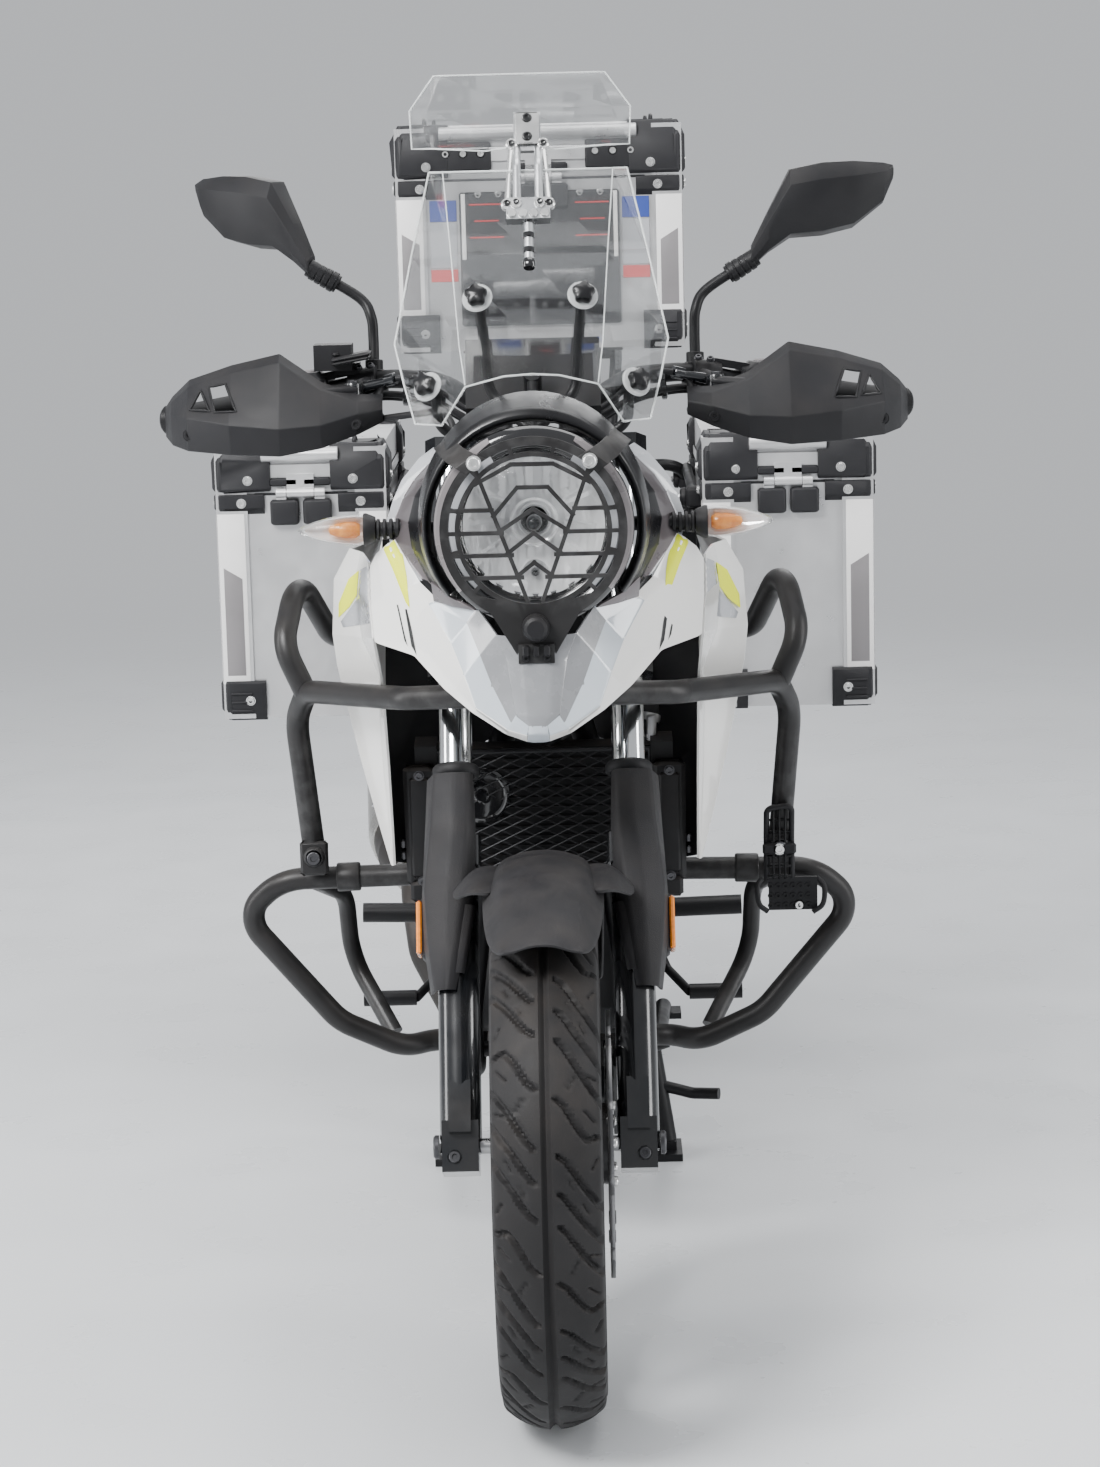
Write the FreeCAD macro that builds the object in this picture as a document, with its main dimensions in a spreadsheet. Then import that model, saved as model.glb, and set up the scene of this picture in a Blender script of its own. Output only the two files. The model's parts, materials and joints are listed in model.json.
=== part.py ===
import FreeCAD, Part
import Sketcher
import math
import os

# Adventure motorcycle, parked upright on its centre stand, in millimetres.
# The front wheel points along -Y, the rider's left is +X and the floor is z = 0.
# "back" below always means a distance behind the front axle.

SIZES = (
    # name, value, what it measures
    ("wheelbase", 1425, "front axle to rear axle"),
    ("front_axle_y", -780, "front axle along the machine"),
    ("rake", 24.5, "steering axis from the vertical, as parked"),
    ("fork_offset", 36, "fork legs ahead of the steering axis"),
    ("fork_spacing", 194, "between the two fork legs"),
    ("fork_tube_dia", 37, "chromed fork tube"),
    ("slider_dia", 50, "lower fork leg"),
    ("slider_top", 345, "front axle to the top of the lower fork leg"),
    ("lower_clamp_at", 545, "front axle to the lower fork clamp, along the leg"),
    ("upper_clamp_at", 798, "front axle to the upper fork clamp, along the leg"),
    ("front_tyre_radius", 304, "front tyre"),
    ("front_tyre_width", 112, "front tyre"),
    ("rear_tyre_radius", 314, "rear tyre"),
    ("rear_tyre_width", 140, "rear tyre"),
    ("rear_lift", 22, "rear tyre above the floor, on the stand"),
    ("bead_radius", 217, "both rims, bead seat"),
    ("tyre_wall", 9, "thickness of the tyre carcass"),
    ("tyre_facets", 50, "flat fields round each tyre"),
    ("front_rim_width", 76, "front rim"),
    ("rear_rim_width", 102, "rear rim"),
    ("front_axle_dia", 17, "front axle"),
    ("rear_axle_dia", 18, "rear axle"),
    ("disc_radius", 145, "front brake disc"),
    ("disc_thickness", 5, "both brake discs"),
    ("disc_plane", 66, "front brake disc from the centre plane"),
    ("rear_disc_radius", 120, "rear brake disc"),
    ("sprocket_radius", 92, "rear sprocket, to the tooth tips"),
    ("chain_plane", 86, "chain from the centre plane"),
    ("front_sprocket_radius", 34, "front sprocket, to the tooth tips"),
    ("pivot_back", 880, "swingarm pivot behind the front axle"),
    ("pivot_height", 405, "swingarm pivot above the floor"),
    ("arm_plane", 121, "swingarm legs from the centre plane"),
    ("lamp_height", 983, "headlamp centre above the floor"),
    ("lamp_back", -12, "headlamp glass behind the front axle"),
    ("lamp_radius", 77, "headlamp glass"),
    ("lamp_bezel", 106, "headlamp housing, outer radius"),
    ("screen_wall", 4, "windscreen thickness"),
    ("spoiler_offset", -8, "spoiler and its arm from the centre plane"),
    ("panel_wall", 3, "moulded body panels"),
    ("bar_dia", 22.2, "handlebar tube"),
    ("bar_half_span", 436, "handlebar end from the centre plane"),
    ("bar_end_height", 1064, "handlebar end above the floor"),
    ("grip_dia", 33, "rubber grips"),
    ("guard_tube", 27, "crash bar tube diameter"),
    ("frame_tube", 30, "main frame tube diameter"),
    ("rail_tube", 25, "rear frame tube diameter"),
    ("rack_tube", 18, "luggage rack tube diameter"),
    ("case_wall", 2, "luggage case sheet"),
    ("pannier_inner", 226, "pannier inner face from the centre plane"),
    ("pannier_width", 232, "pannier across"),
    ("pannier_back", 1150, "pannier front face behind the front axle"),
    ("pannier_length", 440, "pannier fore and aft"),
    ("pannier_foot", 584, "pannier floor above the ground"),
    ("pannier_seam", 905, "pannier lid seam above the ground"),
    ("pannier_lid", 62, "pannier lid height"),
    ("corner_proud", 4, "corner guards proud of the sheet"),
    ("top_case_width", 414, "top case across"),
    ("top_case_back", 1450, "top case front face behind the front axle"),
    ("top_case_length", 410, "top case fore and aft"),
    ("top_case_foot", 1078, "top case floor above the ground"),
    ("top_case_seam", 1330, "top case lid seam above the ground"),
    ("top_case_lid", 74, "top case lid height"),
    ("stand_pivot_back", 952, "centre stand pivot behind the front axle"),
    ("stand_pivot_height", 282, "centre stand pivot above the floor"),
    ("stand_foot_back", 915, "centre stand feet behind the front axle"),
    ("stand_foot_half", 150, "centre stand feet from the centre plane"),
    ("seat_gap", 0.3, "clearance between seated pieces"),
)

doc = FreeCAD.newDocument("adventure_motorcycle")
sheet = doc.addObject("Spreadsheet::Sheet", "Sizes")
for row, (name, value, meaning) in enumerate(SIZES, start=1):
    sheet.set("A" + str(row), name)
    sheet.set("B" + str(row), str(value))
    sheet.set("C" + str(row), meaning)
    sheet.setAlias("B" + str(row), name)
doc.recompute()


class Size:
    """A number together with the sheet formula that it comes from."""

    def __init__(self, value, text):
        self.value = float(value)
        self.text = text

    def __float__(self):
        return self.value

    def __add__(self, other):
        other = sized(other)
        return Size(self.value + other.value, "(" + self.text + " + " + other.text + ")")

    def __sub__(self, other):
        other = sized(other)
        return Size(self.value - other.value, "(" + self.text + " - " + other.text + ")")

    def __mul__(self, other):
        other = sized(other)
        return Size(self.value * other.value, "(" + self.text + " * " + other.text + ")")

    def __truediv__(self, other):
        other = sized(other)
        return Size(self.value / other.value, "(" + self.text + " / " + other.text + ")")

    def __neg__(self):
        return Size(-self.value, "(0 - " + self.text + ")")

    __radd__ = __add__
    __rmul__ = __mul__

    def __rsub__(self, other):
        return sized(other) - self


def sized(number):
    """Any plain number as a Size."""
    if isinstance(number, Size):
        return number
    return Size(number, repr(float(number)))


def size(name):
    """The named size as the sheet holds it."""
    return Size(sheet.get(name), "Sizes." + name)


V = FreeCAD.Vector
X_AXIS = V(1, 0, 0)
Y_AXIS = V(0, 1, 0)
Z_AXIS = V(0, 0, 1)
ALONG_X = FreeCAD.Rotation(Y_AXIS, 90)

front_y = size("front_axle_y")
rear_y = front_y + size("wheelbase")
front_z = size("front_tyre_radius")
rear_z = size("rear_tyre_radius") + size("rear_lift")
gap = size("seat_gap")
rake_angle = math.radians(float(size("rake")))
half_fork = size("fork_spacing") / 2
stem_behind = size("fork_offset")
tube_radius = size("fork_tube_dia") / 2
panel_wall = float(size("panel_wall"))


def at(x, back, z):
    """A point given across, behind the front axle and above the floor."""
    return V(float(x), float(front_y) + float(back), float(z))


FORK_FRAME = FreeCAD.Placement(at(0, 0, front_z), FreeCAD.Rotation(X_AXIS, -float(size("rake"))))


def fork_point(x, behind, along):
    """A point given across, behind the fork legs and up along them from the front axle."""
    return FORK_FRAME.multVec(V(float(x), float(behind), float(along)))


# Helpers that make objects of the document

nodes = []


def node(item, name):
    """Names a finished sub-part and keeps it for export."""
    item.Label = name
    nodes.append(item)
    return item


def bind(item, prop, amount):
    """Ties one property of an object to the sheet."""
    amount = sized(amount)
    setattr(item, prop, amount.value)
    if "Sizes." in amount.text:
        item.setExpression(prop, amount.text)


def bind_base(item, x, y, z):
    """Ties an object's position to the sheet."""
    for axis_name, amount in (("x", x), ("y", y), ("z", z)):
        amount = sized(amount)
        if "Sizes." in amount.text:
            item.setExpression("Placement.Base." + axis_name, amount.text)


def cylinder(name, radius, height, base, rotation=FreeCAD.Rotation()):
    """A cylinder that starts at base and runs along its own turned Z axis."""
    item = doc.addObject("Part::Cylinder", name)
    bind(item, "Radius", radius)
    bind(item, "Height", height)
    item.Placement = FreeCAD.Placement(V(*[float(sized(c)) for c in base]), rotation)
    bind_base(item, *base)
    return item


def cross_rod(name, radius, half_length, y, z, middle=0):
    """A round rod along X, centred on middle."""
    start = sized(middle) - sized(half_length)
    return cylinder(name, radius, sized(half_length) * 2, (start, y, z), ALONG_X)


def fused(name, parts):
    item = doc.addObject("Part::MultiFuse", name)
    item.Shapes = list(parts)
    return item


def cut(name, base, tool):
    item = doc.addObject("Part::Cut", name)
    item.Base = base
    item.Tool = tool
    return item


def group(name, parts):
    """Several like pieces that don't touch, kept as one sub-part."""
    item = doc.addObject("Part::Compound", name)
    item.Links = list(parts)
    return item


def formed(name, shape, placement=FreeCAD.Placement()):
    """A free form worked out by the functions below."""
    item = doc.addObject("Part::Feature", name)
    item.Shape = shape
    item.Placement = placement
    return item


def mirrored(shape):
    return shape.mirror(V(0, 0, 0), X_AXIS)


def both_sides(shape):
    return Part.makeCompound([shape, mirrored(shape)])


def one_solid(shapes):
    """Shapes that overlap or touch, joined as one solid."""
    joined = shapes[0].multiFuse(list(shapes[1:])).removeSplitter()
    return joined.Solids[0] if len(joined.Solids) == 1 else joined


# Helpers for the shapes themselves

def tube(points, diameter, bend=60.0):
    """A round bar or tube along a bent route: straight runs and even bends of at most one radius."""
    radius = float(diameter) / 2
    pieces = []
    start = points[0]
    for before, corner, after in zip(points, points[1:], points[2:]):
        arriving = (corner - before).normalize()
        leaving = (after - corner).normalize()
        turn = arriving.getAngle(leaving)
        if turn < 1e-4:
            continue
        room = 0.48 * min((corner - before).Length, (after - corner).Length)
        curve = min(bend, room / math.tan(turn / 2))
        if curve < radius * 1.2:
            raise ValueError("a bend is tighter than its tube near " + str(corner))
        reach = curve * math.tan(turn / 2)
        first = corner - arriving * reach
        inward = (leaving - arriving).normalize()
        centre = corner + inward * (curve / math.cos(turn / 2))
        if (first - start).Length > 1e-4:
            pieces.append(rod(start, first, diameter))
        disc = Part.Face(Part.Wire(Part.Circle(first, arriving, radius).toShape()))
        pieces.append(disc.revolve(centre, arriving.cross(leaving), math.degrees(turn)))
        start = corner + leaving * reach
    pieces.append(rod(start, points[-1], diameter))
    if len(pieces) == 1:
        return pieces[0]
    return pieces[0].multiFuse(pieces[1:]).removeSplitter()


def rod(start, end, diameter):
    """A straight round bar between two points."""
    direction = end - start
    return Part.makeCylinder(float(diameter) / 2, direction.Length, start, direction)


def polygon_face(points):
    return Part.Face(Part.makePolygon(list(points) + [points[0]]))


def prism(points, direction):
    """A flat outline carried along a direction."""
    return polygon_face(points).extrude(direction)


def ring_section(half_width, low, high, round_low, round_high, back):
    """A closed upright section with rounded corners, at one place along the machine."""
    y = float(front_y) + float(back)
    edges = []
    corners = (
        (half_width, low, round_low, (1, -1)),
        (half_width, high, round_high, (1, 1)),
        (-half_width, high, round_high, (-1, 1)),
        (-half_width, low, round_low, (-1, -1)),
    )
    arcs = []
    for x, z, radius, (sx, sz) in corners:
        centre = V(x - sx * radius, y, z - sz * radius)
        across = centre + V(sx * radius, 0, 0)
        upright = centre + V(0, 0, sz * radius)
        middle = centre + V(sx, 0, sz) * (radius * math.sqrt(0.5))
        ends = (upright, across) if sx * sz < 0 else (across, upright)
        arcs.append((ends[0], middle, ends[1]))
    for index, (first, middle, last) in enumerate(arcs):
        edges.append(Part.Arc(first, middle, last).toShape())
        following = arcs[(index + 1) % len(arcs)][0]
        edges.append(Part.LineSegment(last, following).toShape())
    return Part.Wire(edges)


def lofted(sections, ruled=False):
    return Part.makeLoft(sections, True, ruled)


def facet_panel(rows, wall, outward):
    """A moulded panel of flat facets: a grid of points given thickness away from outward.

    rows is a grid of points, each row along the panel's edge and each column across it.
    """
    tall = len(rows)
    wide = len(rows[0])
    normals = {}
    triangles = []
    for i in range(tall - 1):
        for j in range(wide - 1):
            a, b, c, d = (i, j), (i, j + 1), (i + 1, j + 1), (i + 1, j)
            triangles += [(a, b, c), (a, c, d)]
    for corners in triangles:
        p, q, r = (rows[i][j] for i, j in corners)
        normal = (q - p).cross(r - p)
        if normal.Length < 1e-6:
            continue
        for key in corners:
            normals[key] = normals.get(key, V(0, 0, 0)) + normal
    sample = normals[(tall // 2, wide // 2)]
    side = 1.0 if sample.dot(outward) > 0 else -1.0
    outer = {}
    inner = {}
    for i in range(tall):
        for j in range(wide):
            outer[(i, j)] = rows[i][j]
            inner[(i, j)] = rows[i][j] - V(normals[(i, j)]).normalize() * (side * wall)
    rim = [(0, j) for j in range(wide)]
    rim += [(i, wide - 1) for i in range(1, tall)]
    rim += [(tall - 1, j) for j in range(wide - 2, -1, -1)]
    rim += [(i, 0) for i in range(tall - 2, 0, -1)]
    faces = []
    for skin in (outer, inner):
        for corners in triangles:
            faces.append(triangle([skin[key] for key in corners]))
    for here, there in zip(rim, rim[1:] + rim[:1]):
        faces.append(triangle([outer[here], outer[there], inner[there]]))
        faces.append(triangle([outer[here], inner[there], inner[here]]))
    faces = [face for face in faces if face is not None]
    solid = Part.Solid(Part.makeShell(faces))
    if solid.Volume < 0:
        solid.reverse()
    return solid.removeSplitter()


def triangle(points):
    """One flat facet, or nothing where its corners fall together."""
    p, q, r = points
    if (q - p).cross(r - p).Length < 1e-6:
        return None
    return polygon_face(points)


def body_plane(body, role):
    """One of a body's own origin planes."""
    return [f for f in body.Origin.OriginFeatures if f.Role == role][0]


def sketch_on(body, role, name, outline, offset=0.0):
    """A closed outline on an origin plane, each corner tied to the sheet.

    outline holds corners (u, v), or (u, v, "arc", mu, mv) for an arc that arrives at the corner
    through the point (mu, mv).
    """
    sketch = body.newObject("Sketcher::SketchObject", name)
    sketch.AttachmentSupport = [(body_plane(body, role), "")]
    sketch.MapMode = "FlatFace"
    sketch.AttachmentOffset = FreeCAD.Placement(V(0, 0, float(offset)), FreeCAD.Rotation())
    count = len(outline)
    corners = [(sized(c[0]), sized(c[1])) for c in outline]
    shapes = []
    ends = []
    held = []
    for index in range(count):
        here = V(corners[index][0].value, corners[index][1].value, 0)
        after = outline[(index + 1) % count]
        following = corners[(index + 1) % count]
        there = V(following[0].value, following[1].value, 0)
        if len(after) > 2:
            middle = V(float(sized(after[3])), float(sized(after[4])), 0)
            curve, forwards = flat_arc(here, middle, there)
            shapes.append(curve)
            ends.append((1, 2) if forwards else (2, 1))
            steep = abs(there.x - here.x) < abs(there.y - here.y)
            kind = "DistanceX" if steep else "DistanceY"
            place = curve.Center.x if steep else curve.Center.y
            held.append(Sketcher.Constraint(kind, -1, 1, index, 3, place))
        else:
            shapes.append(Part.LineSegment(here, there))
            ends.append((1, 2))
    sketch.addGeometry(shapes, False)
    joins = []
    names = []
    for index in range(count):
        following = (index + 1) % count
        joins.append(Sketcher.Constraint("Coincident", index, ends[index][1], following, ends[following][0]))
    for index in range(count):
        for kind, amount in zip(("DistanceX", "DistanceY"), corners[index]):
            names.append((count + len(names), kind + str(index), amount.text))
            joins.append(Sketcher.Constraint(kind, -1, 1, index, ends[index][0], amount.value))
    sketch.addConstraint(joins + held)
    for number, label, text in names:
        sketch.renameConstraint(number, label)
        if "Sizes." in text:
            sketch.setExpression("Constraints." + label, text)
    return sketch


def flat_arc(here, middle, there):
    """An arc in a sketch's plane through three points, and whether it runs forwards."""
    through = Part.Arc(here, middle, there).toShape().Curve
    centre = through.Center
    forwards = (middle - here).cross(there - middle).z > 0
    first, last = (here, there) if forwards else (there, here)
    start = math.atan2(first.y - centre.y, first.x - centre.x)
    end = math.atan2(last.y - centre.y, last.x - centre.x)
    if end < start:
        end += 2 * math.pi
    return Part.ArcOfCircle(Part.Circle(centre, Z_AXIS, through.Radius), start, end), forwards


def circle_sketch(body, role, name, circles, offset=0.0):
    """Round outlines (u, v, radius) on an origin plane."""
    sketch = body.newObject("Sketcher::SketchObject", name)
    sketch.AttachmentSupport = [(body_plane(body, role), "")]
    sketch.MapMode = "FlatFace"
    sketch.AttachmentOffset = FreeCAD.Placement(V(0, 0, float(offset)), FreeCAD.Rotation())
    for index, (u, v, radius) in enumerate(circles):
        u, v, radius = sized(u), sized(v), sized(radius)
        centre = V(u.value, v.value, 0)
        geo = sketch.addGeometry(Part.Circle(centre, Z_AXIS, radius.value), False)
        rows = (("DistanceX", u), ("DistanceY", v))
        for kind, amount in rows:
            number = sketch.addConstraint(Sketcher.Constraint(kind, -1, 1, geo, 3, amount.value))
            label = kind + str(index)
            sketch.renameConstraint(number, label)
            if "Sizes." in amount.text:
                sketch.setExpression("Constraints." + label, amount.text)
        number = sketch.addConstraint(Sketcher.Constraint("Radius", geo, radius.value))
        label = "Round" + str(index)
        sketch.renameConstraint(number, label)
        if "Sizes." in radius.text:
            sketch.setExpression("Constraints." + label, radius.text)
    return sketch


def new_body(name):
    return doc.addObject("PartDesign::Body", name)


def revolved(body, sketch, name="Turned"):
    """A full turn of a sketch about its own horizontal axis, which lies along X."""
    feature = body.newObject("PartDesign::Revolution", name)
    feature.Profile = sketch
    feature.ReferenceAxis = (sketch, ["H_Axis"])
    feature.Angle = 360
    return feature


def padded(body, sketch, length, name="Pad", middle=False, backwards=False):
    feature = body.newObject("PartDesign::Pad", name)
    feature.Profile = sketch
    bind(feature, "Length", length)
    feature.Midplane = middle
    feature.Reversed = backwards
    return feature


def pocketed(body, sketch, name="Opening", middle=True, length=None):
    """A cut through everything, or to a depth."""
    feature = body.newObject("PartDesign::Pocket", name)
    feature.Profile = sketch
    if length is None:
        feature.Type = 1
    else:
        bind(feature, "Length", length)
    feature.Midplane = middle
    return feature


def around(body, feature, sketch, count, name="Ring"):
    """Copies of a feature round the sketch's normal, which lies along X."""
    pattern = body.newObject("PartDesign::PolarPattern", name)
    pattern.Originals = [feature]
    pattern.Axis = (sketch, ["N_Axis"])
    pattern.Angle = 360
    pattern.Occurrences = count
    body.Tip = pattern
    return pattern


def put(body, x, y, z):
    body.Placement = FreeCAD.Placement(V(*[float(sized(c)) for c in (x, y, z)]), FreeCAD.Rotation())
    bind_base(body, x, y, z)


# Wheels

def faceted_ring(section, steps, centre):
    """A ring of flat fields round an axis along X. The section is a closed row of (across, radius)."""
    rings = []
    for step in range(steps):
        turn = 2 * math.pi * step / steps
        rings.append([centre + V(x, r * math.sin(turn), r * math.cos(turn)) for x, r in section])
    faces = []
    for step in range(steps):
        here, there = rings[step], rings[(step + 1) % steps]
        for index in range(len(section)):
            after = (index + 1) % len(section)
            faces.append(polygon_face([here[index], here[after], there[after], there[index]]))
    return Part.makeSolid(Part.makeShell(faces))


def tyre(name, radius, width, rim_width, y, z):
    """A hollow carcass: bead, wall, shoulder and a round crown, open towards the rim."""
    steps = int(float(size("tyre_facets")))
    radius, width, rim_width = float(radius), float(width), float(rim_width)
    bead = (float(size("bead_radius")) + float(gap)) / math.cos(math.pi / steps)
    wall = float(size("tyre_wall"))
    half = width / 2
    seat = rim_width / 2 - 5.4
    tread = half - 3
    shoulder = radius - 24
    bulge = radius - 52
    outside = [
        (seat, bead), (seat + 0.4, bead + 14), (half - 7, bead + 20), (half, bulge),
        (tread, shoulder), (tread * 0.72, radius - 11.5), (tread * 0.36, radius - 2.7),
    ]
    inside = [
        (seat - wall, bead), (seat - wall, bead + 18), (half - wall, bulge), (tread * 0.66, radius - wall - 10),
    ]
    outline = outside + [(0, radius)] + [(-x, r) for x, r in reversed(outside)]
    outline += [(-x, r) for x, r in inside] + [(0, radius - wall)] + list(reversed(inside))
    centre = V(0, float(y), float(z))
    return node(formed(name + "_carcass", faceted_ring(outline, steps, centre)), name)


tyre("front_tyre", size("front_tyre_radius"), size("front_tyre_width"), size("front_rim_width"),
     front_y, front_z)
tyre("rear_tyre", size("rear_tyre_radius"), size("rear_tyre_width"), size("rear_rim_width"),
     rear_y, rear_z)


def cast_wheel(name, rim_width, axle_dia, hub_half, y, z, hub_radius, disc_face, flange):
    """A rim and hub joined by a tapered web, which five pairs of windows cut into spokes."""
    body = new_body(name)
    half = rim_width / 2
    bead = size("bead_radius")
    lip = bead + 14
    well = bead - 16
    web_rim = 10
    web_hub = 17
    bore = axle_dia / 2 + gap
    outline = (
        (-hub_half, bore),
        (disc_face, bore),
        (disc_face, flange),
        (disc_face - 8, flange),
        (hub_half - 12, hub_radius),
        (web_hub, hub_radius + 6),
        (web_rim, well - 16),
        (half - 14, well - 7),
        (half - 7, bead - 8),
        (half - 3, bead - 7),
        (half, lip),
        (half - 4.5, lip),
        (half - 5, bead),
        (half - 12, bead),
        (half - 20, well),
        (-half + 20, well),
        (-half + 12, bead),
        (-half + 5, bead),
        (-half + 4.5, lip),
        (-half, lip),
        (-half + 3, bead - 7),
        (-half + 7, bead - 8),
        (-half + 14, well - 7),
        (-web_rim, well - 16),
        (-web_hub, hub_radius + 6),
        (-hub_half, hub_radius),
    )
    revolved(body, sketch_on(body, "XZ_Plane", name + "_section", outline))
    doc.recompute()
    inner = hub_radius + 14
    outer = well - 18
    windows = (
        # half angle at the hub, half angle at the rim, turn of the middle line
        (16.0, 28.5, 0.0),
        (0.8, 5.0, 36.0),
    )
    for number, (near, far, turn) in enumerate(windows):
        start = inner if number == 0 else inner + 42
        corners = []
        for radius, angle in ((start, -near), (outer, -far), (outer, far), (start, near)):
            direction = math.radians(turn + angle)
            corners.append((radius * math.cos(direction), radius * math.sin(direction)))
        middle = (outer * math.cos(math.radians(turn)), outer * math.sin(math.radians(turn)))
        corners[2] = (corners[2][0], corners[2][1], "arc", middle[0], middle[1])
        sketch = sketch_on(body, "YZ_Plane", name + "_window" + str(number), corners)
        window = pocketed(body, sketch, "Window" + str(number))
        around(body, window, sketch, 5, "Windows" + str(number))
    put(body, 0, y, z)
    return node(body, name)


cast_wheel("front_wheel", size("front_rim_width"), size("front_axle_dia"), 38, front_y, front_z, 32,
           size("disc_plane") - size("disc_thickness") / 2 - gap, 44)
cast_wheel("rear_wheel", size("rear_rim_width"), size("rear_axle_dia"), 62, rear_y, rear_z, 40, 62, 42)


def brake_disc(name, radius, inner, plane, y, z, carrier):
    """A petal disc: a ring with scalloped edge, joined to its hub ring by slanted arms."""
    body = new_body(name)
    thickness = size("disc_thickness")
    outer_sketch = circle_sketch(body, "YZ_Plane", name + "_ring", [(0, 0, radius), (0, 0, carrier)])
    padded(body, outer_sketch, thickness, "Ring", middle=True)
    doc.recompute()
    notch = circle_sketch(body, "YZ_Plane", name + "_notch", [(radius + 9, 0, 14)])
    around(body, pocketed(body, notch, "Notch"), notch, 10, "Petals")
    doc.recompute()
    reach = carrier + 12
    window_corners = []
    for ring_radius, angle in ((reach, -14), (inner, -26), (inner, 16), (reach, 10)):
        direction = math.radians(angle)
        window_corners.append((ring_radius * math.cos(direction), ring_radius * math.sin(direction)))
    window = sketch_on(body, "YZ_Plane", name + "_window", window_corners)
    around(body, pocketed(body, window, "Window"), window, 6, "Arms")
    put(body, plane, y, z)
    return node(body, name)


brake_disc("front_disc", size("disc_radius"), size("disc_radius") - 34, size("disc_plane"),
           front_y, front_z, 34)


def rear_disc_and_sprocket():
    """The rear disc on the right and the toothed sprocket on the left, on one hub."""
    thickness = size("disc_thickness")
    plane = size("chain_plane")
    disc = fused("rear_disc_blank", [
        cross_rod("rear_disc_plate", size("rear_disc_radius"), thickness / 2, rear_y, rear_z, -plane),
        cross_rod("rear_disc_boss", 42, (plane - 62) / 2, rear_y, rear_z, -(plane + 62) / 2),
    ])
    bore = cross_rod("rear_disc_bore", size("rear_axle_dia") / 2 + gap, 120, rear_y, rear_z)
    sprocket = fused("rear_sprocket_blank", [
        cross_rod("sprocket_plate", size("sprocket_radius"), 3.5, rear_y, rear_z, plane),
        cross_rod("sprocket_boss", 50, (plane - 62) / 2, rear_y, rear_z, (plane + 62) / 2),
    ])
    second_bore = cross_rod("sprocket_bore", size("rear_axle_dia") / 2 + gap, 120, rear_y, rear_z)
    pair = group("rear_hub_plates", [
        cut("rear_disc_bored", disc, bore),
        cut("rear_sprocket_bored", sprocket, second_bore),
    ])
    return node(pair, "rear_disc_and_sprocket")


rear_disc_and_sprocket()


# Fork and steering, which turn together

def fork_cylinder(name, radius, low, high, x, behind=0.0):
    """A cylinder along the fork legs, from low to high above the axle."""
    item = doc.addObject("Part::Cylinder", name)
    bind(item, "Radius", radius)
    bind(item, "Height", sized(high) - sized(low))
    item.Placement = FreeCAD.Placement(fork_point(x, behind, low), FORK_FRAME.Rotation)
    return item


def fork_tubes():
    top = size("upper_clamp_at") + 14
    legs = []
    for side, label in ((1, "left"), (-1, "right")):
        legs.append(fork_cylinder("fork_tube_" + label, tube_radius, size("slider_top"), top,
                                  half_fork * side))
    return node(group("fork_tube_pair", legs), "fork_tubes")


fork_tubes()


def fork_sliders():
    """The lower legs: a round leg with a seal collar and a lug that clamps the axle."""
    radius = size("slider_dia") / 2
    top = size("slider_top")
    axle_hole = float(size("front_axle_dia")) / 2 + float(gap)
    legs = []
    for side in (1, -1):
        x = float(half_fork) * side
        leg = Part.makeCylinder(float(radius) - 2, float(top) + 8, V(x, 0, -8))
        collar = Part.makeCylinder(float(radius) + 2, 34, V(x, 0, float(top) - 34))
        lug = Part.makeBox(40, 46, 56, V(x - 20, -23, -30))
        tongue = prism([V(x - 12, -34, 12), V(x - 12, -22, 70), V(x - 12, 0, 70), V(x - 12, 0, 12)],
                       V(24, 0, 0))
        hole = Part.makeCylinder(axle_hole, 200, V(x - 100, 0, 0), X_AXIS)
        legs.append(one_solid([leg, collar, lug, tongue]).cut(hole))
    return node(formed("fork_slider_pair", Part.makeCompound(legs), FORK_FRAME), "fork_sliders")


fork_sliders()

axle = cross_rod("front_axle_rod", size("front_axle_dia") / 2, half_fork + 21, front_y, front_z)
node(axle, "front_axle")


def clamp_plate(along, thick, nose):
    """A fork clamp: a bridge that narrows round the two legs and the stem."""
    x = float(half_fork)
    behind = float(stem_behind)
    outline = [
        V(-x - 30, -14, 0), V(-x - 18, -28, 0), V(-x + 22, -28, 0), V(-40, nose, 0),
        V(40, nose, 0), V(x - 22, -28, 0), V(x + 18, -28, 0), V(x + 30, -14, 0),
        V(x + 30, 14, 0), V(x + 14, 28, 0), V(36, behind + 26, 0),
        V(-36, behind + 26, 0), V(-x - 14, 28, 0), V(-x - 30, 14, 0),
    ]
    low = along - thick / 2
    plate = prism([p + V(0, 0, low) for p in outline], V(0, 0, thick))
    for side in (1, -1):
        hole = Part.makeCylinder(float(tube_radius) + float(gap), thick + 2, V(x * side, 0, low - 1))
        plate = plate.cut(hole)
    return plate


def triple_clamps():
    low = float(size("lower_clamp_at"))
    high = float(size("upper_clamp_at"))
    stem = Part.makeCylinder(13, high - low + 10, V(0, float(stem_behind), low - 5))
    nut = Part.makeCylinder(17, 12, V(0, float(stem_behind), high + 8), Z_AXIS)
    seats = [Part.makeCylinder(22, 6.7, V(0, float(stem_behind), level)) for level in (low + 17, high - 17.7)]
    shape = one_solid([clamp_plate(low, 34, -22), clamp_plate(high, 22, -12), stem, nut] + seats)
    return node(formed("fork_clamps", shape, FORK_FRAME), "triple_clamps")


triple_clamps()

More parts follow.
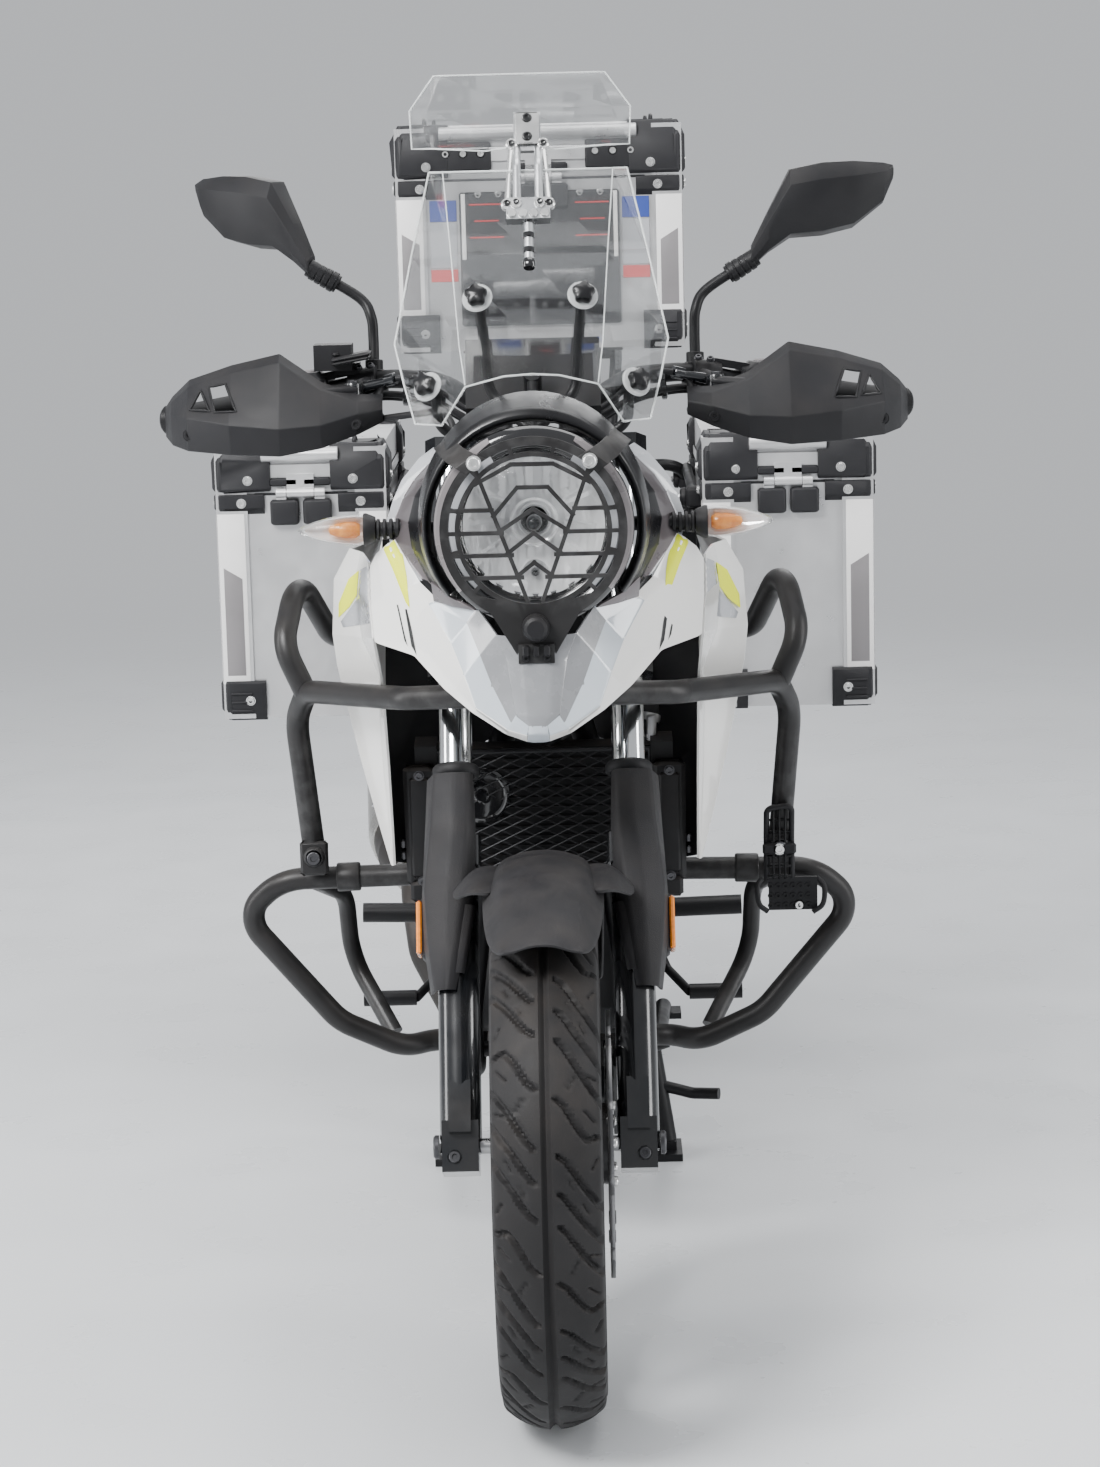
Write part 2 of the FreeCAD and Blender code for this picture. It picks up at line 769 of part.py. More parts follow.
BAR_CENTRE_BACK = 390
BAR_RISE = 45.3
BAR_CENTRE_HEIGHT = fork_point(0, 18, float(size("upper_clamp_at")) + 11).z + BAR_RISE
end_x = float(size("bar_half_span"))
end_z = float(size("bar_end_height"))
BAR_RIGHT = [
    # across, back, height
    at(0, BAR_CENTRE_BACK, BAR_CENTRE_HEIGHT),
    at(58, BAR_CENTRE_BACK, BAR_CENTRE_HEIGHT),
    at(112, BAR_CENTRE_BACK + 2, BAR_CENTRE_HEIGHT + 32),
    at(170, BAR_CENTRE_BACK + 10, BAR_CENTRE_HEIGHT + 35),
    at(end_x, BAR_CENTRE_BACK + 76, end_z),
]


def bar_at(x):
    """The handlebar's centre line at a distance from the centre plane, beyond the bend."""
    low, high = BAR_RIGHT[3], BAR_RIGHT[4]
    share = (x - low.x) / (high.x - low.x)
    return low + (high - low) * share


def handlebar():
    """One bent tube held by two clamps that stand on the upper fork clamp."""
    left = [V(-p.x, p.y, p.z) for p in reversed(BAR_RIGHT[1:])]
    bar = tube(left + BAR_RIGHT[1:], size("bar_dia"), 70.0)
    pieces = [bar]
    plate_top = float(size("upper_clamp_at")) + 11
    for side in (1, -1):
        base = rod(fork_point(40 * side, 18, plate_top + float(gap)), fork_point(40 * side, 18, plate_top + 12), 34)
        post = rod(fork_point(40 * side, 18, plate_top + 8),
                   at(40 * side, BAR_CENTRE_BACK, BAR_CENTRE_HEIGHT), 27)
        clamp = Part.makeCylinder(21, 26, at(40 * side - 13, BAR_CENTRE_BACK, BAR_CENTRE_HEIGHT), X_AXIS)
        pieces += [base, post, clamp]
    return node(formed("bent_bar", one_solid(pieces)), "handlebar")


handlebar()


def sleeve(x_from, x_to, outer, bore):
    """A round sleeve on the straight end of the handlebar."""
    start, end = bar_at(x_from), bar_at(x_to)
    hole = rod(start - (end - start), end + (end - start), float(bore))
    return rod(start, end, outer).cut(hole)


def grips():
    """Ribbed grips between a flange and the bar-end weight."""
    bore = float(size("bar_dia")) + 2 * float(gap)
    outer = float(size("grip_dia"))
    grip = one_solid([
        sleeve(298, end_x - 14, outer, bore),
        sleeve(294, 300, outer + 12, bore),
        sleeve(end_x - 18, end_x - 12, outer + 4, bore),
    ])
    return node(formed("grip_pair", both_sides(grip)), "grips")


grips()


def bar_controls():
    """Switch housings, lever perches, the two levers and the brake fluid reservoir."""
    bore = float(size("bar_dia")) + 2 * float(gap)
    sides = []
    for side in (1, -1):
        housing = sleeve(238, 290, 42, bore)
        perch = sleeve(182, 214, 36, bore)
        middle = bar_at(196)
        arm = rod(middle + V(0, -15, 0), middle + V(14, -46, -4), 17)
        lever = tube([middle + V(10, -46, -4), middle + V(72, -68, -8), bar_at(396) + V(0, -60, -12)], 12)
        bridge = Part.makeBox(42, 9, 9, bar_at(206) + V(0, -4.5, 12.4))
        bridge.rotate(bar_at(206), Y_AXIS, 10.2)
        pieces = [housing, perch, arm, lever, bridge]
        if side < 0:
            cup = Part.makeBox(44, 40, 30, bar_at(226) + V(-14, -34, 22))
            neck = Part.makeBox(30, 24, 14, bar_at(212) + V(-8, -14, 13))
            pieces += [cup, neck]
        shape = one_solid(pieces)
        sides.append(shape if side > 0 else mirrored(shape))
    return node(formed("control_pair", Part.makeCompound(sides)), "bar_controls")


bar_controls()


RIGHT_MIRROR_TURN = -28


def mirrors():
    """A pair of mirrors: a thin stem that bends outwards to a faceted head."""
    stem_x = 188
    along = (BAR_RIGHT[4] - BAR_RIGHT[3]).normalize()
    square = (Z_AXIS - along * along.z).normalize()
    seat_point = bar_at(stem_x) + square * 18.3
    stem = tube([seat_point + square * 14, at(stem_x, 420, 1180), at(stem_x + 14, 428, 1206),
                 at(244, 430, 1232)], 12, 30.0)
    foot = rod(seat_point, seat_point + square * 22, 22)
    collar = rod(at(228, 430, 1222), at(262, 430, 1243), 24)
    sections = (
        # across, low, high, thickness
        (256, 1228, 1256, 18),
        (276, 1246, 1296, 30),
        (302, 1262, 1342, 40),
        (372, 1272, 1349, 36),
        (412, 1300, 1346, 22),
        (424, 1330, 1344, 10),
    )
    wires = []
    for x, low, high, thick in sections:
        shift = (x - 256) * 0.1
        front, rear = 430 - thick * 0.7 + shift, 430 + thick * 0.3 + shift
        inset = (high - low) * 0.22
        corners = [at(x, rear, low), at(x, front + 6, low + inset * 0.4), at(x, front, low + inset * 1.6),
                   at(x, front, high - inset), at(x, front + 8, high), at(x, rear, high)]
        wires.append(Part.makePolygon(corners + corners[:1]))
    head = lofted(wires, True)
    carrier = [stem, foot, collar]
    right_head = head.copy()
    right_head.rotate(at(259, 430, 1242), Z_AXIS, -RIGHT_MIRROR_TURN)
    pair = [one_solid(carrier + [head]), mirrored(one_solid(carrier + [right_head]))]
    return node(formed("mirror_pair", Part.makeCompound(pair)), "mirrors")


mirrors()


def handguards():
    """Hand shields: a faceted shell in front of each grip, held at the bar end and near the perch."""
    rows = (
        # across, then back and height of: lower rear edge, lower front edge, brow, upper rear edge
        (190, (392, 1062), (344, 1056), (338, 1098), (356, 1112)),
        (236, (392, 1046), (322, 1040), (326, 1108), (352, 1130)),
        (292, (404, 1034), (318, 1032), (330, 1112), (362, 1144)),
        (392, (430, 1036), (350, 1036), (366, 1104), (398, 1122)),
        (424, (452, 1040), (408, 1038), (416, 1086), (430, 1100)),
        (441, (472, 1046), (452, 1044), (454, 1076), (462, 1086)),
    )
    grid = [[at(x, back, z) for back, z in points] for x, *points in rows]
    shell = facet_panel(grid, panel_wall, V(0, -1, 0.3))
    end = bar_at(end_x)
    outward = (BAR_RIGHT[4] - BAR_RIGHT[3]).normalize()
    cap = rod(end + outward * 0.3, end + outward * 17, 34)
    strut = tube([bar_at(174) + V(0, -14, -1), at(178, 366, 1096), at(204, 336, 1080)], 10, 20.0)
    return node(formed("hand_shield_pair", both_sides(one_solid([shell, cap, strut]))), "handguards")


handguards()


def wheel_arc_point(x, radius, angle):
    """A point round the front axle: angle 0 is straight up and positive angles go forward."""
    turn = math.radians(angle)
    return V(x, float(front_y) - radius * math.sin(turn), float(front_z) + radius * math.cos(turn))


def front_fender():
    """The mudguard: a crowned arch over the tyre with wings that bolt to both fork legs."""
    clear = float(size("front_tyre_radius")) + 18
    stations = (
        # angle round the axle, extra radius, half width of the crown, drop and half width of the skirt
        (38, 26, 30, 14, 44),
        (32, 14, 40, 26, 58),
        (18, 6, 46, 34, 64),
        (0, 2, 46, 38, 66),
        (-20, 0, 44, 40, 66),
        (-42, 0, 40, 40, 66),
        (-66, 0, 34, 40, 64),
    )
    grid = []
    for angle, extra, crown, drop, skirt in stations:
        top = clear + extra
        grid.append([
            wheel_arc_point(-skirt, top - drop, angle),
            wheel_arc_point(-crown, top - 4, angle),
            wheel_arc_point(0, top + 6, angle),
            wheel_arc_point(crown, top - 4, angle),
            wheel_arc_point(skirt, top - drop, angle),
        ])
    arch = facet_panel(grid, panel_wall, V(0, 0, 1))
    wing_rows = []
    for x, level, near, far in ((52, 308, 12, -20), (78, 304, 10, -16), (96, 282, 2, -12)):
        wing_rows.append([wheel_arc_point(x, level, near), wheel_arc_point(x, level, far)])
    wing = facet_panel(wing_rows, panel_wall, V(0, 0, 1))
    leg_angle = -float(size("rake"))
    leg_face = float(half_fork) - float(size("slider_dia")) / 2 + 1.6
    stud = rod(wheel_arc_point(56, 290, leg_angle), wheel_arc_point(leg_face, 290, leg_angle), 14)
    shape = one_solid([arch, wing, mirrored(wing), stud, mirrored(stud)])
    return node(formed("mudguard", shape), "front_fender")


front_fender()


def fork_guards():
    """Textured shields in front of the fork legs, between the lower clamp and the mudguard."""
    rows = (
        # along the leg, then (across, behind) from its centre line, from the inner to the outer edge
        (412, (-20, -24), (-14, -34), (2, -36), (24, -30), (33, 4)),
        (352, (-22, -28), (-14, -40), (4, -42), (28, -32), (36, 6)),
        (280, (-20, -28), (-8, -42), (12, -42), (36, -28), (40, 4)),
        (220, (-10, -32), (0, -40), (14, -39), (32, -28), (38, 2)),
        (168, (2, -31), (8, -34), (16, -34), (26, -26), (31, 0)),
    )
    x = float(half_fork)
    grid = [[V(x + across, behind, along) for across, behind in points] for along, *points in rows]
    shield = facet_panel(grid, panel_wall, V(0, -1, 0))
    collar = float(size("slider_dia")) / 2 + 2
    stud = rod(V(x, -collar - 0.4, 326), V(x, -40, 326), 12)
    return node(formed("fork_shield_pair", both_sides(one_solid([shield, stud])), FORK_FRAME), "fork_guards")


fork_guards()


def front_caliper():
    """Brake caliper behind the left fork leg: a clamp over the edge of the disc, on two lugs."""
    plane = float(size("disc_plane"))
    edge = float(size("disc_radius"))
    slot = float(size("disc_thickness")) + 5
    turn = FreeCAD.Placement(V(0, 0, 0), FreeCAD.Rotation(X_AXIS, -52))
    block_shape = Part.makeBox(46, 88, 74, V(plane - 23, -44, edge - 52))
    opening = Part.makeBox(slot, 120, 66, V(plane - slot / 2, -60, edge - 60))
    clamp = block_shape.cut(opening)
    clamp.Placement = turn
    radius = float(size("slider_dia")) / 2 - 2.3
    lugs = [Part.makeBox(12, 52, 20, V(plane + 14, radius, along)) for along in (48, 92)]
    shape = one_solid([clamp] + lugs)
    return node(formed("caliper", shape, FORK_FRAME), "front_caliper")


front_caliper()


def brake_hose():
    """The front brake line: caliper to lower clamp behind the left leg, and on to the right-hand lever."""
    x = float(half_fork)
    dia = 8
    plate = float(size("lower_clamp_at"))
    line = V(0, -0.6157, 0.788)
    start = V(80, 75.5, 114.7) + line * 0.3
    leg_run = [start, start + line * 24, V(x - 4, 42, 200), V(x, 34, 262), V(x, 34, 350), V(x - 6, 30, 440),
               V(x - 12, 30, plate - 17.3)]
    lower = tube([FORK_FRAME.multVec(point) for point in leg_run], dia, 40)
    perch = bar_at(196)
    perch = V(-perch.x, perch.y, perch.z)
    along = V(BAR_RIGHT[3].x - BAR_RIGHT[4].x, BAR_RIGHT[4].y - BAR_RIGHT[3].y,
              BAR_RIGHT[4].z - BAR_RIGHT[3].z).normalize()
    outward = V(0, -0.6, -0.8)
    outward = (outward - along * outward.dot(along)).normalize()
    steering_run = [fork_point(-62, 4, plate + 17.4), fork_point(-62, 4, plate + 40),
                    fork_point(-88, -28, plate + 98), fork_point(-90, -35, plate + 200),
                    fork_point(-94, -42, plate + 292), perch + outward * 52, perch + outward * 18.3]
    upper = tube(steering_run, dia, 30)
    return node(formed("brake_line", Part.makeCompound([lower, upper])), "brake_hose")


brake_hose()


# Frame and what it carries

STAY_ALONG = float(size("lower_clamp_at")) + 122
COOLER = FreeCAD.Placement(at(0, 354, 498), FreeCAD.Rotation(X_AXIS, 9))
SIDE_PIVOT = at(126, 640, 238)
SIDE_AXIS = V(0.958, 0, 0.287)


def frame():
    """Steel cradle frame with head tube, spine rails, down tubes, cross tubes and rear rails."""
    main = size("frame_tube")
    rail = size("rail_tube")
    low = float(size("lower_clamp_at")) + 24
    high = float(size("upper_clamp_at")) - 18
    behind = float(stem_behind)
    head = rod(fork_point(0, behind, low), fork_point(0, behind, high), 52)
    bore = rod(fork_point(0, behind, low - 5), fork_point(0, behind, high + 5), 34)
    pad = rod(fork_point(0, behind - 18, STAY_ALONG), fork_point(0, behind - 38, STAY_ALONG), 36)
    pivot_back = float(size("pivot_back"))
    pivot_z = float(size("pivot_height"))
    spine = tube([fork_point(14, behind + 10, low + 120), at(70, 430, 818), at(96, 590, 768),
                  at(100, 790, 696), at(103, pivot_back - 20, 560), at(103, pivot_back - 20, 478)], main, 90)
    down = tube([fork_point(14, behind + 12, low + 40), at(60, 400, 640), at(100, 452, 330),
                 at(100, 520, 236), at(103, 780, 236), at(103, pivot_back - 20, 268)], main, 90)
    seat_rail = tube([at(100, 790, 700), at(104, 1150, 792), at(92, 1560, 884)], rail, 90)
    strut = rod(at(103, pivot_back - 12, 486), at(104, 1170, 794), float(rail))
    lugs = [rod(at(74.3, back, z), at(100, back, z), 18) for back, z in ((620, 240), (500, 272))]
    sides = [spine, down, seat_rail, strut] + lugs
    cross = [
        rod(at(-100, 790, 696), at(100, 790, 696), main),
        rod(at(-92, 1540, 880), at(92, 1540, 880), rail),
        rod(at(-104, 1160, 793), at(104, 1160, 793), rail),
    ]
    plate = prism([at(98, pivot_back - 90, pivot_z + 30), at(98, pivot_back - 34, pivot_z + 90),
                   at(98, pivot_back + 20, pivot_z + 90), at(98, pivot_back + 30, pivot_z - 40),
                   at(98, pivot_back + 92, 306), at(98, pivot_back + 92, 262),
                   at(98, pivot_back - 40, 254), at(98, pivot_back - 90, pivot_z - 60)], V(10, 0, 0))
    lamp_tab = Part.makeBox(40, 22, 14, at(-20, 1543.7, 872))
    cooler_face = COOLER.multVec(V(55, 31.3, 160))
    cooler_tab = rod(cooler_face, cooler_face + COOLER.Rotation.multVec(V(0, 34, 0)), 12)
    seat_pad = rod(at(101, 1250, 815), at(101, 1250, 837.6), 20)
    tank_pad = rod(at(94, 590, 772), at(94, 590, 810.2), 12)
    sides += [cooler_tab, seat_pad, tank_pad]
    prop_lug = rod(SIDE_PIVOT - SIDE_AXIS * 26, SIDE_PIVOT - SIDE_AXIS * 5.3, 26)
    solid = one_solid([head, pad, prop_lug, lamp_tab] + sides + [mirrored(s) for s in sides] + cross
                      + [plate, mirrored(plate)])
    swing_hole = rod(at(-160, pivot_back, pivot_z), at(160, pivot_back, pivot_z), 16.6)
    stand_hole = rod(at(-160, size("stand_pivot_back"), size("stand_pivot_height")),
                     at(160, size("stand_pivot_back"), size("stand_pivot_height")), 14.6)
    return node(formed("cradle_frame", solid.cut(bore).cut(swing_hole).cut(stand_hole)), "frame")


frame()


def engine():
    """Crankcase with round side covers, and the twin cylinders leaning forward above it."""
    body = new_body("crankcase")
    y0 = front_y + 480
    outline = (
        (y0, 262), (y0 + 60, 226), (y0 + 300, 226), (y0 + 372, 268), (y0 + 372, 400),
        (y0 + 300, 446), (y0 + 20, 446), (y0 - 10, 330),
    )
    padded(body, sketch_on(body, "YZ_Plane", "case_side", outline), 148, "Case", middle=True)
    doc.recompute()
    covers = (
        # back, height, radius, left reach, right reach
        (600, 336, 66, 112, 104),
        (600, 336, 40, 118, 109),
        (706, 340, 62, 78, 118),
        (706, 340, 46, 82, 124),
        (756, 356, 44, 74, 70),
        (700, 252, 26, 84, 84),
    )
    parts = [body]
    for number, (back, height, radius, left, right) in enumerate(covers):
        parts.append(cylinder("case_cover" + str(number), radius, left + right,
                              (-right, front_y + back, height), ALONG_X))
    return node(fused("engine_case_all", parts), "engine_case")


engine()


def cylinders():
    """Cylinder block, head and cover of the twin, leaning forward, with cooling ribs."""
    tilt = FreeCAD.Placement(at(0, 560, 446.5), FreeCAD.Rotation(X_AXIS, 14))
    barrel = Part.makeBox(172, 120, 88, V(-86, -66, -6))
    head = Part.makeBox(184, 136, 66, V(-92, -74, 80))
    cover = Part.makeBox(170, 112, 34, V(-85, -62, 146))
    ribs = [Part.makeBox(182, 130, 5, V(-91, -71, 12 + 15 * step)) for step in range(4)]
    shape = one_solid([barrel, head, cover] + ribs)
    floor = Part.makeBox(400, 400, 60, V(-200, float(front_y) + 400, 386.3))
    shape.Placement = tilt
    return node(formed("cylinder_block", shape.cut(floor)), "cylinders")


cylinders()


def radiator():
    """Radiator core between its tanks, behind the front wheel."""
    core = Part.makeBox(250, 24, 178, V(-125, 4, 10))
    tanks = [Part.makeBox(26, 36, 190, V(x, -2, 4)) for x in (-151, 125)]
    fins = [Part.makeBox(250, 30, 3, V(-125, 1, 16 + 12 * step)) for step in range(14)]
    shape = one_solid([core] + tanks + fins)
    return node(formed("cooler", shape, COOLER), "radiator")


radiator()


def muffler_line():
    """Where the silencer starts and which way it points."""
    start, end = at(-192, 1010, 380), at(-222, 1480, 504)
    return start, (end - start).normalize()


def exhaust():
    """Two header pipes that join under the engine and rise to the silencer on the right."""
    left = tube([at(42, 461.7, 533.3), at(42, 418.0, 522.4), at(42, 432, 300), at(36, 470, 196), at(-10, 620, 194)],
                36, 60)
    right = tube([at(-42, 461.7, 533.3), at(-42, 418.0, 522.4), at(-42, 432, 300), at(-36, 470, 196),
                  at(-30, 640, 194)], 36, 60)
    start, axis = muffler_line()
    link = tube([at(-30, 600, 194), at(-40, 790, 190), at(-130, 868, 210), at(-178, 905, 296),
                 start - axis * 80, start - axis * 0.3], 40, 60)
    return node(formed("header_pipes", one_solid([left, right, link])), "exhaust_pipes")


exhaust()


def muffler():
    """Silencer can with tapered ends and a tail tip."""
    start, axis = muffler_line()
    length = 470
    sections = ((0, 24), (60, 50), (110, 56), (length - 50, 56), (length - 12, 46), (length, 40))
    wires = [Part.Wire(Part.Circle(start + axis * along, axis, radius).toShape())
             for along, radius in sections]
    can = lofted(wires, True)
    end = start + axis * length
    tip = rod(end - axis * 4, end + axis * 26, 40)
    sheet_metal = 3
    inner = [Part.Wire(Part.Circle(start + axis * along, axis, radius - sheet_metal).toShape())
             for along, radius in ((60, 50), (110, 56), (length - 50, 56), (length - 18, 44))]
    outlet = rod(end - axis * 60, end + axis * 40, 32)
    return node(formed("silencer", one_solid([can, tip]).cut(lofted(inner, True)).cut(outlet)), "muffler")


muffler()


def fuel_tank():
    """The tank: rounded sections, broad in front and narrow at the rider's knees."""
    sections = (
        # back, half width, low, high, lower rounding, upper rounding
        (418, 84, 884, 984, 18, 34),
        (470, 138, 850, 1018, 24, 60),
        (590, 146, 812, 1020, 24, 66),
        (700, 112, 778, 968, 24, 56),
        (776, 82, 762, 878, 20, 40),
    )
    wires = [ring_section(half, low, high, r_low, r_high, back)
             for back, half, low, high, r_low, r_high in sections]
    shell = lofted(wires)
    cap = Part.makeCylinder(36, 10, at(0, 600, 1017))
    return node(formed("tank", one_solid([shell, cap])), "fuel_tank")


fuel_tank()


def seat():
    """The stepped seat for rider and pillion, as one plain closed pad."""
    sections = (
        # back, half width, low, high, lower rounding, upper rounding
        (782, 74, 788, 872, 10, 26),
        (850, 100, 778, 840, 10, 26),
        (960, 138, 780, 826, 10, 20),
        (1060, 146, 796, 840, 10, 20),
        (1118, 146, 814, 888, 10, 24),
        (1250, 138, 840, 908, 10, 26),
        (1440, 108, 884, 922, 8, 18),
    )
    wires = [ring_section(half, low, high, r_low, r_high, back)
             for back, half, low, high, r_low, r_high in sections]
    return node(formed("saddle", lofted(wires, True)), "seat")


seat()


CRASH_START = (76, 108, 784)
CRASH_SECOND = (150, 150, 776)
CRASH_THIRD = (274, 322, 758)


def side_cowls():
    """The pale shrouds on both sides: a shoulder panel over a long blade that tapers downwards."""
    shoulder = (
        # height, then (across, back) of: front edge, crease, rear edge
        (930, (196, 210), (214, 262), (186, 400)),
        (896, (206, 206), (234, 270), (196, 420)),
        (830, (200, 214), (239, 284), (196, 440)),
        (790, (184, 232), (236, 300), (190, 440)),
        (736, (186, 262), (227, 318), (190, 410)),
        (670, (186, 296), (214, 330), (188, 378)),
        (600, (183, 318), (198, 336), (186, 360)),
        (546, (181, 330), (184, 336), (182, 344)),
    )
    grid = [[at(x, back, z) for x, back in points] for z, *points in shoulder]
    panel = facet_panel(grid, panel_wall, V(1, 0, 0))
    first, second = at(*CRASH_SECOND), at(*CRASH_THIRD)
    along = (second - first).normalize()
    inward = along.cross(Z_AXIS).normalize() * -1
    near = first + (second - first) * 0.475
    reach = float(size("guard_tube")) / 2 + 0.3
    bush = rod(near + inward * reach, near + inward * (reach + 26), 16)
    return node(formed("shroud_pair", both_sides(one_solid([panel, bush]))), "side_cowls")


side_cowls()


def beak():
    """The pale beak under the headlamp: cheeks that fold at a ridge and meet in a blunt tip."""
    cheek = (
        # each row: outer edge, outer crease, ridge, inner edge, as (across, back, height)
        ((184, 152, 925), (176, 138, 940), (160, 118, 953), (154, 122, 955)),
        ((183, 132, 886), (168, 112, 898), (146, 86, 905), (140, 92, 908)),
        ((179, 108, 846), (150, 82, 850), (124, 44, 866), (112, 40, 880)),
        ((134, 60, 838), (118, 44, 842), (104, 12, 846), (84, 8, 876)),
        ((100, 12, 808), (86, -2, 812), (72, -24, 824), (52, -26, 872)),
        ((70, -22, 788), (60, -32, 792), (52, -48, 800), (40, -36, 844)),
        ((26, -52, 765), (25, -58, 770), (24, -66, 780), (22, -64, 800)),
    )
    grid = [[at(*point) for point in row] for row in cheek]
    side = facet_panel(grid, panel_wall, V(0.3, -1, -0.2))
    middle_rows = (
        ((-52, -26, 872), (0, -30, 870), (52, -26, 872)),
        ((-40, -36, 844), (0, -35, 842), (40, -36, 844)),
        ((-22, -64, 800), (0, -68, 798), (22, -64, 800)),
        ((-24, -66, 780), (0, -70, 778), (24, -66, 780)),
        ((-26, -52, 765), (0, -54, 764), (26, -52, 765)),
    )
    middle = facet_panel([[at(*point) for point in row] for row in middle_rows], panel_wall, V(0, -1, 0))
    return node(formed("nose_beak", one_solid([side, mirrored(side), middle])), "beak")


beak()

lamp_z = float(size("lamp_height"))
lamp_back = float(size("lamp_back"))


def headlamp():
    """The lamp housing: a dished ring with a domed back, open in front for the glass."""
    radius = float(size("lamp_bezel"))
    glass = float(size("lamp_radius"))
    profile = [V(0, 92, 0), V(44, 88, 0), V(82, 52, 0), V(radius, 16, 0), V(radius, 0, 0),
               V(radius - 8, -6, 0), V(glass + 8, -2, 0), V(glass + 0.3, 6, 0), V(glass + 0.3, 12.3, 0),
               V(glass - 4, 12.3, 0), V(glass - 4, 30, 0),
               V(40, 80, 0), V(0, 84, 0)]
    solid = polygon_face(profile).revolve(V(0, 0, 0), Y_AXIS, 360)
    return node(formed("lamp_housing", solid, FreeCAD.Placement(at(0, lamp_back, lamp_z),
                                                                FreeCAD.Rotation())), "headlamp")


headlamp()


def headlamp_glass():
    """The bulged clear glass."""
    glass = float(size("lamp_radius"))
    profile = [V(0, -10, 0), V(40, -7, 0), V(66, 0, 0), V(glass, 8, 0), V(glass, 12, 0), V(64, 4, 0),
               V(38, -3, 0), V(0, -6, 0)]
    solid = polygon_face(profile).revolve(V(0, 0, 0), Y_AXIS, 360)
    return node(formed("lamp_glass", solid, FreeCAD.Placement(at(0, lamp_back, lamp_z),
                                                              FreeCAD.Rotation())), "headlamp_glass")


headlamp_glass()


def lamp_guard():
    """Grille in front of the lamp: a flat ring, level bars, a tapered frame and chevrons."""
    plane = lamp_back - 34
    ring_outer = float(size("lamp_bezel")) - 8
    outer = Part.makeCylinder(ring_outer, 5, at(0, plane, lamp_z), Y_AXIS)
    inner = Part.makeCylinder(ring_outer - 9, 7, at(0, plane - 1, lamp_z), Y_AXIS)
    inner_ring = Part.makeCylinder(82, 5, at(0, plane, lamp_z), Y_AXIS).cut(
        Part.makeCylinder(77, 7, at(0, plane - 1, lamp_z), Y_AXIS))
    pieces = [outer.cut(inner), inner_ring]
    bar = 4.2

    def flat_bar(x0, z0, x1, z1):
        """A flat bar of the cut plate between two points."""
        along = V(x1 - x0, 0, z1 - z0).normalize()
        side = V(-along.z, 0, along.x) * (bar / 2)
        start = at(x0, plane, z0) - along * (bar * 0.3)
        end = at(x1, plane, z1) + along * (bar * 0.3)
        return prism([start + side, end + side, end - side, start - side], V(0, 5, 0))

    for height in (1005, 981, 957.5, 934):
        half = math.sqrt(ring_outer ** 2 - (height - lamp_z) ** 2) - 3
        reach = 58 - (1005 - height) * 0.42
        for side in (1, -1):
            pieces.append(flat_bar(half * side, height, (reach - 16) * side, height))
    lines = (
        # across and height of both ends, mirrored
        (58, 1045, 8, 909),
        (42, 998, 16, 1028),
        (38, 981, -1, 1006),
        (30, 957.5, -1, 981),
        (20, 934, -1, 950),
        (16, 1028, -1, 1028),
        (60, 1032, 22, 1052),
        (22, 1052, -1, 1052),
    )
    for x0, z0, x1, z1 in lines:
        for side in (1, -1):
            pieces.append(flat_bar(x0 * side, z0, x1 * side, z1))
    for angle in range(15, 360, 30):
        turn = math.radians(angle)
        pieces.append(flat_bar(79 * math.cos(turn), lamp_z + 79 * math.sin(turn),
                               (ring_outer - 4) * math.cos(turn), lamp_z + (ring_outer - 4) * math.sin(turn)))
    mid = plane + 2.5
    foot = prism([at(-58, plane, 916), at(-20, plane, 852), at(20, plane, 852), at(58, plane, 916),
                  at(46, plane, 912), at(0, plane, 903), at(-46, plane, 912)], V(0, 5, 0))
    knob = Part.makeCylinder(14, 16, at(0, plane - 16, 882), Y_AXIS)
    clamp = Part.makeBox(38, 16.5, 20, at(-19, plane - 6, 844))
    arms = [rod(at(62 * side, mid, 1056), at(62 * side, lamp_back - 6.4, 1056), 9) for side in (1, -1)]
    return node(formed("lamp_grille", one_solid(pieces + [foot, knob, clamp] + arms)), "lamp_guard")


lamp_guard()


def screen():
    """The tall clear screen: a folded sheet whose sides turn back."""
    rows = (
        # height, then (across, back) of: middle, fold, edge
        (1350, (0, 226), (94, 236), (110, 252)),
        (1262, (0, 176), (86, 190), (130, 216)),
        (1166, (0, 118), (78, 134), (150, 172)),
        (1124, (0, 96), (72, 110), (140, 150)),
        (1082, (0, 72), (98, 100), (128, 128)),
    )
    grid = []
    for z, *points in rows:
        line = [at(x, back, z) for x, back in points]
        line = [V(-p.x, p.y, p.z) for p in reversed(line[1:])] + line
        grid.append(line)
    sheet_solid = facet_panel(grid, float(size("screen_wall")), V(0, -1, 0))
    arch = prism([at(-98, 20, 1050), at(-98, 20, 1079), at(-70, 20, 1122), at(-30, 20, 1133),
                  at(30, 20, 1133), at(70, 20, 1122), at(98, 20, 1079), at(98, 20, 1050)], V(0, 200, 0))
    return node(formed("windscreen", sheet_solid.cut(arch)), "screen")


screen()


SPOILER_SHIFT = V(float(size("spoiler_offset")), 0, 0)


def deflector():
    """The small clear spoiler above the screen."""
    rows = (
        (1456, (0, 300), (88, 304), (96, 306)),
        (1418, (0, 286), (104, 294), (124, 302)),
        (1376, (0, 268), (100, 280), (122, 292)),
    )
    grid = []
    for z, *points in rows:
        line = [at(x, back, z) for x, back in points]
        line = [V(-p.x, p.y, p.z) for p in reversed(line[1:])] + line
        grid.append([p + SPOILER_SHIFT for p in line])
    return node(formed("spoiler", facet_panel(grid, float(size("screen_wall")), V(0, -1, 0))), "deflector")


deflector()


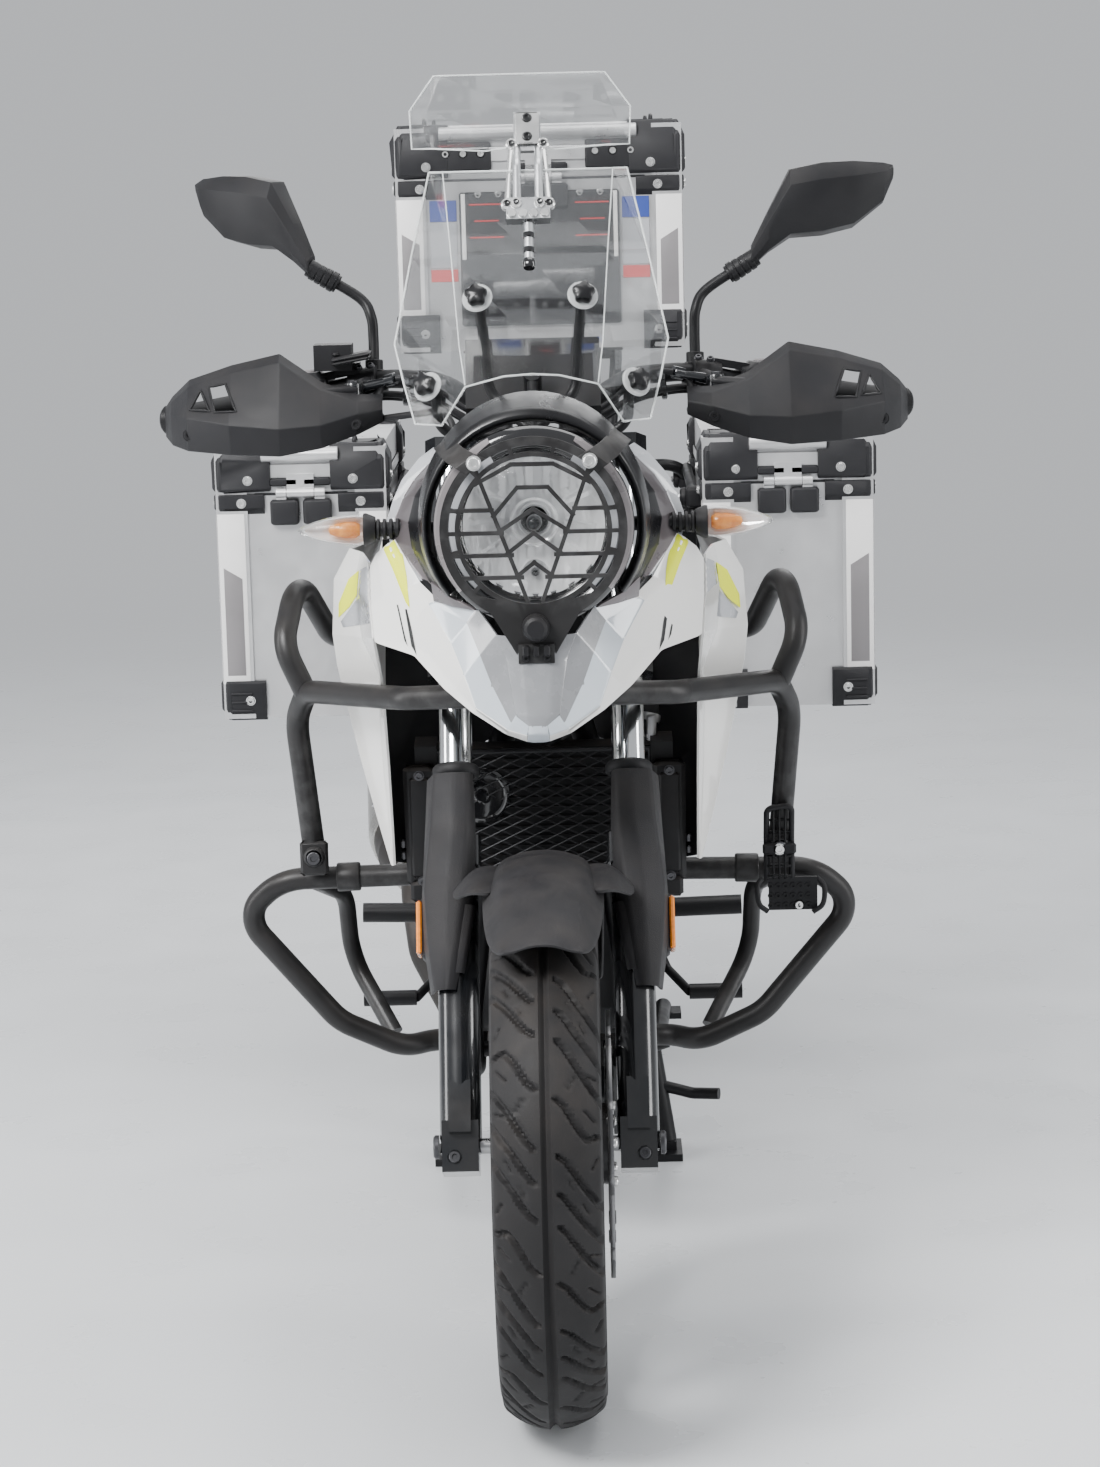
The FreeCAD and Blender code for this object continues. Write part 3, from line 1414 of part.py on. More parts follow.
def deflector_arm():
    """Folding metal arm in front of the screen's top edge, which carries the spoiler."""
    upper = FreeCAD.Placement(at(0, 275.3, 1393), FreeCAD.Rotation(X_AXIS, -23.2))
    lower = FreeCAD.Placement(at(0, 199.3, 1303), FreeCAD.Rotation(X_AXIS, -29.6))
    plate = Part.makeBox(30, 8, 46, V(-15, -8.4, -27))
    plate.Placement = upper
    grip = Part.makeBox(48, 14, 26, V(-24, -14.4, -13))
    grip.Placement = lower
    legs = [tube([upper.multVec(V(x, -5, -22)), lower.multVec(V(x, -8, 58)), lower.multVec(V(x, -8, 8))], 9, 12)
            for x in (-12, 12)]
    tail = rod(lower.multVec(V(0, -7, -8)), lower.multVec(V(0, -7, -60)), 10)
    arm = one_solid([plate, grip, tail] + legs)
    arm.translate(SPOILER_SHIFT)
    return node(formed("spoiler_arm", arm), "deflector_arm")


deflector_arm()


DISPLAY = FreeCAD.Placement(at(0, 196, 1092), FreeCAD.Rotation(X_AXIS, -38))
LAMP_REAR = float(size("lamp_back")) + 92


def fairing_stay():
    """Bracket from the steering head that carries lamp, beak, screen and display."""
    behind = float(stem_behind)
    start = fork_point(0, behind - 38.3, STAY_ALONG)
    neck = tube([start, fork_point(0, behind - 90, STAY_ALONG), at(0, 130, 935), at(0, 96, 930)], 30, 40)
    spine = tube([at(0, 106, 850), at(0, 104, 930), at(0, 150, 1074)], 22, 60)
    pieces = [neck, spine]
    bar_start = at(*CRASH_START)
    bar_axis = (at(*CRASH_SECOND) - bar_start).normalize()
    signal = tube([at(0, 120, 930), at(96, 128, 968), at(141.7, 128, 968)], 16, 30)
    lower = tube([at(0, 106, 852), at(30, 84, 800), bar_start - bar_axis * 30, bar_start - bar_axis * 0.4],
                 16, 30)
    lamp_pad = rod(at(0, LAMP_REAR + 0.3, float(size("lamp_height"))), at(0, 124, float(size("lamp_height"))), 24)
    pieces += [signal, mirrored(signal), lower, mirrored(lower), lamp_pad]
    face = DISPLAY.multVec(V(0, -0.3, 25))
    outward = DISPLAY.Rotation.multVec(V(0, -1, 0))
    pieces += [rod(face, face + outward * 30, 20), rod(at(0, 150, 1070), face + outward * 24, 12)]
    holds = (
        # where the screw meets the sheet, the sheet's slope there, and the arm's first two bends
        (at(112, 131.8, 1121), V(0.454, -0.772, 0.441), at(0, 148, 1066), at(104, 158, 1066)),
        (at(57, 157.4, 1214), V(0.156, -0.851, 0.502), at(0, 148, 1068), at(48, 176, 1110)),
    )
    for point, slope, root, bend in holds:
        bush = rod(point - slope * 6.2, point - slope * 20, 14)
        arm = tube([root, bend, point - slope * 15], 12, 30)
        pieces += [bush, arm, mirrored(bush), mirrored(arm)]
    return node(formed("front_bracket", one_solid(pieces)), "fairing_stay")


fairing_stay()


def instrument():
    """The display behind the screen."""
    case = Part.makeBox(150, 34, 92, V(-75, 0, 0))
    return node(formed("display", case, DISPLAY), "instrument")


instrument()


def indicator_pair(x_lamp, back, height, stem_from):
    """Two turn signals on ribbed stems."""
    profile = [V(0, 0, 0), V(15, 0, 0), V(17, 12, 0), V(15, 46, 0), V(9, 70, 0), V(0, 78, 0)]
    lamp = polygon_face(profile).revolve(V(0, 0, 0), Y_AXIS, 360)
    lamp.Placement = FreeCAD.Placement(at(x_lamp, back, height), FreeCAD.Rotation(Z_AXIS, -90))
    stem = rod(at(stem_from, back, height), at(x_lamp, back, height), 16)
    ribs = []
    for step in range(4):
        x = stem_from + 8 + step * 8
        ribs.append(Part.makeCylinder(11, 4, at(x, back, height), X_AXIS))
    return one_solid([lamp, stem] + ribs)


def indicators():
    front = indicator_pair(184, 128, 968, 142)
    rear = indicator_pair(120, 1636, 840, 60.5)
    pair = [front, mirrored(front), rear, mirrored(rear)]
    return node(formed("turn_signals", Part.makeCompound(pair)), "indicators")


indicators()


def upper_crash_bars():
    """Upper guards: a cross tube from behind the beak, a corner that drops to the lower bar, a bow above."""
    dia = size("guard_tube")
    front = tube([at(*CRASH_START), at(*CRASH_SECOND), at(*CRASH_THIRD), at(292, 372, 716),
                  at(278, 402, 541)], dia, 60)
    bow = tube([at(276, 326, 757), at(300, 326, 812), at(286, 396, 884), at(256, 486, 800),
                at(196, 566, 772), at(150, 590, 768), at(111.6, 590, 768)], dia, 48)
    side = one_solid([front, bow])
    return node(formed("upper_guard_pair", both_sides(side)), "upper_crash_bars")


upper_crash_bars()


def lower_crash_bars():
    """Lower guards: a broad loop each side of the engine with an inner brace."""
    dia = size("guard_tube")
    loop = tube([at(94.9, 421, 516), at(322, 422, 512), at(372, 440, 464), at(258, 430, 332),
                 at(182, 448, 292), at(146, 479, 292), at(115.5, 479, 292)], dia, 70)
    brace = tube([at(282, 428, 508), at(252, 520, 470), at(250, 560, 380), at(196, 500, 296)], dia * 0.8, 60)
    side = one_solid([loop, brace])
    return node(formed("lower_guard_pair", both_sides(side)), "lower_crash_bars")


lower_crash_bars()


def holder_cage():
    """Small open holder clamped to the left guard."""
    dia = 7
    plate = Part.makeBox(58, 5, 40, at(264, 380, 470))
    loop = tube([at(262, 383, 560), at(262, 370, 596), at(292, 370, 600), at(292, 383, 560)], dia, 8)
    posts = [rod(at(x, 383, 508), at(x, 383, 562), dia) for x in (262, 292)]
    clip = Part.makeBox(34, 4.2, 10, at(260, 381, 545.5))
    return node(formed("holder", one_solid([plate, loop, clip] + posts)), "holder_cage")


holder_cage()


def swingarm():
    """Box-section legs from the pivot tube to the rear axle, joined by a bridge ahead of the tyre."""
    pivot_back = float(size("pivot_back"))
    pivot_z = float(size("pivot_height"))
    axle_back = float(size("wheelbase"))
    plane = float(size("arm_plane"))
    x = plane - 12
    side = prism([at(x, pivot_back - 24, pivot_z + 24), at(x, pivot_back + 120, pivot_z + 14),
                  at(x, axle_back + 44, float(rear_z) + 20), at(x, axle_back + 44, float(rear_z) - 20),
                  at(x, axle_back - 60, float(rear_z) - 24), at(x, pivot_back + 100, pivot_z - 40),
                  at(x, pivot_back - 24, pivot_z - 24)], V(22, 0, 0))
    bridge = Part.makeBox(2 * plane, 46, 44, at(-plane, pivot_back + 130, pivot_z - 42))
    solid = one_solid([side, mirrored(side), bridge])
    for z, back, dia in ((pivot_z, pivot_back, 16.6), (float(rear_z), axle_back, 18.6)):
        solid = solid.cut(rod(at(-200, back, z), at(200, back, z), dia))
    return node(formed("rear_fork", solid), "swingarm")


swingarm()

node(cross_rod("pivot_rod", 8, 138, front_y + size("pivot_back"), size("pivot_height")), "pivot_shaft")
node(cross_rod("rear_axle_rod", size("rear_axle_dia") / 2, 142, rear_y, rear_z), "rear_axle")


def rear_shock():
    """Single damper with its coil spring between a frame tube and the swingarm bridge."""
    cross = at(0, 790, 696)
    eye = at(0, 1034, float(size("pivot_height")) + 16.4)
    line = (cross - eye).normalize()
    top = cross - line * (float(size("frame_tube")) / 2 + 0.4)
    lower_eye = Part.makeCylinder(14, 36, eye - V(18, 0, 0), X_AXIS)
    body = rod(eye + line * 8, top - line * 40, 34)
    cap = rod(top - line * 60, top - line * 40, 60)
    foot = rod(eye + line * 30, eye + line * 50, 60)
    neck = rod(top - line * 41, top, 24)
    coil_from, coil_to, coils = 49.0, (top - eye).Length - 59, 7
    pitch = (coil_to - coil_from) / coils
    profile = [V(0, 0, coil_from)]
    for index in range(coils):
        low = coil_from + pitch * index
        profile += [V(21, 0, low), V(28, 0, low + pitch * 0.3)]
        profile += [V(28, 0, low + pitch * 0.6), V(21, 0, low + pitch * 0.9)]
    profile += [V(21, 0, coil_to), V(0, 0, coil_to)]
    spring = polygon_face(profile).revolve(V(0, 0, 0), Z_AXIS, 360)
    spring.Placement = FreeCAD.Placement(eye, FreeCAD.Rotation(Z_AXIS, line))
    return node(formed("damper", one_solid([lower_eye, body, cap, foot, neck, spring])), "rear_shock")


rear_shock()


LINK_PITCH = 15.875


def chain():
    """The drive chain as a closed band round both sprockets, with the outline of its links."""
    plane = float(size("chain_plane"))
    back_radius = float(size("sprocket_radius"))
    front_radius = float(size("front_sprocket_radius"))
    front = V(at(0, 824, 0).y, 400, 0)
    rear = V(float(rear_y), float(rear_z), 0)
    line = rear - front
    lean = math.atan2(line.y, line.x)
    spread = math.asin((back_radius - front_radius) / line.Length)

    def rim(centre, radius, extra, sign):
        angle = lean + sign * (math.pi / 2 + spread)
        reach = radius + extra
        return V(plane - 6, centre.x + reach * math.cos(angle), centre.y + reach * math.sin(angle))

    def loop(extra):
        rear_mid = V(plane - 6, rear.x + (back_radius + extra) * math.cos(lean),
                     rear.y + (back_radius + extra) * math.sin(lean))
        front_mid = V(plane - 6, front.x - (front_radius + extra) * math.cos(lean),
                      front.y - (front_radius + extra) * math.sin(lean))
        up_front, up_rear = rim(front, front_radius, extra, 1), rim(rear, back_radius, extra, 1)
        low_front, low_rear = rim(front, front_radius, extra, -1), rim(rear, back_radius, extra, -1)
        return Part.Wire([
            Part.LineSegment(up_front, up_rear).toShape(),
            Part.Arc(up_rear, rear_mid, low_rear).toShape(),
            Part.LineSegment(low_rear, low_front).toShape(),
            Part.Arc(low_front, front_mid, up_front).toShape(),
        ])

    middle_line = loop(5.5)
    links = int(round(middle_line.Length / LINK_PITCH))
    beads = middle_line.discretize(2 * links + 1)[:-1]
    outline = []
    for index, point in enumerate(beads):
        before, after = beads[index - 1], beads[(index + 1) % len(beads)]
        outward = X_AXIS.cross((after - before).normalize())
        if outward.dot(point - V(plane - 6, (front.x + rear.x) / 2, (front.y + rear.y) / 2)) < 0:
            outward = outward * -1
        outline.append(point + outward * (5.5 if index % 2 else 2.5))
    thick = V(12, 0, 0)
    band = prism(outline, thick).cut(Part.Face(loop(0.4)).extrude(thick))
    return node(formed("chain_band", band), "chain")


chain()


def foot_rests():
    """Rider and pillion pegs on brackets from the frame, with the gear and brake pedals."""
    rider = rod(at(112, 816, 372), at(252, 812, 376), 26)
    hanger = prism([at(108.3, 792, 396), at(108.3, 846, 396), at(108.3, 846, 352), at(108.3, 792, 340)],
                   V(9, 0, 0))
    boss = rod(at(110.5, 804, 354), at(134, 804, 350), 22)
    pedal = tube([at(128, 804, 352), at(150, 760, 304), at(176, 660, 298)], 12, 20)
    pad = rod(at(176, 660, 298), at(244, 660, 298), 20)
    main = one_solid([rider, hanger, boss, pedal, pad])
    arm = tube([at(116.6, 1040, 642), at(136, 1050, 620), at(136, 1072, 478)], 16, 20)
    peg = rod(at(130, 1072, 474), at(214, 1080, 476), 24)
    rear = one_solid([arm, peg])
    pair = [main, mirrored(main), rear, mirrored(rear)]
    return node(formed("foot_rest_pair", Part.makeCompound(pair)), "foot_rests")


foot_rests()


def tail_cowls():
    """Panels under the seat on both sides."""
    rows = (
        # back, then (across, height) of: upper edge, crease, lower edge
        (800, (112, 772), (130, 740), (122, 640)),
        (930, (136, 772), (146, 742), (130, 664)),
        (1110, (144, 802), (148, 776), (130, 744)),
        (1300, (138, 846), (140, 828), (124, 800)),
        (1486, (120, 884), (123, 870), (115, 846)),
    )
    grid = [[at(x, back, z) for x, z in points] for back, *points in rows]
    panel = facet_panel(grid, panel_wall, V(1, 0, 0))
    stud = rod(at(116.6, 1110, 781.8), at(146, 1110, 781.8), 12)
    return node(formed("tail_panel_pair", both_sides(one_solid([panel, stud]))), "tail_cowls")


tail_cowls()


def rear_fender():
    """The tail: an inner guard over the wheel, the plate hanger and a blank plate."""
    spine = facet_panel([[at(-60, 1180, 700), at(60, 1180, 700)], [at(-60, 1400, 800), at(60, 1400, 800)],
                         [at(-60, 1540, 867.1), at(60, 1540, 867.1)], [at(-60, 1640, 842), at(60, 1640, 842)], [at(-52, 1790, 640), at(52, 1790, 640)],
                         [at(-50, 1826, 560), at(50, 1826, 560)]], 4, V(0, 0, 1))
    plate = prism([at(-95, 1800, 700), at(95, 1800, 700), at(95, 1846, 590), at(-95, 1846, 590)],
                  V(0, 3, 1))
    hanger = prism([at(-20, 1784, 664), at(-20, 1820, 656), at(-20, 1826, 636), at(-20, 1792, 632)], V(40, 0, 0))
    return node(formed("rear_guard", one_solid([spine, plate, hanger])), "rear_fender")


rear_fender()


def tail_lamp():
    lamp = prism([at(-64, 1566, 905), at(64, 1566, 905), at(48, 1640, 905), at(-48, 1640, 905)], V(0, 0, -36))
    return node(formed("stop_lamp", lamp), "tail_lamp")


tail_lamp()


def luggage_racks():
    """The carrier behind the seat, the plate for the top case and the side frames of the panniers."""
    dia = size("rack_tube")
    thin = float(dia) - 3
    top = float(size("top_case_foot")) - 14
    side = float(size("pannier_inner") - size("corner_proud") - dia / 2 - gap)
    half_frame = [at(side, 1511, 895.4), at(side, 1560, 840), at(side, 1560, 650), at(side, 1200, 650),
                  at(145, 1068, 560)]
    pieces = [tube([V(-p.x, p.y, p.z) for p in reversed(half_frame)] + half_frame, dia, 36)]
    carrier = tube([at(95, 1466, 881), at(100, 1480, 960), at(110, 1500, top), at(110, 1800, top)], dia, 50)
    tie = rod(at(96, 1510, 895.4), at(100.5, 1484, 965), 11)
    upper = tube([at(side, 1220, 650), at(side, 1230, 880), at(side, 1516, 890)], thin, 40)
    for shape in (carrier, tie, upper):
        pieces += [shape, mirrored(shape)]
    for back, z in ((1520, top), (1790, top), (1484, 980)):
        pieces.append(rod(at(-106, back, z), at(106, back, z), thin))
    pieces.append(Part.makeBox(240, 300, 8 - float(gap), at(-120, 1510, top + 6)))
    return node(formed("rack_frames", one_solid(pieces)), "luggage_racks")


luggage_racks()


# Luggage cases: an open box and a hollow lid that hinges at the front

def case_shell(x_low, width, back, length, low, high, wall, open_top):
    """A sheet box open on one side, with proud corner guards along its four upright edges."""
    proud = float(size("corner_proud"))
    corner = at(x_low, back, low)
    outer = Part.makeBox(width, length, high - low, corner)
    for sx, sy in ((0, 0), (1, 0), (0, 1), (1, 1)):
        guard = Part.makeBox(44, 44, high - low, corner + V(sx * (width - 44) + (proud if sx else -proud),
                                                            sy * (length - 44) + (proud if sy else -proud), 0))
        outer = outer.fuse(guard)
    shift = V(0, 0, wall) if open_top else V(0, 0, -wall)
    hollow = Part.makeBox(width - 2 * wall, length - 2 * wall, high - low, corner + V(wall, wall, 0) + shift)
    return outer.cut(hollow).removeSplitter()


def case_pair(name, x_low, width, back, length, low, seam, lid_height):
    """The box and lid of one case, with the hinge blocks at its front."""
    wall = float(size("case_wall"))
    clear = float(gap)
    pin = at(0, back - 10, seam)
    middle = x_low + width / 2
    box = case_shell(x_low, width, back, length, low, seam, wall, True)
    lid = case_shell(x_low, width, back, length, seam + clear, seam + lid_height, wall, False)
    box_knuckles = []
    for offset in (-34, 20):
        base = Part.makeBox(14, 8, 30, V(middle + offset, pin.y + 2, seam - 32))
        ring = Part.makeCylinder(7, 14, V(middle + offset, pin.y, seam), X_AXIS)
        web = Part.makeBox(14, 6, 26, V(middle + offset, pin.y - 3, seam - 28))
        box_knuckles += [base, ring, web]
    shaft = Part.makeCylinder(3, 54, V(middle - 34, pin.y, seam), X_AXIS)
    box = one_solid([box, shaft] + box_knuckles)
    lid_ring = Part.makeCylinder(7, 38, V(middle - 19, pin.y, seam), X_AXIS)
    lid_web = Part.makeBox(38, 10, 22, V(middle - 19, pin.y, seam + 4))
    bore = Part.makeCylinder(3.3, 80, V(middle - 40, pin.y, seam), X_AXIS)
    lid = one_solid([lid, lid_ring, lid_web]).cut(bore)
    node(formed(name + "_shell", box), name)
    node(formed(name + "_lid_shell", lid), name + "_lid")


def cases():
    inner = float(size("pannier_inner"))
    width = float(size("pannier_width"))
    side_dims = (width, float(size("pannier_back")), float(size("pannier_length")),
                 float(size("pannier_foot")), float(size("pannier_seam")), float(size("pannier_lid")))
    case_pair("left_pannier", inner, *side_dims)
    case_pair("right_pannier", -inner - width, *side_dims)
    top_width = float(size("top_case_width"))
    case_pair("top_case", -top_width / 2, top_width, float(size("top_case_back")),
              float(size("top_case_length")), float(size("top_case_foot")),
              float(size("top_case_seam")), float(size("top_case_lid")))


cases()


def centre_stand():
    """Two splayed legs with flat feet, joined by a cross tube, and a foot lever on the left."""
    pivot_back = float(size("stand_pivot_back"))
    pivot_z = float(size("stand_pivot_height"))
    foot_back = float(size("stand_foot_back"))
    foot_x = float(size("stand_foot_half"))
    legs = []
    for side in (1, -1):
        boss = rod(at(112 * side, pivot_back, pivot_z), at(134 * side, pivot_back, pivot_z), 34)
        leg = tube([at(123 * side, pivot_back, pivot_z), at(126 * side, pivot_back - 12, pivot_z - 110),
                    at(foot_x * side, foot_back, 14)], 28, 60)
        foot = Part.makeBox(40, 74, 10, at(foot_x * side - 20, foot_back - 37, 0))
        heel = Part.makeBox(24, 34, 14, at(foot_x * side - 12, foot_back - 17, 8))
        legs += [boss, leg, foot, heel]
    brace = rod(at(-126, pivot_back - 11, pivot_z - 96), at(126, pivot_back - 11, pivot_z - 96), 26)
    lever = tube([at(140, foot_back + 10, 96), at(186, foot_back + 6, 84), at(222, foot_back - 6, 86)], 16, 20)
    solid = one_solid(legs + [brace, lever])
    hole = rod(at(-160, pivot_back, pivot_z), at(160, pivot_back, pivot_z), 14.6)
    return node(formed("main_stand", solid.cut(hole)), "centre_stand")


centre_stand()

node(cross_rod("stand_rod", 7, 138, front_y + size("stand_pivot_back"), size("stand_pivot_height")),
     "stand_shaft")


def side_stand():
    """The side stand, folded back along the left side."""
    boss = rod(SIDE_PIVOT - SIDE_AXIS * 5, SIDE_PIVOT + SIDE_AXIS * 20, 28)
    leg = tube([SIDE_PIVOT + SIDE_AXIS * 9, at(138, 720, 236), at(146, 850, 228)], 22, 60)
    foot = Part.makeBox(46, 38, 8, at(124, 834, 214))
    solid = one_solid([boss, leg, foot])
    return node(formed("prop_stand", solid), "side_stand")


side_stand()


# Checks and export

doc.recompute()
faults = []
for item in doc.Objects:
    if "Invalid" in item.State or "Error" in item.State:
        faults.append(item.Label + " failed")
for item in nodes:
    if item.Shape.isNull() or not item.Shape.isValid():
        faults.append(item.Label + " has no valid shape")
    elif not item.Shape.Solids:
        faults.append(item.Label + " has no solid")
if faults:
    raise RuntimeError("; ".join(faults))

os.makedirs("parts", exist_ok=True)
for item in nodes:
    item.Shape.exportStep("parts/" + item.Label + ".step")
    print(item.Label, len(item.Shape.Solids), "solids", round(item.Shape.Volume))
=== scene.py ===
"""The looks of the adventure motorcycle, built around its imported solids.

Tables are in millimetres as (across, back, height). Across is to the machine's left, back is the
distance behind the front axle and height is above the floor. Blender objects are in metres.
"""
import json
import math

import bmesh
import bpy
import numpy as np
from mathutils import Matrix, Vector
from mathutils.bvhtree import BVHTree


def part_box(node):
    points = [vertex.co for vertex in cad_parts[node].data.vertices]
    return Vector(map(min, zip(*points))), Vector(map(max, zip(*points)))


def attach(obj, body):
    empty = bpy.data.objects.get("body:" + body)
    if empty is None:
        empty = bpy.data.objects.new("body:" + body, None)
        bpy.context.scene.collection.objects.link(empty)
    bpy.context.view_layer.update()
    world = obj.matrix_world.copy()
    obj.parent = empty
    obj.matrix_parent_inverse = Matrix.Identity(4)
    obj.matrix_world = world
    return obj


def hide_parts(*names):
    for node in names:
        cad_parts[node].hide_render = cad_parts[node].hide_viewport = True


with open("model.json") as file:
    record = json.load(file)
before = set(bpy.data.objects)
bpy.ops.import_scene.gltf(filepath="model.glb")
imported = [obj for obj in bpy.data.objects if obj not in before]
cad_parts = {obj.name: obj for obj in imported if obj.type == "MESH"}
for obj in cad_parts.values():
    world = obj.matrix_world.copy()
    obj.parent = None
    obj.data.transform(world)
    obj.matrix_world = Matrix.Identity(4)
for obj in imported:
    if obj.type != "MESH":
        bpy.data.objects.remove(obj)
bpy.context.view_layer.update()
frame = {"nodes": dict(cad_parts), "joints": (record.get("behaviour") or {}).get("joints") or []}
NODES = frame["nodes"]

MM = 0.001
AXLE_Y = -780.0
WELD_GAP = 2e-6
CREASE_DEGREES, WALL_CREASE_DEGREES, RIM_DEGREES = 28, 7, 62
RIM_ROUNDING, PLATE_ROUNDING = 0.7, 0.3
FILM_WALL = 0.1
PHOTO_WIDTH, PHOTO_HEIGHT = 1100, 1467


def tilted(degrees):
    """A turn about the across axis: positive angles lean a part backwards."""
    return Matrix.Rotation(math.radians(degrees), 3, "X")


def mm(x, y, z):
    return Vector((x, y, z)) * MM


def at(x, back, z):
    return mm(x, AXLE_Y + back, z)


def link_object(item):
    bpy.context.scene.collection.objects.link(item)


def evaluated_mesh(item):
    """The mesh of an object with its modifiers applied."""
    bpy.context.view_layer.update()
    return bpy.data.meshes.new_from_object(item.evaluated_get(bpy.context.evaluated_depsgraph_get()))


def raw_mesh(name, shape):
    mesh = bpy.data.meshes.new(name)
    mesh.from_pydata([tuple(p) for p in shape.points], [], shape.faces)
    return mesh


def weld(mesh, outward=True, gap=0.0):
    """Joins points closer than the gap and turns the faces outward."""
    work = bmesh.new()
    work.from_mesh(mesh)
    if gap:
        bmesh.ops.remove_doubles(work, verts=work.verts, dist=gap)
    if outward:
        bmesh.ops.recalc_face_normals(work, faces=work.faces)
    work.to_mesh(mesh)
    work.free()


# Camera

FOCAL_PIXELS = 3263.0
PITCH, ROLL, YAW = math.radians(10.27), math.radians(1.45), -0.0104
EYE = Vector((0.047, -4.203, 1.380))


def camera_axes():
    """The picture's right, up and backward directions."""
    turn = Matrix.Rotation(-YAW, 3, "Z")
    right = turn @ Vector((1, 0, 0))
    down = turn @ Vector((0, -math.sin(PITCH), -math.cos(PITCH)))
    ahead = turn @ Vector((0, math.cos(PITCH), -math.sin(PITCH)))
    picture_right = right * math.cos(ROLL) + down * math.sin(ROLL)
    picture_down = down * math.cos(ROLL) - right * math.sin(ROLL)
    return picture_right, -picture_down, -ahead


RIGHT, UP, BACKWARD = camera_axes()


def make_camera():
    data = bpy.data.cameras.new("photo_camera")
    data.sensor_fit = "VERTICAL"
    data.sensor_height = 36.0
    data.lens = FOCAL_PIXELS / PHOTO_HEIGHT * data.sensor_height
    camera = bpy.data.objects.new("photo_camera", data)
    link_object(camera)
    axes = Matrix((RIGHT, UP, BACKWARD)).transposed().to_4x4()
    camera.matrix_world = Matrix.Translation(EYE) @ axes
    bpy.context.scene.camera = camera


make_camera()


def sight(px, py):
    """Direction from the eye through a point of the picture."""
    across = (px - PHOTO_WIDTH / 2) / FOCAL_PIXELS
    rise = (PHOTO_HEIGHT / 2 - py) / FOCAL_PIXELS
    return (RIGHT * across + UP * rise - BACKWARD).normalized()


def seen(px, py, back):
    """The point of the upright plane at a distance behind the front axle that shows at a picture point."""
    ray = sight(px, py)
    return EYE + ray * (((AXLE_Y + back) * MM - EYE.y) / ray.y)


# Materials

def add_node(tree, kind, **values):
    item = tree.nodes.new("ShaderNode" + kind)
    for key, value in values.items():
        setattr(item, key, value)
    return item


def material(name, colour, rough=0.5, metal=0.0, vary=0.12, patch=7.0, grain=0.0, grain_scale=900.0,
             dust=0.0, dust_colour=(0.33, 0.28, 0.23), coat=0.0, brushed=None, wear=0.0,
             wear_colour=(0.6, 0.6, 0.6), alpha=1.0, clear=0.0, ior=1.45, sheen=0.0, shine=0.5):
    """A surface with patchy colour and roughness, fine grain, dust on top faces and rubbed edges."""
    made = bpy.data.materials.new(name)
    made.use_nodes = True
    tree = made.node_tree
    tree.nodes.clear()
    link = tree.links.new

    def add(kind, **values):
        return add_node(tree, kind, **values)

    def noise(scale, detail=4.0, stretch=None):
        item = add("TexNoise")
        item.inputs["Scale"].default_value = scale
        item.inputs["Detail"].default_value = detail
        if stretch:
            squeeze = add("Mapping")
            squeeze.inputs["Scale"].default_value = stretch
            link(place.outputs["Object"], squeeze.inputs["Vector"])
            link(squeeze.outputs["Vector"], item.inputs["Vector"])
        else:
            link(place.outputs["Object"], item.inputs["Vector"])
        return item.outputs["Fac"]

    def ranged(source, low, high, to_low, to_high):
        item = add("MapRange")
        for socket, value in zip(("From Min", "From Max", "To Min", "To Max"), (low, high, to_low, to_high)):
            item.inputs[socket].default_value = value
        link(source, item.inputs["Value"])
        return item.outputs["Result"]

    def mixed(share, first, second):
        item = add("Mix", data_type="RGBA")
        link(share, item.inputs[0])
        for socket, value in ((item.inputs[6], first), (item.inputs[7], second)):
            if isinstance(value, tuple):
                socket.default_value = (*value, 1)
            else:
                link(value, socket)
        return item.outputs[2]

    place = add("TexCoord")
    shader = add("BsdfPrincipled")
    output = add("OutputMaterial")
    link(shader.outputs[0], output.inputs["Surface"])
    patches = noise(patch, 5.0)
    light = tuple(min(1.0, c * (1 + vary)) for c in colour)
    dark = tuple(c * (1 - vary) for c in colour)
    tone = mixed(ranged(patches, 0.35, 0.65, 0, 1), dark, light)
    if wear:
        shape = add("NewGeometry")
        edge = ranged(shape.outputs["Pointiness"], 0.515, 0.56, 0, wear)
        chips = add("Math", operation="MULTIPLY")
        link(edge, chips.inputs[0])
        link(ranged(noise(60.0, 6.0), 0.42, 0.6, 0, 1), chips.inputs[1])
        tone = mixed(chips.outputs[0], tone, wear_colour)
    if dust:
        shape = add("NewGeometry")
        split = add("SeparateXYZ")
        link(shape.outputs["Normal"], split.inputs[0])
        settled = add("Math", operation="MULTIPLY")
        link(ranged(split.outputs["Z"], 0.0, 0.9, 0.12, 1), settled.inputs[0])
        link(ranged(noise(22.0, 6.0), 0.38, 0.72, 0, dust), settled.inputs[1])
        tone = mixed(settled.outputs[0], tone, dust_colour)
    link(tone, shader.inputs["Base Color"])
    link(ranged(noise(patch * 4, 5.0), 0.3, 0.7, max(0.02, rough - 0.07), min(1.0, rough + 0.09)),
        shader.inputs["Roughness"])
    if grain or brushed:
        bump = add("Bump")
        bump.inputs["Strength"].default_value = grain or 0.12
        bump.inputs["Distance"].default_value = 0.0006
        link(noise(grain_scale, 2.0, brushed), bump.inputs["Height"])
        link(bump.outputs["Normal"], shader.inputs["Normal"])
    for socket, value in (("Metallic", metal), ("Coat Weight", coat), ("Coat Roughness", 0.06), ("IOR", ior),
                          ("Transmission Weight", clear), ("Alpha", alpha), ("Sheen Weight", sheen),
                          ("Specular IOR Level", shine)):
        shader.inputs[socket].default_value = value
    return made


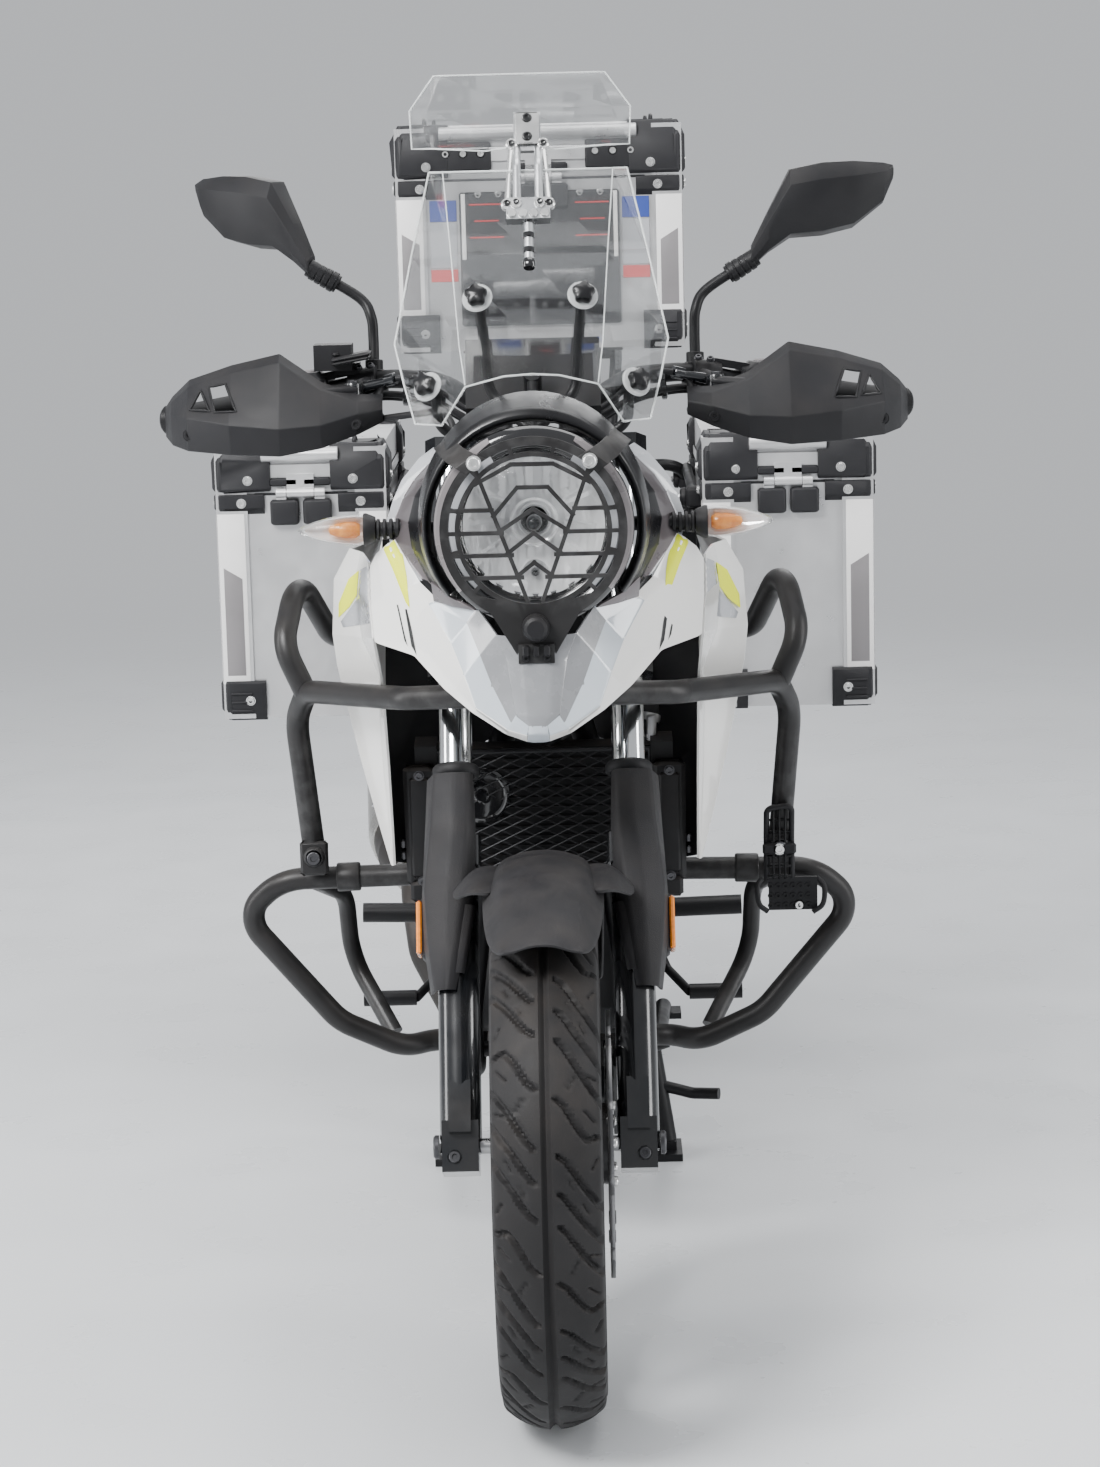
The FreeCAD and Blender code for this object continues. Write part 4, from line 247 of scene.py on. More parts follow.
EARTH = (0.23, 0.16, 0.11)
PALE_DUST = (0.5, 0.47, 0.42)
FINISH = {
    # the slots of the record
    "tyre": material("tyre_rubber", (0.016, 0.0155, 0.016), 0.6, grain=0.25, grain_scale=500, vary=0.25,
                     dust=0.22, dust_colour=(0.10, 0.08, 0.065), shine=0.22),
    "wheel_black": material("wheel_paint", (0.012, 0.012, 0.013), 0.32, 0.2, coat=0.3, dust=0.06,
                            dust_colour=EARTH, vary=0.08),
    "disc_steel": material("disc_ground_steel", (0.20, 0.20, 0.205), 0.36, 1.0, brushed=(1, 30, 30),
                           grain_scale=60, vary=0.06),
    "chrome": material("hard_chrome", (0.78, 0.79, 0.80), 0.07, 1.0, vary=0.03),
    "leg_black": material("fork_leg_paint", (0.009, 0.010, 0.012), 0.2, 0.2, coat=0.6, grain=0.04, dust=0.06),
    "plain_steel": material("bright_steel", (0.45, 0.45, 0.46), 0.3, 1.0, vary=0.15, wear=0.2),
    "bar_black": material("bar_powder_coat", (0.009, 0.009, 0.010), 0.42, 0.1, grain=0.12, grain_scale=1500,
                          shine=0.3),
    "guard_black": material("guard_powder_coat", (0.016, 0.0155, 0.016), 0.38, 0.15, grain=0.2, shine=0.4,
                            grain_scale=1300, vary=0.2, dust=0.05, wear=0.2, wear_colour=(0.1, 0.1, 0.1)),
    "grip_rubber": material("grip_rubber", (0.016, 0.016, 0.017), 0.7, grain=0.3, grain_scale=1600),
    "trim_black": material("moulded_black", (0.011, 0.011, 0.0125), 0.46, grain=0.35, grain_scale=1700,
                           vary=0.18, dust=0.03, shine=0.28),
    "fender_grey": material("grained_guard_plastic", (0.019, 0.0185, 0.020), 0.5, grain=0.7,
                            grain_scale=1100, vary=0.15, patch=9, dust=0.04, shine=0.26),
    "engine_alloy": material("cast_engine_alloy", (0.034, 0.035, 0.037), 0.46, 0.4, grain=0.5,
                             grain_scale=700, vary=0.08, dust=0.04, dust_colour=EARTH),
    "radiator_black": material("radiator_paint", (0.006, 0.006, 0.007), 0.55, 0.3, dust=0.1,
                               dust_colour=EARTH),
    "exhaust_steel": material("exhaust_dark_heat_paint", (0.022, 0.020, 0.019), 0.5, 0.4, vary=0.35, patch=12,
                              dust=0.1, dust_colour=EARTH),
    "tank_black": material("tank_paint", (0.012, 0.012, 0.014), 0.14, coat=1.0, vary=0.08, dust=0.05),
    "seat_black": material("seat_vinyl", (0.018, 0.018, 0.019), 0.55, grain=0.6, grain_scale=750, vary=0.15,
                           sheen=0.15, dust=0.10),
    "body_white": material("white_paint", (0.88, 0.87, 0.84), 0.16, coat=1.0, vary=0.025, patch=5, dust=0.05,
                           dust_colour=PALE_DUST),
    "clear_glass": material("lamp_glass", (0.98, 0.99, 1.0), 0.03, clear=1.0, ior=1.33, alpha=0.16,
                            vary=0.01),
    "clear_screen": material("clear_sheet", (0.90, 0.93, 0.93), 0.04, clear=1.0, ior=1.3, alpha=0.26,
                             vary=0.02),
    "arm_metal": material("satin_alloy", (0.60, 0.61, 0.62), 0.3, 0.9, vary=0.1, grain=0.08, wear=0.2,
                          wear_colour=(0.8, 0.8, 0.8)),
    "lens_clear": material("signal_lens", (0.98, 0.96, 0.94), 0.05, clear=1.0, ior=1.4, alpha=0.3, vary=0.02),
    "lens_red": material("red_lens", (0.55, 0.01, 0.008), 0.12, coat=0.8, vary=0.1),
    "chain_steel": material("chain_plates", (0.16, 0.15, 0.13), 0.4, 0.9, vary=0.3, patch=60, dust=0.2,
                            dust_colour=EARTH),
    "case_alloy": material("case_sheet", (0.62, 0.62, 0.625), 0.33, 0.75, vary=0.08, brushed=(3, 3, 60),
                           grain_scale=25, dust=0.08),
    # further looks, for pieces that are added here
    "gloss": material("gloss_black", (0.008, 0.008, 0.009), 0.1, coat=1.0, vary=0.1),
    "brow": material("satin_brow", (0.006, 0.006, 0.007), 0.3, coat=0.15, vary=0.1, shine=0.35),
    "bezel_grey": material("bezel_grey", (0.24, 0.22, 0.225), 0.3, 0.3, coat=0.5, vary=0.1),
    "gunmetal": material("gunmetal_paint", (0.13, 0.115, 0.12), 0.3, 0.5, coat=0.6, vary=0.1),
    "pale_grey": material("pale_grey_paint", (0.40, 0.41, 0.43), 0.22, coat=1.0, vary=0.03),
    # painted shade: the beak is white paint throughout; its inner facets get a darker cool white and the
    # fields under the lamp a grey, for the shade that falls there
    "cool_white": material("cool_white_painted_shade", (0.50, 0.545, 0.59), 0.16, coat=1.0, vary=0.03),
    "nose_grey": material("nose_grey_painted_shade", (0.22, 0.225, 0.235), 0.25, coat=1.0, vary=0.12, patch=14,
                          dust=0.1, dust_colour=(0.3, 0.3, 0.29)),
    "yellow": material("yellow_film", (0.80, 0.86, 0.012), 0.42, vary=0.05, shine=0.3),
    "line": material("black_film", (0.012, 0.012, 0.012), 0.3, vary=0.1),
    # painted highlight: whitish see-through bars stand in for the bright glint along the polished edges of
    # the clear sheets
    "edge": material("painted_edge_highlight", (0.80, 0.83, 0.82), 0.12, vary=0.04, alpha=0.5, coat=0.5),
    "mirror": material("silvered_glass", (0.85, 0.87, 0.88), 0.02, 1.0, vary=0.01),
    # partly painted reflection: the bowls are real bright chrome, but a near-white base on a mostly non-metal
    # surface makes them read bright from any side, standing in for what they reflect
    "reflector": material("bright_reflector", (0.98, 0.99, 1.0), 0.10, 0.35, vary=0.02, coat=1.0),
    "silver": material("silencer_sheet", (0.50, 0.49, 0.47), 0.28, 1.0, vary=0.1, brushed=(60, 2, 60),
                       grain_scale=30),
    "mesh": material("radiator_mesh", (0.020, 0.020, 0.022), 0.4, 0.4, vary=0.2),
    "amber": material("amber_bulb", (0.95, 0.33, 0.07), 0.1, clear=0.2, vary=0.3, patch=90, alpha=0.72),
    "amber_plate": material("amber_reflector", (0.90, 0.26, 0.02), 0.15, coat=1.0, vary=0.12, patch=200),
    "case_black": material("case_corner_plastic", (0.018, 0.018, 0.020), 0.42, grain=0.3, grain_scale=1300,
                           shine=0.3),
    "sticker_white": material("white_film", (0.80, 0.79, 0.78), 0.35, vary=0.04),
    "sticker_grey": material("grey_film", (0.20, 0.19, 0.195), 0.4, vary=0.1),
    "dark_bolt": material("dark_zinc_bolt", (0.075, 0.075, 0.08), 0.34, 0.8, vary=0.1),
    "washer": material("clear_washer", (0.92, 0.94, 0.94), 0.06, vary=0.02, alpha=0.3, coat=0.5),
    "rivet": material("bright_rivet", (0.75, 0.75, 0.74), 0.25, 0.9, vary=0.05),
    "red": material("red_film", (0.60, 0.03, 0.03), 0.35, vary=0.08),
    "blue": material("blue_film", (0.04, 0.07, 0.30), 0.35, vary=0.08),
    "panel": material("display_glass", (0.01, 0.012, 0.014), 0.05, coat=1.0, vary=0.1),
    "thread": material("seam_thread", (0.05, 0.05, 0.052), 0.6, vary=0.1),
}


def paint_nodes():
    """Every solid that stays gets the full material of its slot."""
    for item in NODES.values():
        for place in item.material_slots:
            slot = place.material.name.split(".")[0]
            place.material = FINISH[slot]


paint_nodes()


# Shapes

class Shape:
    """Points and faces of one piece, gathered before it becomes an object. Points are in metres."""

    def __init__(self):
        self.points = []
        self.faces = []

    def add(self, points, faces):
        start = len(self.points)
        self.points += [Vector(p) for p in points]
        self.faces += [[start + i for i in face] for face in faces]

    def rings(self, rings, closed=False, caps=True):
        """Skin over rings that all have the same number of points."""
        count = len(rings[0])
        faces = []
        total = len(rings)
        for row in range(total if closed else total - 1):
            here, there = row * count, (row + 1) % total * count
            for i in range(count):
                j = (i + 1) % count
                faces.append((here + i, here + j, there + j, there + i))
        if caps and not closed:
            faces.append(tuple(reversed(range(count))))
            faces.append(tuple(range((total - 1) * count, total * count)))
        self.add([p for ring in rings for p in ring], faces)

    def turned(self, profile, origin, axis, steps=48, closed=False):
        """A lathe shape. The profile holds (radius, distance along the axis) in millimetres."""
        axis = Vector(axis).normalized()
        first = axis.orthogonal().normalized()
        second = axis.cross(first)
        rings = []
        for angle in turns(steps):
            out = first * math.cos(angle) + second * math.sin(angle)
            rings.append([origin + (out * radius + axis * along) * MM for radius, along in profile])
        count = len(profile)
        faces = []
        for step in range(steps):
            here, there = step * count, (step + 1) % steps * count
            for i in range(count if closed else count - 1):
                j = (i + 1) % count
                faces.append((here + i, there + i, there + j, here + j))
        self.add([p for ring in rings for p in ring], faces)

    def rod(self, start, end, radius, steps=20, radius_end=None):
        start, end = Vector(start), Vector(end)
        length = (end - start).length / MM
        last = radius if radius_end is None else radius_end
        rim = min(0.8, radius * 0.2, length * 0.2)
        self.turned([(0, 0), (radius - rim, 0), (radius, rim), (last, length - rim), (last - rim, length),
            (0, length)], start, end - start, steps)

    def hose(self, points, radius, steps=14, closed=False):
        """A round bar along a fine row of points."""
        points = [Vector(p) for p in points]
        count = len(points)
        rings = []
        normal = None
        for i, point in enumerate(points):
            before = points[i - 1] if i or closed else points[0]
            after = points[(i + 1) % count] if i + 1 < count or closed else points[-1]
            along = (after - before).normalized()
            normal = along.orthogonal() if normal is None else normal - along * normal.dot(along)
            normal.normalize()
            side = along.cross(normal)
            rings.append([point + (normal * math.cos(a) + side * math.sin(a)) * radius * MM
                for a in turns(steps)])
        self.rings(rings, closed)

    def bent(self, points, radius, steps=14, fine=6):
        """A round bar along a smooth curve through a few points."""
        self.hose(smooth_row(points, fine), radius, steps)

    def block(self, centre, size, turn=None, cut=1.5):
        """A box with chamfered edges. The size is in millimetres."""
        turn = turn or Matrix.Identity(3)
        half = Vector(size) / 2
        cut = min(cut, min(half) * 0.8)
        sections = ((-half.z, cut), (-half.z + cut, 0), (half.z - cut, 0), (half.z, cut))
        rings = []
        for z, inset in sections:
            x, y = half.x - inset, half.y - inset
            corners = [(x - cut, y), (-x + cut, y), (-x, y - cut), (-x, -y + cut), (-x + cut, -y),
                (x - cut, -y), (x, -y + cut), (x, y - cut)]
            rings.append([centre + turn @ Vector((px, py, z)) * MM for px, py in corners])
        self.rings([list(reversed(ring)) for ring in rings])

    def hull(self, points):
        """The closed skin round a handful of points."""
        mesh = bmesh.new()
        for point in points:
            mesh.verts.new(point)
        bmesh.ops.convex_hull(mesh, input=mesh.verts)
        loose = [v for v in mesh.verts if not v.link_faces]
        bmesh.ops.delete(mesh, geom=loose, context="VERTS")
        bmesh.ops.dissolve_limit(mesh, angle_limit=0.02, verts=mesh.verts, edges=mesh.edges)
        mesh.verts.index_update()
        self.add([v.co for v in mesh.verts], [[v.index for v in f.verts] for f in mesh.faces])
        mesh.free()

    def bolt(self, point, direction, radius=5.0, head=3.5):
        """A round screw head with a socket."""
        self.turned([(0, head - 2), (radius * 0.45, head - 2), (radius * 0.5, head), (radius * 0.88, head),
            (radius, head - 0.8), (radius, 0), (radius * 1.25, 0), (radius * 1.25, -0.8), (0, -0.8)],
            Vector(point), direction, 18)

    def mirrored(self):
        """The same again on the other side of the centre plane."""
        start = len(self.points)
        self.points += [Vector((-p.x, p.y, p.z)) for p in self.points]
        self.faces += [[start + i for i in reversed(face)] for face in list(self.faces)]
        return self


def shapes(count):
    return [Shape() for _ in range(count)]


def polar(reach, angle):
    return reach * math.cos(angle), reach * math.sin(angle)


def turns(count, shift=0.0):
    """Even angles round a circle, the shift in shares of a step."""
    return [math.tau * (k + shift) / count for k in range(count)]


def cutter(shape):
    """A solid to be taken out of a piece."""
    mesh = raw_mesh("cutter", shape)
    weld(mesh)
    item = bpy.data.objects.new("cutter", mesh)
    link_object(item)
    return item


def piece(name, shape, finish, replaced=(), body="chassis", slot=None, smooth=38, bevel=0.0, levels=0,
          wall=0.0, zones=None, cut=None):
    """Makes the object, rides it on its body and hides the imported parts it takes the place of."""
    mesh = raw_mesh(name, shape)
    mesh.update()
    for look in [finish] + (zones[0] if zones else []):
        mesh.materials.append(FINISH[look])
    if zones:
        mesh.polygons.foreach_set("material_index", zones[1])
    item = bpy.data.objects.new(name, mesh)
    link_object(item)
    weld(mesh, not wall, WELD_GAP)
    tool = cutter(cut) if cut else None
    if levels:
        soft = item.modifiers.new("Smooth", "SUBSURF")
        soft.levels = soft.render_levels = levels
    if bevel:
        edge = item.modifiers.new("Bevel", "BEVEL")
        edge.width = bevel * MM
        edge.segments = 3
        edge.limit_method = "ANGLE"
        edge.angle_limit = math.radians(WALL_CREASE_DEGREES if wall else CREASE_DEGREES)
    if wall:
        thick = item.modifiers.new("Wall", "SOLIDIFY")
        thick.thickness = wall * MM
        thick.offset = -1
        rim = item.modifiers.new("Rim", "BEVEL")
        rim.width = RIM_ROUNDING * MM
        rim.segments = 2
        rim.limit_method = "ANGLE"
        rim.angle_limit = math.radians(RIM_DEGREES)
    if tool:
        opening = item.modifiers.new("Opening", "BOOLEAN")
        opening.operation = "DIFFERENCE"
        opening.solver = "EXACT"
        opening.object = tool
    if item.modifiers:
        final = evaluated_mesh(item)
        item.modifiers.clear()
        item.data = final
    if tool:
        bpy.data.objects.remove(tool)
    item.data.polygons.foreach_set("use_smooth", [True] * len(item.data.polygons))
    item.data.set_sharp_from_angle(angle=math.radians(smooth))
    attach(item, body)
    if replaced:
        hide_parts(*replaced)
    return item


def grid_faces(rows, columns):
    starts = [r * columns + c for r in range(rows - 1) for c in range(columns - 1)]
    return [(k, k + 1, k + columns + 1, k + columns) for k in starts]


def sheet_shape(rows, outward):
    """An open skin over a table of points, turned so that its faces look outward."""
    shape = Shape()
    points = [Vector(p) for row in rows for p in row]
    faces = grid_faces(len(rows), len(rows[0]))
    normal = Vector()
    for face in faces:
        a, b, c = (points[i] for i in face[:3])
        normal += (b - a).cross(c - a)
    if normal.dot(Vector(outward)) < 0:
        faces = [tuple(reversed(face)) for face in faces]
    shape.add(points, faces)
    return shape


def smooth_row(points, steps, closed=False):
    """A finer row of points on a curve through the given ones."""
    points = [Vector(p) for p in points]
    count = len(points)
    result = []
    for i in range(count if closed else count - 1):
        p1, p2 = points[i], points[(i + 1) % count]
        p0 = points[i - 1] if i or closed else p1 * 2 - p2
        p3 = points[(i + 2) % count] if closed or i + 2 < count else p2 * 2 - p1
        for step in range(steps):
            t = step / steps
            result.append(0.5 * (2 * p1 + (p2 - p0) * t + (2 * p0 - 5 * p1 + 4 * p2 - p3) * t * t
                + (3 * p1 - p0 - 3 * p2 + p3) * t ** 3))
    if not closed:
        result.append(points[-1])
    return result


def flat_plate(loops, thickness, frame_matrix):
    """A plate with holes: the first loop is its outline. Loops are (u, v) in millimetres."""
    curve = bpy.data.curves.new("outline", "CURVE")
    curve.dimensions = "2D"
    curve.fill_mode = "BOTH"
    curve.extrude = (thickness / 2 - PLATE_ROUNDING) * MM
    curve.bevel_depth = PLATE_ROUNDING * MM
    curve.bevel_resolution = 1
    for loop in loops:
        line = curve.splines.new("POLY")
        line.points.add(len(loop) - 1)
        for point, (u, v) in zip(line.points, loop):
            point.co = (u * MM, v * MM, 0, 1)
        line.use_cyclic_u = True
    holder = bpy.data.objects.new("outline", curve)
    link_object(holder)
    mesh = evaluated_mesh(holder)
    shape = Shape()
    shape.add([frame_matrix @ v.co for v in mesh.vertices], [list(p.vertices) for p in mesh.polygons])
    bpy.data.objects.remove(holder)
    bpy.data.curves.remove(curve)
    bpy.data.meshes.remove(mesh)
    return shape


def circle(radius, steps=24, u=0.0, v=0.0):
    return [(u + a, v + b) for a, b in (polar(radius, angle) for angle in turns(steps))]


def skin_tree(*items):
    """A search tree over the meshes of some objects, in metres."""
    points, faces = [], []
    for item in items:
        start = len(points)
        points += [v.co.copy() for v in item.data.vertices]
        faces += [[start + i for i in p.vertices] for p in item.data.polygons]
    return BVHTree.FromPolygons(points, faces)


FILM_EDGE = 5.0


def film(outline, tree, lift=0.35):
    """A thin film laid on a skin: its outline is in picture points."""
    work = bmesh.new()
    face = work.faces.new([work.verts.new((px, py, 0)) for px, py in outline])
    bmesh.ops.triangulate(work, faces=[face])
    for _ in range(7):
        long_edges = [e for e in work.edges if e.calc_length() > FILM_EDGE]
        if not long_edges:
            break
        bmesh.ops.subdivide_edges(work, edges=long_edges, cuts=1)
        bmesh.ops.triangulate(work, faces=[f for f in work.faces if len(f.verts) > 3])
    shape = Shape()
    points, missed = [], set()
    for index, vert in enumerate(work.verts):
        vert.index = index
        ray = sight(vert.co.x, vert.co.y)
        hit, normal, _, _ = tree.ray_cast(EYE, ray)
        if hit is None:
            missed.add(index)
            points.append(Vector())
            continue
        if normal.dot(ray) > 0:
            normal = -normal
        points.append(hit + normal * lift * MM)
    faces = [[v.index for v in f.verts] for f in work.faces if not missed & {v.index for v in f.verts}]
    work.free()
    used = sorted({i for face in faces for i in face})
    order = {old: new for new, old in enumerate(used)}
    shape.add([points[i] for i in used], [[order[i] for i in face] for face in faces])
    return shape


# Tyres

GROOVES = (
    # one repeat of the left half: points as (share of the repeat, distance from the middle line)
    ((0.02, 52), (0.00, 42), (0.05, 34), (0.12, 26), (0.19, 18), (0.22, 11)),
    ((0.18, 60), (0.30, 44), (0.40, 32), (0.50, 20), (0.54, 13)),
    ((0.38, 60), (0.50, 44), (0.60, 30), (0.68, 20), (0.72, 13)),
    ((0.58, 60), (0.70, 44), (0.80, 31), (0.88, 21), (0.92, 12)),
)
SIPES = (
    # short narrow cuts, in the same terms
    ((0.10, 50), (0.16, 40)),
    ((0.27, 22), (0.34, 30)),
    ((0.34, 52), (0.36, 42)),
    ((0.52, 46), (0.46, 52)),
    ((0.60, 42), (0.66, 36)),
    ((0.74, 26), (0.80, 22)),
    ((0.84, 46), (0.90, 52)),
)


def cut_depth(arc, across, lines, width, depth, period):
    """How far the tread is cut at each point by a set of lines that repeats round the tyre."""
    result = np.zeros_like(arc)
    for line in lines:
        points = [(share * period, distance) for share, distance in line]
        for (a0, b0), (a1, b1) in zip(points[:-1], points[1:]):
            for shift in (-period, 0.0, period):
                da, db = a1 - a0, b1 - b0
                length = da * da + db * db
                t = np.clip(((arc - a0 - shift) * da + (across - b0) * db) / length, 0, 1)
                gap = np.hypot(arc - a0 - shift - t * da, across - b0 - t * db)
                cut = np.clip((width / 2 + 0.9 - gap) / 1.1, 0, 1) * depth
                result = np.maximum(result, cut)
    return result


def middle_of(node):
    low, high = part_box(node)
    return (low + high) / 2


def node_end(node, axis):
    """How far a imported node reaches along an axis, in millimetres."""
    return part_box(node)[1][axis] / MM


TREAD_STEPS = 92


def tyre(name, radius, width, rim_width, repeats):
    """A tyre with a centre groove, slanted grooves and fine cuts, and a plain wall with raised rings."""
    bead = 219.0
    half = width / 2
    seat = rim_width / 2 - 5.4
    tread = half - 3
    shoulder, bulge = radius - 24, radius - 52
    outer = [(seat, bead), (seat + 0.6, bead + 13), (half - 9, bead + 19), (half - 3, bead + 30),
        (half, bulge), (half, bulge + 14), (tread + 1, shoulder), (tread * 0.88, radius - 16.5),
        (tread * 0.66, radius - 9), (tread * 0.33, radius - 2.2), (0, radius)]
    outer += [(-x, r) for x, r in reversed(outer[:-1])]
    fine = smooth_row([(x, r, 0) for x, r in outer], 6)
    inner = [(half - 7, bulge), (half - 8, shoulder - 6), (tread * 0.6, radius - 16), (0, radius - 10)]
    inner += [(-x, r) for x, r in reversed(inner[:-1])]
    inner = [(seat - 6, bead)] + inner + [(6 - seat, bead)]
    profile = np.array([(p.x, p.y) for p in fine])
    ring = (np.abs(profile[:, 1] - (bulge + 16)) < 6) | (np.abs(profile[:, 1] - (bead + 27)) < 5)
    profile = profile[ring | (profile[:, 1] > shoulder - 12) | (np.arange(len(profile)) % 3 == 0)]
    steps = repeats * TREAD_STEPS
    circumference = math.tau * radius
    period = circumference / repeats
    around = (np.arange(steps) + 0.5) / steps * circumference
    x = profile[:, 0]
    arc, across = np.meshgrid(np.mod(around, period), x, indexing="ij")
    halves = ((arc, across), (np.mod(period - arc + period / 2, period), -across))
    cuts = ((GROOVES, 4.6, 5.0), (SIPES, 1.8, 2.4))
    left, right = [np.maximum(*[cut_depth(a, b, lines, wide, deep, period) for lines, wide, deep in cuts])
        for a, b in halves]
    depth = np.where(across > 4, left, np.where(across < -4, right, 0))
    depth = np.maximum(depth, np.clip((3.9 - np.abs(across)) / 1.4, 0, 1) * 5.5)
    on_tread = np.clip((np.minimum(profile[:, 1] - shoulder, 100) + 12) / 9, 0, 1)
    depth *= on_tread[None, :]
    wall_ring = (0.9 * (np.abs(profile[:, 1] - (bulge + 16)) < 2.5)
        + 0.9 * (np.abs(profile[:, 1] - (bead + 27)) < 2))
    tangent = np.gradient(profile, axis=0)
    tangent /= np.linalg.norm(tangent, axis=1)[:, None]
    normal = np.stack([-tangent[:, 1], tangent[:, 0]], axis=1)
    normal *= np.where((normal * np.stack([x, profile[:, 1] - bulge], 1)).sum(1) < 0, -1, 1)[:, None]
    offset = wall_ring[None, :] - depth
    px = profile[None, :, 0] + normal[None, :, 0] * offset
    pr = profile[None, :, 1] + normal[None, :, 1] * offset
    back = np.array(inner[::-1])
    px = np.concatenate([px, np.repeat(back[None, :, 0], steps, 0)], axis=1)
    pr = np.concatenate([pr, np.repeat(back[None, :, 1], steps, 0)], axis=1)
    turn = (np.arange(steps) + 0.5) / steps * math.tau
    middle = middle_of(name)
    points = np.stack([px * MM + middle.x, middle.y - pr * MM * np.sin(turn)[:, None],
        middle.z - pr * MM * np.cos(turn)[:, None]], axis=2).reshape(-1, 3)
    count = px.shape[1]
    row = np.arange(steps)[:, None] * count
    nxt = (np.arange(steps)[:, None] + 1) % steps * count
    column = np.arange(count)[None, :]
    after = (np.arange(count)[None, :] + 1) % count
    faces = np.stack([row + column, row + after, nxt + after, nxt + column], axis=2).reshape(-1, 4)
    shape = Shape()
    shape.points = points.tolist()
    shape.faces = faces.tolist()
    body = name.replace("tyre", "wheel_set")
    return piece(name + "_treaded", shape, "tyre", (name,), body=body, smooth=50)


tyre("front_tyre", 304, 112, 76, 10)
tyre("rear_tyre", 314, 140, 102, 10)


# Body panels

def both(rows):
    """Rows of (across, back, height), as points on the left side."""
    return [[at(*point) for point in row] for row in rows]


def moulded(name, rows, outward, finish, replaced=(), mirror=True, zones=None, smooth=30, bevel=4.0, wall=3.0,
            **options):
    """A moulded panel: flat fields with softened creases and an even wall.

    Zones are (finishes, rule): the rule says from row and column which finish a field takes, 0 for the first.
    """
    shape = sheet_shape(rows, outward)
    if mirror:
        shape.mirrored()
    if zones:
        finishes, rule = zones
        fields = [rule(r, c) for r in range(len(rows) - 1) for c in range(len(rows[0]) - 1)]
        zones = (finishes, fields * (2 if mirror else 1))
    return piece(name, shape, finish, replaced, smooth=smooth, bevel=bevel, wall=wall, zones=zones, **options)


CHEEK = (
    # rows downwards: outer edge, outer crease, ridge, inner crease, inner edge
    ((184, 152, 925), (176, 138, 940), (162, 120, 953), (158, 121, 955), (154, 122, 957)),
    ((183, 132, 886), (168, 112, 898), (140, 84, 908), (133, 84, 912), (126, 80, 915)),
    ((179, 108, 846), (150, 82, 850), (116, 42, 896), (110, 36, 899), (104, 30, 901)),
    ((134, 60, 838), (118, 44, 842), (92, 10, 858), (74, 6, 880), (62, -2, 896)),
    ((100, 12, 808), (88, -2, 812), (78, -22, 828), (60, -26, 850), (42, -32, 872)),
    ((70, -22, 788), (64, -32, 791), (66, -42, 796), (48, -40, 820), (32, -40, 846)),
    ((34, -46, 768), (32, -54, 771), (32, -66, 776), (28, -66, 783), (23, -66, 791)),
    ((12, -58, 762), (12, -60, 764), (12, -69, 770), (11, -70, 776), (10, -71, 781)),
)
NOSE = (
    # rows downwards: right edge, right crease, left crease, left edge
    ((-42, -32, 872), (-20, -42, 871), (20, -42, 871), (42, -32, 872)),
    ((-32, -40, 846), (-16, -50, 845), (16, -50, 845), (32, -40, 846)),
    ((-23, -66, 791), (-12, -71, 790), (12, -71, 790), (23, -66, 791)),
    ((-10, -71, 781), (-6, -72, 780), (6, -72, 780), (10, -71, 781)),
    ((-11, -69, 772), (-6, -71, 772), (6, -71, 772), (11, -69, 772)),
    ((-12, -58, 762), (-6, -59, 761), (6, -59, 761), (12, -58, 762)),
)
# per row of the nose: 0 for the grey painted shade under the lamp, 1 for the lighter cool-white painted shade
# lower down
NOSE_SHADE_ROWS = (0, 0, 0, 1, 1)


def cheek_field(row, column):
    """Which finish a field of the cheek takes: a cool-white painted shade inside the ridge, and a darker grey
    painted shade beside the nose.
    """
    if column == 3 and row > 2:
        return 2 if row < 6 else 1
    return int(column > 1 and row > 1)


# the cool-white and grey fields of the cheeks and nose are painted shade on the white beak
cheeks = moulded("beak_cheeks", both(CHEEK), (0.3, -1, -0.2), "body_white", ("beak",),
    zones=(["cool_white", "nose_grey"], cheek_field), bevel=2.0, smooth=14)
moulded("beak_nose", both(NOSE), (0, -1, 0), "nose_grey", mirror=False,
    zones=(["cool_white"], lambda row, column: NOSE_SHADE_ROWS[row]), smooth=24, bevel=2.5)
SIDE_TRIANGLE = (
    # rows outwards along the lamp's lower side: lower edge, upper edge
    ((64, -4, 894), (68, -4, 897)),
    ((88, 14, 896), (92, 8, 908)),
    ((110, 34, 900), (112, 26, 922)),
)
moulded("lamp_side_triangles", both(SIDE_TRIANGLE), (0.3, -1, 0), "gunmetal", bevel=1.5)
LAMP_FLANK = (
    # rows upwards beside the lamp: outer edge, strip edge, inner crease, edge at the lamp
    ((104, 32, 901), (103, 34, 903), (98, 34, 903), (92, 24, 901)),
    ((126, 82, 915), (124, 84, 918), (114, 72, 915), (104, 40, 910)),
    ((160, 124, 955), (156, 124, 956), (134, 96, 950), (114, 52, 944)),
    ((163, 142, 977), (154, 140, 977), (138, 106, 976), (116, 56, 976)),
    ((156, 147, 998), (143, 142, 1002), (130, 104, 1006), (114, 60, 1004)),
    ((146, 152, 1019), (131, 144, 1020), (116, 104, 1026), (106, 62, 1030)),
    ((126, 152, 1043), (112, 138, 1040), (98, 100, 1042), (90, 64, 1050)),
    ((110, 152, 1054), (99, 132, 1050), (84, 98, 1056), (72, 66, 1064)),
)
moulded("lamp_flanks", both(LAMP_FLANK), (0.6, -1, 0), "pale_grey", bevel=2.0,
    zones=(["brow", "gunmetal"], lambda row, column: (0, 2, 1)[column] if row > 0 else 1), smooth=30)

